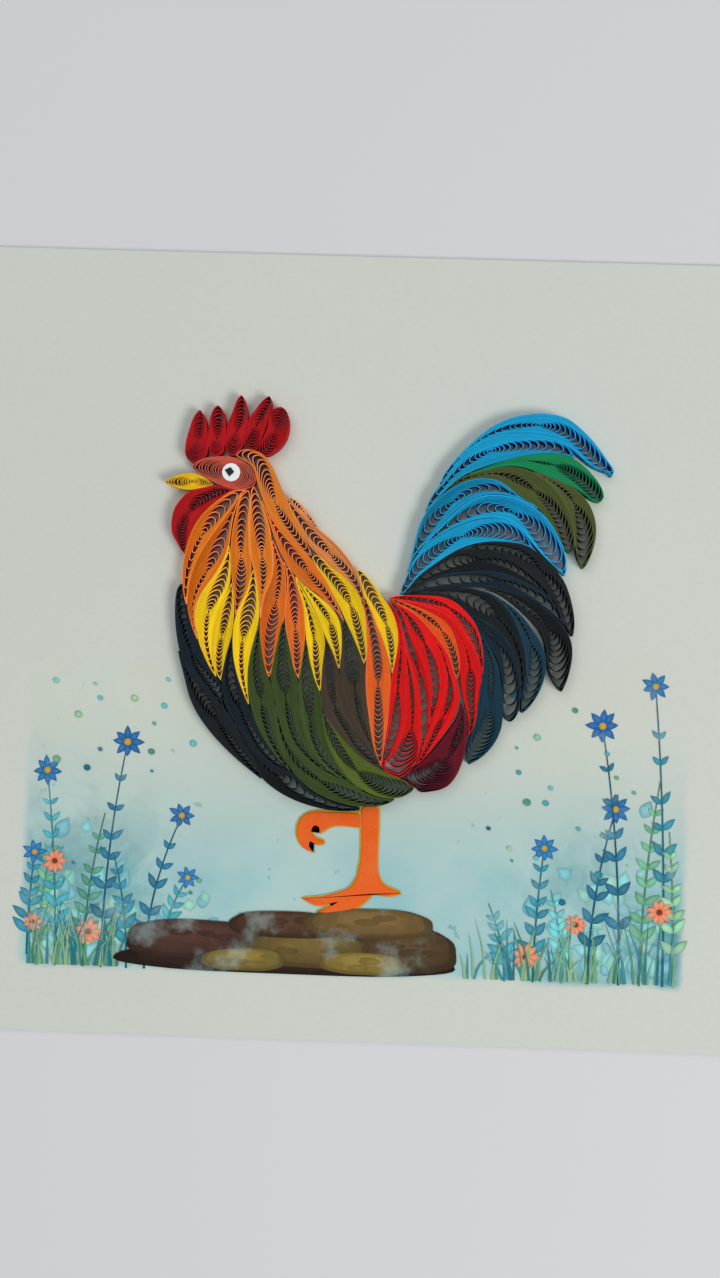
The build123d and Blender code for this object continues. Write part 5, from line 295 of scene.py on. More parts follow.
         [(16.35, 31.67), (17.12, 32.46), (18.32, 33.36), (20.01, 34.17), (22.17, 34.76), (24.58, 35.40), (27.27, 35.82), (30.19, 35.56), (33.00, 34.55), (35.39, 32.84), (37.34, 30.75), (38.77, 28.40), (39.68, 26.03), (40.19, 23.85), (40.48, 22.03), (40.53, 20.58), (39.72, 19.72)],
         (32.35, 31.59)),
    ],
    "tail_blue_3": [
        ([(8.90, 15.50), (9.62, 17.68), (10.55, 19.08), (11.81, 20.61), (13.25, 22.33), (14.81, 24.21), (16.54, 26.14), (18.48, 27.95), (20.68, 29.44), (23.09, 30.36), (25.52, 30.55), (27.75, 30.36), (29.66, 29.84), (31.18, 29.14), (32.36, 28.50), (33.23, 28.06)],
         [(8.90, 15.50), (9.44, 18.13), (9.88, 20.03), (10.33, 22.29), (11.01, 24.80), (12.38, 27.28), (14.42, 29.48), (16.76, 31.48), (19.52, 32.84), (22.45, 33.46), (25.25, 33.17), (27.53, 31.95), (29.34, 30.52), (30.97, 29.47), (32.36, 28.78), (33.23, 28.06)],
         (17.07, 28.72)),
    ],
    "tail_blue_4": [
        ([(10.77, 18.76), (11.89, 20.09), (12.44, 20.64), (13.08, 21.22), (13.82, 21.81), (14.67, 22.41), (15.61, 23.00), (16.65, 23.58), (17.76, 24.14), (18.95, 24.68), (20.20, 25.18), (21.52, 25.60), (22.90, 25.91), (24.33, 26.07), (25.77, 26.03), (27.19, 25.77), (28.52, 25.25), (29.70, 24.47), (30.71, 23.52), (31.59, 22.49), (32.41, 21.48), (33.23, 20.54), (34.03, 19.67), (34.82, 18.88), (35.57, 18.16), (36.27, 17.52), (36.92, 16.95), (37.51, 16.45), (38.03, 16.01), (38.48, 15.65), (38.85, 15.34)],
         [(10.77, 18.76), (11.95, 20.53), (12.52, 21.29), (13.18, 22.11), (13.93, 23.00), (14.77, 23.96), (15.68, 24.97), (16.67, 26.03), (17.76, 27.10), (18.97, 28.13), (20.33, 29.06), (21.84, 29.82), (23.51, 30.27), (25.26, 30.37), (27.02, 30.30), (28.76, 30.00), (30.39, 29.36), (31.93, 28.55), (33.36, 27.64), (34.64, 26.60), (35.67, 25.39), (36.54, 24.14), (37.26, 22.88), (37.89, 21.67), (38.42, 20.52), (38.82, 19.43), (39.03, 18.39), (39.11, 17.44), (39.09, 16.61), (39.00, 15.91), (38.85, 15.34)],
         (28.57, 27.03)),
    ],
    "tail_blue_5": [
        ([(7.55, 11.07), (8.28, 11.27), (9.07, 12.13), (10.03, 13.42), (11.27, 14.75), (12.82, 16.00), (14.58, 17.34), (16.51, 18.69), (18.59, 19.89), (20.80, 20.78), (23.06, 21.30), (25.27, 21.50), (27.31, 21.48), (29.10, 21.34), (30.58, 21.11), (31.72, 20.76), (32.53, 20.35)],
         [(7.55, 11.07), (7.78, 12.11), (8.27, 13.48), (8.94, 15.19), (9.72, 17.18), (11.17, 19.13), (13.07, 21.02), (15.36, 22.66), (17.92, 24.02), (20.58, 25.12), (23.32, 25.78), (26.03, 25.84), (28.36, 25.20), (30.11, 23.98), (31.31, 22.57), (32.07, 21.30), (32.53, 20.35)],
         (18.98, 22.19)),
    ],
    "tail_black_1": [
        ([(20.49, 19.87), (21.34, 19.79), (22.50, 19.78), (23.96, 19.68), (25.66, 19.40), (27.53, 18.87), (29.43, 17.94), (31.24, 16.61), (32.98, 15.10), (34.63, 13.48), (36.06, 11.75), (37.24, 9.98), (38.16, 8.27), (38.92, 6.72), (39.57, 5.42), (40.17, 4.42), (40.69, 3.75)],
         [(20.49, 19.87), (21.22, 20.52), (22.48, 20.98), (24.15, 21.27), (26.15, 21.38), (28.41, 21.27), (30.84, 20.85), (33.20, 19.78), (35.28, 18.08), (37.21, 16.22), (38.78, 14.14), (39.76, 11.88), (40.41, 9.71), (40.82, 7.75), (40.96, 6.07), (40.88, 4.72), (40.69, 3.75)],
         (34.27, 16.29)),
    ],
    "tail_black_2": [
        ([(8.62, 11.53), (9.33, 11.99), (10.42, 12.66), (11.83, 13.40), (13.55, 14.15), (15.56, 14.84), (17.82, 15.40), (20.26, 15.81), (22.79, 16.00), (25.32, 15.89), (27.72, 15.45), (29.91, 14.69), (31.85, 13.77), (33.51, 12.87), (34.86, 12.02), (35.87, 11.25), (36.55, 10.61)],
         [(8.62, 11.53), (9.24, 12.24), (10.18, 13.38), (11.47, 14.66), (13.09, 16.06), (15.04, 17.54), (17.27, 19.02), (19.87, 19.78), (22.80, 19.62), (25.69, 19.31), (28.32, 18.48), (30.55, 17.09), (32.44, 15.51), (34.02, 14.04), (35.24, 12.72), (36.12, 11.58), (36.55, 10.61)],
         (22.91, 18.04)),
    ],
    "tail_black_3": [
        ([(9.70, 11.59), (10.65, 11.73), (11.95, 11.95), (13.58, 12.23), (15.52, 12.51), (17.72, 12.70), (20.13, 12.75), (22.68, 12.71), (25.29, 12.54), (27.87, 12.12), (30.31, 11.39), (32.53, 10.45), (34.47, 9.39), (36.11, 8.33), (37.44, 7.35), (38.47, 6.52), (39.22, 5.92)],
         [(9.70, 11.59), (10.49, 12.29), (11.69, 13.12), (13.30, 13.95), (15.32, 14.67), (17.69, 15.23), (20.30, 15.64), (23.10, 15.84), (25.97, 15.66), (28.76, 14.98), (31.33, 13.86), (33.67, 12.63), (35.68, 11.27), (37.15, 9.71), (38.12, 8.18), (38.78, 6.88), (39.22, 5.92)],
         (26.48, 14.13)),
    ],
    "tail_black_4": [
        ([(8.28, 10.97), (9.33, 10.94), (10.77, 10.90), (12.58, 10.85), (14.72, 10.76), (17.06, 10.30), (19.45, 9.16), (21.66, 7.49), (24.11, 6.02), (26.56, 4.54), (28.34, 2.42), (29.68, 0.13), (30.48, -2.13), (30.87, -4.23), (31.05, -6.03), (31.14, -7.48), (31.21, -8.52)],
         [(8.28, 10.97), (9.43, 11.31), (11.02, 11.67), (13.03, 11.98), (15.44, 12.22), (18.18, 12.41), (21.18, 12.31), (24.18, 11.45), (26.80, 9.56), (28.86, 7.05), (30.29, 4.24), (31.23, 1.41), (31.71, -1.28), (31.82, -3.69), (31.69, -5.74), (31.45, -7.35), (31.21, -8.52)],
         (26.52, 6.66)),
    ],
    "tail_black_5": [
        ([(24.05, 12.23), (24.83, 12.04), (25.85, 11.67), (27.07, 11.09), (28.42, 10.25), (29.86, 9.15), (31.37, 7.85), (32.91, 6.42), (34.34, 4.81), (35.34, 2.94), (35.78, 0.90), (35.99, -1.07), (36.34, -2.85), (36.94, -4.34), (37.64, -5.51), (38.31, -6.35), (38.88, -6.90)],
         [(24.05, 12.23), (24.99, 12.33), (26.25, 12.30), (27.80, 12.06), (29.58, 11.54), (31.54, 10.71), (33.60, 9.66), (35.69, 8.44), (37.61, 6.86), (39.30, 4.94), (40.41, 2.81), (40.74, 0.57), (40.58, -1.56), (40.21, -3.42), (39.77, -4.92), (39.31, -6.08), (38.88, -6.90)],
         (35.95, 5.23)),
    ],
    "tail_black_6": [
        ([(23.48, 11.83), (24.25, 11.55), (25.23, 11.04), (26.35, 10.22), (27.54, 9.08), (28.71, 7.64), (29.73, 5.91), (30.57, 3.93), (31.28, 1.84), (31.78, -0.30), (32.01, -2.42), (31.99, -4.45), (31.77, -6.29), (31.48, -7.91), (31.33, -9.28), (31.35, -10.38), (31.48, -11.20)],
         [(23.48, 11.83), (24.41, 11.72), (25.55, 11.20), (26.92, 10.38), (28.51, 9.39), (30.16, 8.08), (31.75, 6.42), (33.26, 4.46), (34.65, 2.34), (35.58, 0.04), (35.80, -2.38), (35.47, -4.69), (34.80, -6.72), (33.95, -8.38), (33.06, -9.69), (32.24, -10.65), (31.48, -11.20)],
         (32.79, 2.26)),
    ],
    "tail_black_7": [
        ([(19.55, 8.93), (20.67, 7.50), (21.49, 6.46), (22.39, 5.19), (23.30, 3.68), (24.35, 2.08), (25.62, 0.49), (26.59, -1.37), (27.18, -3.39), (27.50, -5.37), (27.67, -7.26), (27.79, -9.04), (27.90, -10.65), (28.11, -11.98), (28.65, -12.74), (29.43, -12.95)],
         [(19.55, 8.93), (21.09, 7.68), (22.33, 6.93), (23.83, 6.11), (25.50, 5.14), (27.11, 3.83), (28.49, 2.09), (29.59, 0.08), (30.37, -2.06), (30.82, -4.23), (31.02, -6.32), (31.04, -8.26), (30.94, -9.97), (30.63, -11.35), (30.08, -12.33), (29.43, -12.95)],
         (26.38, 1.96)),
    ],
    "tail_black_8": [
        ([(22.73, 4.21), (22.99, 3.45), (23.28, 2.39), (23.56, 1.05), (23.83, -0.55), (23.92, -2.38), (23.76, -4.38), (23.48, -6.47), (23.22, -8.63), (23.02, -10.80), (22.71, -12.89), (22.22, -14.84), (21.69, -16.59), (21.30, -18.17), (21.18, -19.54), (21.31, -20.62), (21.59, -21.37)],
         [(22.73, 4.21), (23.23, 3.46), (23.94, 2.45), (24.84, 1.19), (25.75, -0.38), (26.50, -2.30), (27.04, -4.49), (27.43, -6.84), (27.69, -9.27), (27.83, -11.71), (27.63, -14.08), (26.90, -16.20), (25.84, -17.97), (24.63, -19.34), (23.44, -20.32), (22.40, -20.97), (21.59, -21.37)],
         (25.43, -9.85)),
    ],
}
STANDING = [(1.28, -30.48), (1.52, -33.59), (1.65, -38.03), (1.61, -40.99), (1.27, -42.49), (1.08, -43.97), (0.69, -44.85), (-0.17, -46.08), (-1.34, -46.85), (-3.09, -47.49), (-5.29, -48.10), (-7.49, -48.46), (-9.58, -48.66), (-8.67, -49.21), (-7.45, -49.80), (-5.97, -49.90), (-4.49, -49.55), (-2.75, -49.05), (-3.77, -49.76), (-5.22, -50.54), (-6.59, -51.18), (-4.44, -51.19), (-2.25, -50.81), (-0.03, -50.38), (1.44, -49.75), (2.59, -48.82), (3.30, -48.05), (3.88, -47.21), (4.78, -47.42), (6.54, -47.58), (8.03, -47.45), (9.49, -46.96), (8.45, -46.55), (6.94, -46.01), (5.73, -45.16), (5.11, -43.84), (4.75, -42.38), (4.66, -39.42), (4.72, -36.46), (4.79, -33.49), (4.74, -30.30)]
RAISED = [(1.17, -31.75), (-2.09, -31.77), (-5.05, -31.78), (-7.28, -31.76), (-8.46, -31.89), (-9.49, -32.37), (-10.35, -33.21), (-10.84, -34.41), (-11.01, -35.75), (-10.75, -37.08), (-10.19, -38.24), (-9.43, -38.97), (-8.37, -39.44), (-7.56, -39.57), (-8.23, -38.93), (-8.56, -38.34), (-8.43, -37.53), (-7.69, -37.87), (-6.94, -38.08), (-6.06, -37.90), (-5.63, -37.44), (-6.37, -37.25), (-7.27, -36.89), (-7.95, -36.25), (-8.21, -35.37), (-7.92, -34.70), (-7.43, -34.38), (-6.82, -34.73), (-6.64, -35.32), (-6.86, -35.93), (-5.83, -35.30), (-4.96, -34.67), (-3.95, -34.27), (-2.01, -34.21), (-0.53, -34.32), (1.25, -34.55)]


# ------------------------------------------------------------------ node help
class Nodes:
    def __init__(self, name):
        self.mat = bpy.data.materials.new(name)
        self.mat.use_nodes = True
        self.t = self.mat.node_tree
        self.t.nodes.clear()
        self.out = self.t.nodes.new("ShaderNodeOutputMaterial")
        self.bsdf = self.t.nodes.new("ShaderNodeBsdfPrincipled")
        self.t.links.new(self.bsdf.outputs[0], self.out.inputs[0])
        self.coord = self.t.nodes.new("ShaderNodeTexCoord")
        self.P = self.coord.outputs["Object"]

    def new(self, kind, **inputs):
        n = self.t.nodes.new(kind)
        for k, v in inputs.items():
            self.put(n, k, v)
        return n

    def put(self, n, k, v):
        sock = n.inputs[int(k[1:])] if k[0] == "i" and k[1:].isdigit() else n.inputs[k]
        if hasattr(v, "is_output"):
            self.t.links.new(v, sock)
        else:
            sock.default_value = v

    def math(self, op, a, b=0.0, c=0.0, clamp=False):
        n = self.new("ShaderNodeMath", i0=a, i1=b, i2=c)
        n.operation = op
        n.use_clamp = clamp
        return n.outputs[0]

    def mix(self, f, a, b, mode="MIX"):
        n = self.t.nodes.new("ShaderNodeMix")
        n.data_type = "RGBA"
        n.blend_type = mode
        for s, v in ((n.inputs[0], f), (n.inputs[6], a), (n.inputs[7], b)):
            if hasattr(v, "is_output"):
                self.t.links.new(v, s)
            elif isinstance(v, (tuple, list)):
                s.default_value = (*v[:3], 1.0)
            else:
                s.default_value = v
        return n.outputs[2]

    def noise(self, scale, detail=3.0, rough=0.5, vec=None, dist=0.0):
        n = self.new("ShaderNodeTexNoise", Vector=vec or self.P, Scale=scale, Detail=detail,
                     Roughness=rough, Distortion=dist)
        return n.outputs[0]

    def ramp(self, f, lo, hi):
        n = self.new("ShaderNodeMapRange", Value=f)
        n.inputs[1].default_value = lo
        n.inputs[2].default_value = hi
        n.interpolation_type = "SMOOTHSTEP"
        return n.outputs[0]

    def bump(self, h, strength, dist):
        n = self.new("ShaderNodeBump", Height=h, Strength=strength, Distance=dist)
        self.t.links.new(n.outputs[0], self.bsdf.inputs["Normal"])

    def finish(self, color, rough=0.85, spec=0.25):
        self.put(self.bsdf, "Base Color", color if not isinstance(color, tuple) else (*color, 1.0))
        self.put(self.bsdf, "Roughness", rough)
        self.put(self.bsdf, "Specular IOR Level", spec)
        return self.mat


def lin(r, g, b, gain=1.0):
    def f(c):
        c /= 255.0
        return c / 12.92 if c <= 0.04045 else ((c + 0.055) / 1.055) ** 2.4
    return tuple(min(1.0, f(c) * gain) for c in (r, g, b))


GAIN = 1.22      # seen colour to paper colour, for the studio light used here


def strip_material(name, flank, arc, gap_shade, outer=None):
    """Paper strip on edge: pale cut edge, with the strip sides down in the gaps of the roll given a darker colour as
    painted shade.
    """
    m = Nodes(name)
    flank, arc, gap_shade = lin(*flank, GAIN), lin(*arc, GAIN), lin(*gap_shade, GAIN)
    outer = lin(*outer, GAIN) if outer else flank
    at = m.new("ShaderNodeAttribute")
    at.attribute_name = "turn"
    sep = m.new("ShaderNodeSeparateColor", i0=at.outputs["Color"])
    arcf, outf = sep.outputs[0], sep.outputs[1]
    shade = sep.outputs[2]
    geo = m.t.nodes.new("ShaderNodeNewGeometry")
    nz = m.new("ShaderNodeSeparateXYZ", i0=geo.outputs["Normal"]).outputs[2]
    # top faces (normal up) keep the paper colours; side faces take the palette's wall colour, a painted shade for the
    # strip walls down in the gaps, except the outward face of the outer rim, which keeps the flank colour
    topf = m.ramp(nz, 0.45, 0.75)
    cloud = m.noise(260.0, 4.0, 0.6)
    fibre = m.noise(5200.0, 3.0, 0.7)
    top = m.mix(arcf, flank, arc)
    side = m.mix(outf, gap_shade, outer)
    col = m.mix(topf, side, top)
    k = m.math("MULTIPLY_ADD", shade, 0.34, 0.83)
    k = m.math("MULTIPLY", k, m.math("MULTIPLY_ADD", cloud, 0.26, 0.87))
    k = m.math("MULTIPLY", k, m.math("MULTIPLY_ADD", fibre, 0.30, 0.85))
    kk = m.new("ShaderNodeCombineColor", i0=k, i1=k, i2=k).outputs[0]
    col = m.mix(1.0, col, kk, "MULTIPLY")
    m.bump(fibre, 0.22, 0.00006)
    rough = m.math("MULTIPLY_ADD", fibre, 0.2, 0.66)
    return m.finish(col, rough, 0.32)


PALETTE = {
    # flank top, single turn top, wall inside the gaps (a darker colour that paints the shade down in the gaps)
    "comb": ((178, 4, 10), (165, 14, 30), (120, 0, 10)),
    "wattle": ((176, 2, 4), (150, 20, 30), (95, 0, 10)),
    "red": ((216, 2, 2), (212, 30, 40), (150, 0, 6)),
    "orangered": ((242, 84, 12), (250, 120, 60), (205, 40, 5)),
    "face": ((212, 92, 70), (205, 100, 80), (130, 20, 10)),
    "beak": ((222, 174, 8), (210, 165, 30), (120, 80, 0)),
    "hackle": ((226, 124, 14), (238, 158, 104), (190, 32, 4)),
    "hackle_warm": ((222, 112, 22), (240, 140, 90), (214, 22, 4)),
    "hackle_brown": ((208, 116, 24), (222, 140, 92), (150, 22, 2)),
    "hackle_pale": ((228, 140, 72), (240, 166, 120), (190, 70, 30)),
    "yellow": ((240, 198, 2), (238, 190, 60), (190, 105, 0)),
    "yellow_end": ((236, 190, 4), (240, 196, 60), (215, 150, 10)),
    "rust": ((226, 96, 22), (218, 120, 90), (120, 26, 12)),
    "olive": ((58, 76, 30), (74, 88, 52), (24, 34, 12)),
    "olive_lime": ((84, 100, 30), (70, 88, 48), (26, 38, 12)),
    "brown": ((66, 54, 40), (72, 64, 56), (26, 20, 14)),
    "navy": ((12, 26, 38), (18, 36, 48), (8, 18, 28)),
    "ink": ((14, 22, 27), (26, 38, 44), (8, 12, 16)),
    "maroon": ((112, 10, 34), (96, 20, 42), (52, 2, 18)),
    "blue": ((2, 152, 196), (40, 160, 205), (0, 84, 160)),
    "green": ((4, 124, 74), (0, 110, 74), (0, 60, 40)),
    "tailolive": ((76, 88, 40), (92, 96, 66), (34, 40, 20)),
    "tailolive_dark": ((54, 66, 30), (64, 72, 46), (22, 28, 14)),
    "black": ((17, 24, 28), (40, 50, 56), (10, 14, 18)),
    "blacknavy": ((10, 34, 48), (30, 58, 72), (6, 22, 34)),
    "blackblue": ((10, 52, 70), (34, 84, 98), (6, 34, 52)),
}
MATS = {k: strip_material("strip_" + k, *v) for k, v in PALETTE.items()}

LOOK = {
    "comb": "comb", "wattle": "wattle", "face": "face", "beak": "beak",
    "hackle_1": "hackle", "hackle_2": "hackle", "hackle_3": "hackle", "hackle_4": "hackle",
    "hackle_5": "hackle_warm", "hackle_6": "hackle_warm", "hackle_7": "hackle_warm",
    "hackle_crest": "hackle_brown", "hackle_back": "hackle_pale",
    "cape_6": "yellow_end", "rust_feather": "rust",
    "breast_olive_5": "olive_lime", "breast_brown_1": "brown", "breast_brown_2": "brown",
    "breast_dark_1": "navy", "breast_dark_2": "ink", "breast_dark_3": "navy", "breast_dark_4": "ink",
    "saddle_3": "orangered", "thigh": "maroon", "tail_green": "green", "tail_olive": "tailolive",
    "tail_black_1": "black", "tail_black_2": "black", "tail_black_3": "blacknavy",
    "tail_black_4": "black", "tail_black_5": "black", "tail_black_6": "blackblue",
    "tail_black_7": "blacknavy", "tail_black_8": "blackblue",
}
FAMILY = (("cape", "yellow"), ("breast_olive", "olive"), ("saddle", "red"), ("tail_blue", "blue"))


def look(node):
    if node in LOOK:
        return LOOK[node]
    for start, key in FAMILY:
        if node.startswith(start):
            return key
    return "black"


# ----------------------------------------------------------------- wound coil
def smooth(points, n):
    """Catmull-Rom curve through the points, n samples, even in the index."""
    p = np.asarray(points, float)
    m = np.empty_like(p)
    m[1:-1] = (p[2:] - p[:-2]) / 2
    m[0] = p[1] - p[0]
    m[-1] = p[-1] - p[-2]
    x = np.linspace(0, len(p) - 1, n)
    i = np.minimum(x.astype(int), len(p) - 2)
    t = (x - i)[:, None]
    return ((2 * t**3 - 3 * t**2 + 1) * p[i] + (t**3 - 2 * t**2 + t) * m[i]
            + (-2 * t**3 + 3 * t**2) * p[i + 1] + (t**3 - t**2) * m[i + 1])


def coil_path(side_a, side_b, eye, rng):
    """Centre line of the wound strip, from the closed rim in to the eye."""
    a, b = smooth(side_a, 161), smooth(side_b, 161)
    c, h = (a + b) / 2, (a - b) / 2
    run = np.r_[0, np.cumsum(np.hypot(*np.diff(c, axis=0).T))]
    length = run[-1]
    w = np.hypot(*h.T)
    d = np.gradient(c, axis=0)
    d /= np.maximum(np.hypot(*d.T), 1e-9)[:, None]
    ie = int(np.argmin(np.hypot(*(c - eye).T)))
    e = float(np.clip(run[ie], 0.16 * length, 0.84 * length))
    ie = int(np.argmin(abs(run - e)))
    we = w[ie]
    lean = float(np.clip(((np.array(eye) - c[ie]) @ h[ie]) / we**2, -0.42, 0.42))
    room = we * (1 - abs(lean)) - 0.16
    turns = int(np.clip(room / 0.128, 6, 17))
    pa = (we * (1 - lean) - 0.14) / turns
    pb = (we * (1 + lean) - 0.14) / turns

    def at(x, arr):
        return np.interp(x, run, arr)

    jit = rng.normal(0, 1, (2, turns + 2)) * 0.07
    pts, rim, arc, kk = [], [], [], []
    q = 1.42
    total = []
    total += [(0.0, s, True) for s in np.linspace(0, 1, 131)[:-1]]
    for t in range(turns):
        count = 72 if t < turns - 3 else 44
        total += [(t + s, s, False) for s in np.linspace(0, 1, count + 1)[:-1]]
    total.append((float(turns), 0.0, False))
    for k, s, closed in total:
        psi = 2 * math.pi * s
        f = max(0.0, 1 - k / turns) ** q
        i0 = int(min(k, turns))
        fr = k - i0
        ja = jit[0][i0] * (1 - fr) + jit[0][i0 + 1] * fr
        jb = jit[1][i0] * (1 - fr) + jit[1][i0 + 1] * fr
        fade = min(1.0, k / 1.5) * min(1.0, (turns - k) / 3)
        r0 = 0.24 * min(1.0, k / turns * 1.2)
        ak = (e - r0) * (1 - f) + ja * fade
        bk = length - (length - e - r0) * (1 - f) + jb * fade
        u = ak + (bk - ak) * (1 - math.cos(psi)) / 2
        side = 1.0 if s < 0.5 else -1.0
        W = at(u, w)
        if k <= 0:
            cap, half, mid = 1.0, W, 0.0
        else:
            half = max(W - k * (pa + pb) / 2, 0.10)
            mid = k * (pb - pa) / 2
            lr = max(at(min(ak + 0.9, e), w) - k * (pa + pb) / 2, 0.16)
            lt = max(at(max(bk - 0.9, e), w) - k * (pa + pb) / 2, 0.16)
            grow = min(1.0, k / 0.5)
            lr, lt = 1.25 * lr, 1.25 * lt
            lr, lt = min(lr, (bk - ak) / 2), min(lt, (bk - ak) / 2)
            tr = min(1.0, (u - ak) / lr)
            tt = min(1.0, (bk - u) / lt)
            cap = math.sqrt(max(0.0, 1 - (1 - tr) ** 2)) * math.sqrt(max(0.0, 1 - (1 - tt) ** 2))
            cap = cap * grow + (1 - grow) * min(1.0, cap * 3)
        x = mid + side * half * cap
        x = max(-W, min(W, x))
        frac = x / max(W, 1e-6)
        px = at(u, c[:, 0]) + frac * at(u, h[:, 0])
        py = at(u, c[:, 1]) + frac * at(u, h[:, 1])
        pts.append((px, py))
        rim.append(1.0 if k <= 0 else 0.0)
        arc.append(0.55 if k <= 0 else min(1.0, max(0.0, (1 - cap) / 0.16)))
        kk.append(k)
    return np.array(pts), np.array(rim), np.array(arc), np.array(kk), turns


def coil_mesh(path, rng, verts, faces, tags, smooth_flags):
    pts, rim, arc, kk, turns = path
    # drop repeats
    keep = np.r_[True, np.hypot(*np.diff(pts, axis=0).T) > 0.012]
    pts, rim, arc, kk = pts[keep], rim[keep], arc[keep], kk[keep]
    n = len(pts)
    closed = int(rim.sum())
    # pull the rim in by half the paper so the outline stays the outline
    tan = np.gradient(pts, axis=0)
    ring = pts[:closed]
    tan[:closed] = np.roll(ring, -1, axis=0) - np.roll(ring, 1, axis=0)
    ln = np.maximum(np.hypot(*tan.T), 1e-9)[:, None]
    tan /= ln
    nor = np.c_[tan[:, 1], -tan[:, 0]]
    area = 0.5 * np.sum(ring[:, 0] * np.roll(ring[:, 1], -1) - np.roll(ring[:, 0], -1) * ring[:, 1])
    if area < 0:
        nor = -nor          # outward
    th = PAPER * (1 + 0.08 * rng.standard_normal())
    lift = np.interp(kk, np.arange(turns + 2), rng.normal(0, 0.055, turns + 2))
    lift[:closed] = 0.02 * rng.standard_normal()
    wave = 0.02 * np.sin(np.arange(n) * 0.21 + rng.random() * 6)
    shade = np.interp(kk, np.arange(turns + 2), rng.random(turns + 2))

    def ribbon(i0, i1, loop):
        base = len(verts)
        m = i1 - i0
        for i in range(i0, i1):
            p, nn = pts[i], nor[i]
            o = p if rim[i] else p + nn * th / 2
            q = p - nn * (th if rim[i] else th / 2)
            top = FACE + STRIP + lift[i] + wave[i]
            for (x, y), z, out in ((o, FACE, 1), (o, top, 1), (q, top, 0), (q, FACE, 0)):
                verts.append((x * MM, y * MM, z * MM))
                # second channel marks the outward face of the outer rim, which keeps the paper colour instead of the
                # painted gap shade
                tags.append((arc[i], 1.0 if (out and rim[i]) else 0.0, shade[i]))
        for j in range(m if loop else m - 1):
            a0 = base + 4 * j
            b0 = base + 4 * ((j + 1) % m)
            for s0, s1, sm in ((0, 1, True), (1, 2, False), (2, 3, True), (3, 0, False)):
                quad = (a0 + s0, b0 + s0, b0 + s1, a0 + s1)
                faces.append(quad if area > 0 else quad[::-1])
                smooth_flags.append(sm)
        if not loop:
            for k0, rev in ((base, False), (base + 4 * (m - 1), True)):
                q4 = (k0, k0 + 1, k0 + 2, k0 + 3)
                faces.append(q4[::-1] if rev != (area > 0) else q4)
                smooth_flags.append(False)

    ribbon(0, closed, True)
    ribbon(closed, n, False)


def build(name, verts, faces, tags=None, smooth_flags=None, mat=None, colors=None):
    me = bpy.data.meshes.new(name)
    me.from_pydata(verts, [], faces)
    me.update()
    if smooth_flags is not None:
        me.polygons.foreach_set("use_smooth", smooth_flags)
    if tags is not None:
        at = me.color_attributes.new("turn", "FLOAT_COLOR", "POINT")
        at.data.foreach_set("color", np.c_[np.array(tags), np.ones(len(tags))].ravel())
    if colors is not None:
        at = me.color_attributes.new("ink", "FLOAT_COLOR", "POINT")
        at.data.foreach_set("color", np.c_[np.array(colors), np.ones(len(colors))].ravel())
    ob = bpy.data.objects.new(name, me)
    bpy.context.scene.collection.objects.link(ob)
    if mat:
        me.materials.append(mat)
    return ob


seed = 7
for node, loops in COILS.items():
    verts, faces, tags, flags = [], [], [], []
    for side_a, side_b, eye in loops:
        seed += 1
        rng = np.random.default_rng(seed)
        coil_mesh(coil_path(side_a, side_b, eye, rng), rng, verts, faces, tags, flags)
    ob = build("coil_" + node, verts, faces, tags, flags, MATS[look(node)])
    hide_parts(node)
    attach(ob, "root")

# ------------------------------------------------------------------------ card
def card_material(name="card_stock"):
    m = Nodes(name)
    grain = m.noise(1500.0, 4.0, 0.65)
    cloud = m.noise(16.0, 3.0, 0.5)
    base = m.mix(cloud, lin(208, 213, 203, 1.15), lin(202, 205, 197, 1.15))
    k = m.math("MULTIPLY_ADD", grain, 0.10, 0.95)
    kk = m.new("ShaderNodeCombineColor", i0=k, i1=k, i2=k).outputs[0]
    col = m.mix(1.0, base, kk, "MULTIPLY")
    m.bump(grain, 0.25, 0.00008)
    return m, col


m, col = card_material()
CARD_MAT = m.finish(col, 0.9, 0.2)
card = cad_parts["folded_card"]


def dress(ob, mat):
    ob.data.materials.clear()
    ob.data.materials.append(mat)


dress(card, CARD_MAT)

# painted ground: a soft wash that fades up the card, with a white margin
m, paper = card_material("painted_ground")
xyz = m.new("ShaderNodeSeparateXYZ", i0=m.P)
X, Y = xyz.outputs[0], xyz.outputs[1]
warp = m.noise(38.0, 4.0, 0.6)
big = m.noise(22.0, 5.0, 0.62)
mid = m.noise(60.0, 6.0, 0.65, dist=0.6)
fine = m.noise(260.0, 5.0, 0.7)
ax = m.math("ABSOLUTE", X)
edge_n = m.math("MULTIPLY_ADD", mid, 0.0032, -0.0016)
border = m.math("MULTIPLY",
                m.ramp(m.math("ADD", ax, edge_n), (PRINT + 0.5) * MM, (PRINT - 1.6) * MM),
                m.ramp(m.math("ADD", Y, edge_n), -(PRINT - 0.4) * MM, -(PRINT - 2.6) * MM))
rise = m.ramp(m.math("MULTIPLY_ADD", big, 0.045, Y), 0.034, -0.026)
wash = m.math("MULTIPLY", m.math("MULTIPLY", rise, border), m.math("MULTIPLY_ADD", mid, 0.7, 0.42), clamp=True)
aqua = m.mix(m.ramp(big, 0.38, 0.66), lin(176, 216, 214), lin(120, 198, 208))
pale = m.mix(m.ramp(mid, 0.35, 0.7), lin(206, 220, 205), lin(222, 222, 196))
ground = m.mix(m.ramp(m.math("MULTIPLY_ADD", big, 0.03, Y), 0.01, -0.035), pale, aqua)
c1 = m.mix(wash, paper, ground)
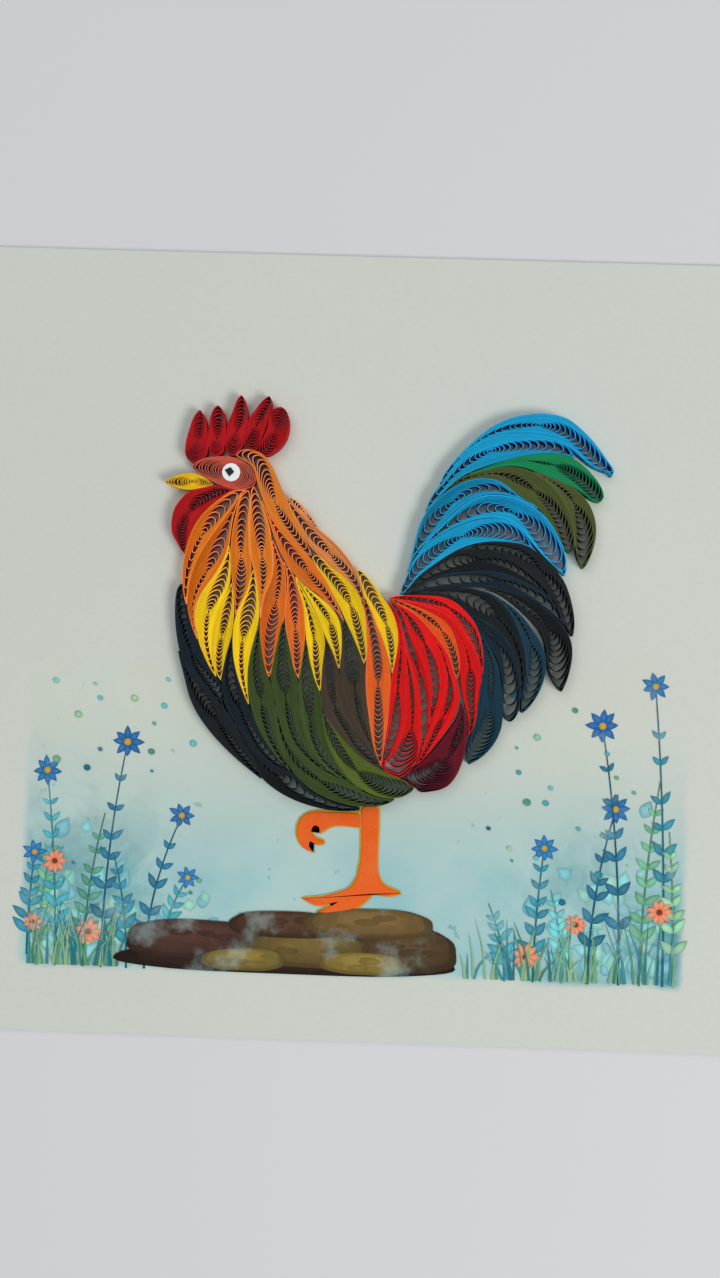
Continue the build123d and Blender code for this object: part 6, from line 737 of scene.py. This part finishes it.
# deeper pools low down on both sides
sidepool = m.math("MULTIPLY", m.ramp(ax, 0.024, 0.052), m.ramp(m.math("MULTIPLY_ADD", big, 0.05, Y), 0.004, -0.034))
pool = m.math("MULTIPLY", m.math("MULTIPLY", sidepool, border), m.ramp(mid, 0.40, 0.66))
deep = m.mix(m.ramp(fine, 0.35, 0.65), lin(28, 122, 138), lin(92, 172, 176))
c2 = m.mix(m.math("MULTIPLY", pool, 0.80), c1, deep)
speck = m.math("MULTIPLY", m.ramp(m.noise(330.0, 2.0, 0.5), 0.70, 0.76), border)
c3 = m.mix(m.math("MULTIPLY", m.math("MULTIPLY", speck, rise), 0.5), c2, lin(74, 150, 150))
GROUND_MAT = m.finish(c3, 0.88, 0.2)

h = (HALF - 0.15) * MM
z = (FACE + 0.012) * MM
n = 8
verts = [(-h + 2 * h * i / n, -h + 2 * h * j / n, z) for j in range(n + 1) for i in range(n + 1)]
faces = [(j * (n + 1) + i, j * (n + 1) + i + 1, (j + 1) * (n + 1) + i + 1, (j + 1) * (n + 1) + i)
         for j in range(n) for i in range(n)]
ground = build("front_print", verts, faces, None, None, GROUND_MAT)
uv = ground.data.uv_layers.new(name="OFBake")
for lp in ground.data.loops:
    co = ground.data.vertices[lp.vertex_index].co
    uv.data[lp.index].uv = ((co.x + h) / (2 * h), (co.y + h) / (2 * h))
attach(ground, "root")

# printed motifs: flat shapes of ink on the card
m = Nodes("printed_ink")
ink = m.new("ShaderNodeAttribute")
ink.attribute_name = "ink"
blot = m.noise(420.0, 5.0, 0.65)
soft = m.noise(120.0, 4.0, 0.6)
k = m.math("MULTIPLY_ADD", blot, 0.55, 0.74)
kk = m.new("ShaderNodeCombineColor", i0=k, i1=k, i2=k).outputs[0]
col = m.mix(1.0, ink.outputs["Color"], kk, "MULTIPLY")
col = m.mix(m.math("MULTIPLY", m.ramp(soft, 0.5, 0.72), 0.32), col, lin(190, 218, 214))
INK_MAT = m.finish(col, 0.88, 0.2)

mv, mf, mc = [], [], []
layer = [0]


def patch(outline, inner, outer, centre=None, grow=0.55):
    """One inked shape: paler in the middle, darker where the wash pools."""
    layer[0] += 1
    zz = (FACE + 0.020 + 0.00045 * layer[0]) * MM
    pts = [np.array(p, float) for p in outline]
    c = np.mean(pts, axis=0) if centre is None else np.array(centre, float)
    base = len(mv)
    mv.append((c[0] * MM, c[1] * MM, zz))
    mc.append(inner)
    for p in pts:
        q = c + (p - c) * grow
        mv.append((q[0] * MM, q[1] * MM, zz))
        mc.append(tuple(a * 0.6 + b * 0.4 for a, b in zip(inner, outer)))
    for p in pts:
        mv.append((p[0] * MM, p[1] * MM, zz))
        mc.append(outer)
    k = len(pts)
    for i in range(k):
        j = (i + 1) % k
        mf.append((base, base + 1 + i, base + 1 + j))
        mf.append((base + 1 + i, base + 1 + k + i, base + 1 + k + j, base + 1 + j))


def ribbon(points, w0, w1, color):
    """A stem or blade that tapers from w0 to w1."""
    layer[0] += 1
    zz = (FACE + 0.020 + 0.00045 * layer[0]) * MM
    p = smooth(points, 4 * len(points))
    d = np.gradient(p, axis=0)
    d /= np.maximum(np.hypot(*d.T), 1e-9)[:, None]
    nn = np.c_[-d[:, 1], d[:, 0]]
    base = len(mv)
    for i, (q, v) in enumerate(zip(p, nn)):
        t = i / (len(p) - 1)
        w = (w0 * (1 - t) + w1 * t) / 2
        for s in (1, -1):
            r = q + s * v * w
            mv.append((r[0] * MM, r[1] * MM, zz))
            mc.append(color)
    for i in range(len(p) - 1):
        a0 = base + 2 * i
        mf.append((a0, a0 + 1, a0 + 3, a0 + 2))
    return p, d


rnd = random.Random(31)
TEALS = [lin(36, 122, 142), lin(58, 148, 160), lin(96, 176, 176), lin(24, 100, 128), lin(120, 186, 172)]
GREENS = [lin(96, 158, 122), lin(128, 180, 140), lin(70, 132, 112), lin(150, 190, 140)]
DARK = lin(34, 66, 74)


def leaf(x, y, ang, length, width, tone):
    ca, sa = math.cos(ang), math.sin(ang)
    out = []
    for i in range(15):
        t = i / 14
        w = width * math.sin(math.pi * t ** 0.8) / 2
        out.append((t * length, w))
    for i in range(13, 0, -1):
        t = i / 14
        w = width * math.sin(math.pi * t ** 0.8) / 2
        out.append((t * length, -w))
    pts = [(x + ca * a - sa * b, y + sa * a + ca * b) for a, b in out]
    pale = tuple(min(1, c * 1.5 + 0.05) for c in tone)
    patch(pts, pale, tone)


def daisy(x, y, r, petal, petals=8, heart=lin(228, 176, 60)):
    for i in range(petals):
        a = 2 * math.pi * i / petals + rnd.uniform(-0.12, 0.12)
        leaf(x + 0.16 * r * math.cos(a), y + 0.16 * r * math.sin(a), a, r * rnd.uniform(0.82, 1.0), r * 0.46, petal)
    patch([(x + 0.24 * r * math.cos(a), y + 0.24 * r * math.sin(a)) for a in np.linspace(0, 2 * math.pi, 14)[:-1]],
          heart, tuple(c * 0.7 for c in heart))


def sprig(x, y, height, bend, tone, pairs=6, leafy=4.2, top=None):
    pts = [(x + bend * t * t, y + height * t) for t in np.linspace(0, 1, 6)]
    p, d = ribbon(pts, 0.42, 0.2, tuple(c * 0.75 for c in tone))
    for i in range(pairs):
        t = 0.25 + 0.7 * i / pairs
        j = int(t * (len(p) - 1))
        ang = math.atan2(d[j][1], d[j][0])
        size_l = leafy * (1.05 - 0.6 * i / pairs)
        for s in (1, -1):
            leaf(p[j][0], p[j][1], ang + s * rnd.uniform(0.6, 0.95), size_l * rnd.uniform(0.85, 1.1), size_l * 0.42,
                 rnd.choice((tone, tuple(min(1, c * 1.25) for c in tone))))
    if top:
        daisy(p[-1][0], p[-1][1], *top)
    return p[-1]


def inside(x, margin=2.0):
    return max(-(PRINT - margin), min(PRINT - margin, x))


BASE = -(PRINT - 1.2)
# soft foliage behind
for side in (-1, 1):
    for i in range(60):
        x = side * rnd.triangular(24, 62.5, 56)
        y = BASE + 1.5 + abs(rnd.gauss(0, 9.5))
        tone = rnd.choice(TEALS[1:3] + GREENS[:2] + TEALS[:1])
        tone = tuple(c * 0.5 + g * 0.5 for c, g in zip(tone, lin(150, 205, 208)))
        leaf(inside(x, 4.0), y, rnd.uniform(0.3, 2.8), rnd.uniform(2.4, 5.0), rnd.uniform(1.8, 3.2), tone)
for side, x, y0, hgt, bend, tone, pairs, top in (
        (-1, -61.0, BASE, 27, 3.0, GREENS[0], 7, None),
        (-1, -57.5, BASE, 38, -2.5, TEALS[1], 8, (2.7, lin(20, 104, 158), 8)),
        (-1, -52.0, BASE, 30, 3.5, GREENS[2], 7, None),
        (-1, -48.5, BASE, 44, 4.0, TEALS[3], 6, (2.9, lin(16, 92, 150), 8)),
        (-1, -43.5, BASE, 22, -3.0, TEALS[0], 6, None),
        (-1, -40.0, BASE, 30, 6.5, TEALS[3], 5, (2.5, lin(24, 96, 150), 7)),
        (-1, -37.0, BASE + 1, 17, 5.0, TEALS[1], 5, (2.1, lin(30, 110, 165), 7)),
        (-1, -63.0, BASE + 2, 20, 1.0, TEALS[0], 6, (2.3, lin(26, 110, 165), 7)),
        (1, 30.0, BASE, 15, -3.5, TEALS[1], 5, None),
        (1, 35.5, BASE, 26, 1.5, TEALS[0], 6, (2.5, lin(24, 110, 165), 8)),
        (1, 41.0, BASE, 18, -2.5, TEALS[2], 6, None),
        (1, 46.0, BASE, 34, 4.5, TEALS[3], 6, (2.7, lin(16, 96, 152), 8)),
        (1, 52.0, BASE, 50, -4.5, TEALS[3], 6, (3.0, lin(14, 92, 156), 8)),
        (1, 56.0, BASE, 40, 3.0, GREENS[0], 8, None),
        (1, 60.5, BASE, 58, -3.0, TEALS[0], 7, (2.6, lin(22, 104, 160), 7)),
        (1, 62.5, BASE, 30, -1.5, GREENS[1], 7, None)):
    sprig(x, y0, hgt, bend, tone, pairs, 3.9, top)
# coral daisies low down
for x, y, r in ((-58.0, -43.0, 2.3), (-51.0, -56.5, 2.6), (-62.0, -55.0, 1.9), (34.0, -58.5, 2.6),
                (43.5, -52.0, 2.1), (59.5, -49.0, 2.5)):
    daisy(x, y, r, lin(226, 132, 96), 9, lin(150, 62, 40))
# grass
for i in range(120):
    side = -1 if i % 2 else 1
    x = side * rnd.uniform(22 if side > 0 else 44, 63)
    hgt = rnd.uniform(4, 13)
    b = rnd.uniform(-3.5, 3.5)
    tone = rnd.choice(TEALS[:2] + GREENS)
    ribbon([(inside(x), BASE + 0.3), (inside(x + b * 0.3), BASE + hgt * 0.5), (inside(x + b), BASE + hgt)],
           rnd.uniform(0.35, 0.7), 0.08, tone)
# stray specks
for i in range(46):
    side = rnd.choice((-1, 1))
    x, y = side * rnd.uniform(26, 60), rnd.uniform(-52, -6)
    r = rnd.uniform(0.25, 0.8)
    tone = rnd.choice(TEALS + GREENS)
    patch([(x + r * math.cos(a), y + r * 0.9 * math.sin(a)) for a in np.linspace(0, 2 * math.pi, 11)[:-1]],
          tuple(min(1, c * 1.6) for c in tone), tone)


# flat rounded stones under the foot
def stone(x, y, w, hh, tone, lift=0.0, power=2.6, tilt=0.0):
    ca, sa = math.cos(tilt), math.sin(tilt)
    ph = [rnd.uniform(0, 6.28) for _ in range(3)]

    def ring(k, dy=0.0):
        out = []
        for i in range(44):
            a = 2 * math.pi * i / 44
            c, s = math.cos(a), math.sin(a)
            r = 1 + 0.035 * math.sin(2 * a + ph[0]) + 0.03 * math.sin(3 * a + ph[1]) + 0.012 * math.sin(7 * a + ph[2])
            px = math.copysign(abs(c) ** (2 / power), c) * w / 2 * r * k
            py = math.copysign(abs(s) ** (2 / power), s) * hh / 2 * r * k + dy
            X, Y = x + ca * px - sa * py, y + sa * px + ca * py
            out.append((X, max(Y, -(PRINT - 1.0))))
        return out
    dark = tuple(c * 0.42 for c in tone)
    patch(ring(1.0), tuple(c * 0.62 for c in tone), dark, grow=0.86)
    patch(ring(0.86, hh * 0.07), tone, tuple(c * 0.72 for c in tone), grow=0.7)
    patch(ring(0.50, hh * 0.16), tuple(min(1, c * 1.22) for c in tone), tone, grow=0.7)
    for _ in range(5):
        sx, sy = x + rnd.uniform(-0.3, 0.3) * w, y + rnd.uniform(-0.2, 0.25) * hh
        r = rnd.uniform(0.5, 1.6)
        patch([(sx + r * 1.8 * math.cos(a), sy + r * 0.5 * math.sin(a)) for a in np.linspace(0, 2 * math.pi, 11)[:-1]],
              tuple(c * 0.85 for c in tone), tuple(c * 0.7 for c in tone))


stone(-12.0, -60.8, 64, 5.6, lin(58, 40, 32))
stone(-30.0, -57.3, 28, 7.6, lin(84, 56, 48))
stone(10.5, -58.2, 21, 8.6, lin(92, 72, 48))
stone(-8.0, -58.8, 24, 6.8, lin(116, 96, 52))
stone(-20.5, -60.9, 16, 4.4, lin(140, 122, 60))
stone(2.5, -61.0, 17, 4.2, lin(150, 128, 62))
stone(-12.5, -53.9, 23, 5.0, lin(88, 62, 44))
stone(3.5, -53.2, 26, 5.6, lin(126, 100, 58))

# printed guide shapes that show beside the cut legs
YEL = lin(214, 164, 10)
def shifted(outline, dx, dy, grow):
    c = np.mean(np.array(outline), axis=0)
    return [(x + dx, y + dy) for x, y in outline]


def flat_poly(outline, zz, color):
    """Triangulated flat shape for an outline that isn't star shaped."""
    from mathutils import Vector
    from mathutils.geometry import tessellate_polygon
    tris = tessellate_polygon([[Vector((x, y, 0)) for x, y in outline]])
    base = len(mv)
    for x, y in outline:
        mv.append((x * MM, y * MM, zz * MM))
        mc.append(color)
    for t in tris:
        p = [outline[i] for i in t]
        ar = (p[1][0] - p[0][0]) * (p[2][1] - p[0][1]) - (p[2][0] - p[0][0]) * (p[1][1] - p[0][1])
        mf.append(tuple(base + i for i in (t if ar > 0 else t[::-1])))


for n_off, (dx, dy) in enumerate(((-0.35, 0.12), (0.28, -0.22), (0.1, 0.35))):
    flat_poly(shifted(STANDING, dx, dy, 0), FACE + 0.25 + 0.004 * n_off, YEL)
    flat_poly(shifted(RAISED, dx, dy, 0), FACE + 0.25 + 0.004 * n_off, YEL)

motifs = build("print_motifs", mv, mf, None, None, INK_MAT, mc)
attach(motifs, "root")

# ------------------------------------------------------------------------ legs
m = Nodes("leg_card")
grain = m.noise(2600.0, 5.0, 0.75)
cloud = m.noise(180.0, 4.0, 0.6)
xyz = m.new("ShaderNodeSeparateXYZ", i0=m.P)
col = m.mix(m.ramp(xyz.outputs[1], -0.052, -0.034), lin(230, 96, 34, GAIN), lin(226, 92, 30, GAIN))
col = m.mix(m.math("MULTIPLY", m.ramp(cloud, 0.35, 0.75), 0.35), col, lin(238, 124, 62, GAIN))
k = m.math("MULTIPLY_ADD", grain, 0.5, 0.74)
kk = m.new("ShaderNodeCombineColor", i0=k, i1=k, i2=k).outputs[0]
col = m.mix(1.0, col, kk, "MULTIPLY")
m.bump(grain, 0.5, 0.00012)
LEG_MAT = m.finish(col, 0.9, 0.2)


def cut_piece(name, node, outline, thick, mat, z0):
    import bmesh
    bm = bmesh.new()
    vs = [bm.verts.new((x * MM, y * MM, z0 * MM)) for x, y in outline]
    f = bm.faces.new(vs)
    bm.normal_update()
    if f.normal.z < 0:
        f.normal_flip()
    ext = bmesh.ops.extrude_face_region(bm, geom=[f])
    up = [v for v in ext["geom"] if isinstance(v, bmesh.types.BMVert)]
    bmesh.ops.translate(bm, verts=up, vec=(0, 0, thick * MM))
    bmesh.ops.recalc_face_normals(bm, faces=bm.faces)
    top = [e for e in bm.edges if all(v.co.z > (z0 + thick / 2) * MM for v in e.verts)]
    bmesh.ops.bevel(bm, geom=top, offset=0.07 * MM, segments=2, affect="EDGES", profile=0.5)
    bmesh.ops.triangulate(bm, faces=[g for g in bm.faces if len(g.verts) > 4])
    me = bpy.data.meshes.new(name)
    bm.to_mesh(me)
    bm.free()
    ob = bpy.data.objects.new(name, me)
    bpy.context.scene.collection.objects.link(ob)
    me.materials.append(mat)
    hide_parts(node)
    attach(ob, "root")
    return ob


def soften(outline, n_per=3):
    """Round the cut outline a little without losing its points."""
    p = np.array(outline)
    out = []
    k = len(p)
    for i in range(k):
        a, b, c = p[i - 1], p[i], p[(i + 1) % k]
        u, v = a - b, c - b
        lu, lv = np.hypot(*u), np.hypot(*v)
        cosang = (u @ v) / max(lu * lv, 1e-9)
        r = min(lu, lv) * (0.33 if cosang < 0.2 else 0.10)
        s, e2 = b + u / lu * r, b + v / lv * r
        for t in (0.0, 0.33, 0.67, 1.0):
            q = (1 - t) ** 2 * s + 2 * t * (1 - t) * b + t ** 2 * e2
            out.append(tuple(q))
    return out


cut_piece("cut_leg_standing", "leg_standing", soften(STANDING), 0.5, LEG_MAT, FACE + 0.03)
cut_piece("cut_leg_raised", "leg_raised", soften(RAISED), 0.5, LEG_MAT, FACE + 0.03)

# ------------------------------------------------------------------------- eye
m = Nodes("eye_paper")
g = m.noise(3000.0, 4.0, 0.6)
col = m.mix(g, lin(226, 228, 226, 1.25), lin(236, 238, 236, 1.25))
m.bump(g, 0.3, 0.00005)
dress(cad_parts["eye_white"], m.finish(col, 0.85, 0.3))
m = Nodes("pupil_paper")
g = m.noise(3000.0, 4.0, 0.6)
col = m.mix(g, lin(14, 16, 22), lin(24, 26, 32))
m.bump(g, 0.3, 0.00005)
dress(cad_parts["eye_pupil"], m.finish(col, 0.7, 0.4))

# ----------------------------------------------------------------------- stage
m = Nodes("floor_grey")
g = m.noise(4.0, 2.0, 0.5)
col = m.mix(g, lin(214, 214, 217, 1.12), lin(217, 217, 220, 1.12))
FLOOR = m.finish(col, 0.95, 0.1)
floor = build("floor", [(-3, -3, 0), (3, -3, 0), (3, 3, 0), (-3, 3, 0)], [(0, 1, 2, 3)], None, None, FLOOR)
floor.location.z = -0.0001

world = bpy.data.worlds.new("studio")
bpy.context.scene.world = world
world.use_nodes = True
bg = world.node_tree.nodes.get("Background") or world.node_tree.nodes.new("ShaderNodeBackground")
bg.inputs[0].default_value = (0.92, 0.96, 1.0, 1)
bg.inputs[1].default_value = 0.30


def area(name, loc, size_m, power, target=(0, 0, 0), color=(1, 1, 1)):
    from mathutils import Vector
    li = bpy.data.lights.new(name, "AREA")
    li.shape = "DISK"
    li.size = size_m
    li.energy = power
    li.color = color
    ob = bpy.data.objects.new(name, li)
    ob.location = loc
    ob.rotation_euler = (Vector(target) - Vector(loc)).to_track_quat("-Z", "Y").to_euler()
    bpy.context.scene.collection.objects.link(ob)
    return ob


area("window", (0.55, -0.35, 0.80), 0.45, 4.6, color=(1.0, 0.99, 0.97))
area("ceiling", (-0.25, 0.35, 1.00), 1.1, 3.6, color=(0.95, 0.98, 1.0))

# ---------------------------------------------------------------------- camera
cam = bpy.data.cameras.new("camera")
cam.lens = 1185.0 / 1278.0 * 36.0
cam.sensor_width = 36.0
cam.clip_start = 0.01
cob = bpy.data.objects.new("camera", cam)
bpy.context.scene.collection.objects.link(cob)
from mathutils import Matrix, Vector
turn = math.radians(1.79)
tilt = 0.0148
rot = Matrix.Rotation(turn, 3, "Z") @ Matrix.Rotation(tilt, 3, "Y")
target = Vector((0.035 * MM, 2.0 * MM, FACE * MM))
cob.location = target + rot @ Vector((0, 0, 0.230))
cob.rotation_euler = rot.to_euler()
bpy.context.scene.camera = cob

bpy.context.scene.view_settings.view_transform = "Standard"
bpy.context.scene.view_settings.look = "None"

bpy.context.view_layer.update()
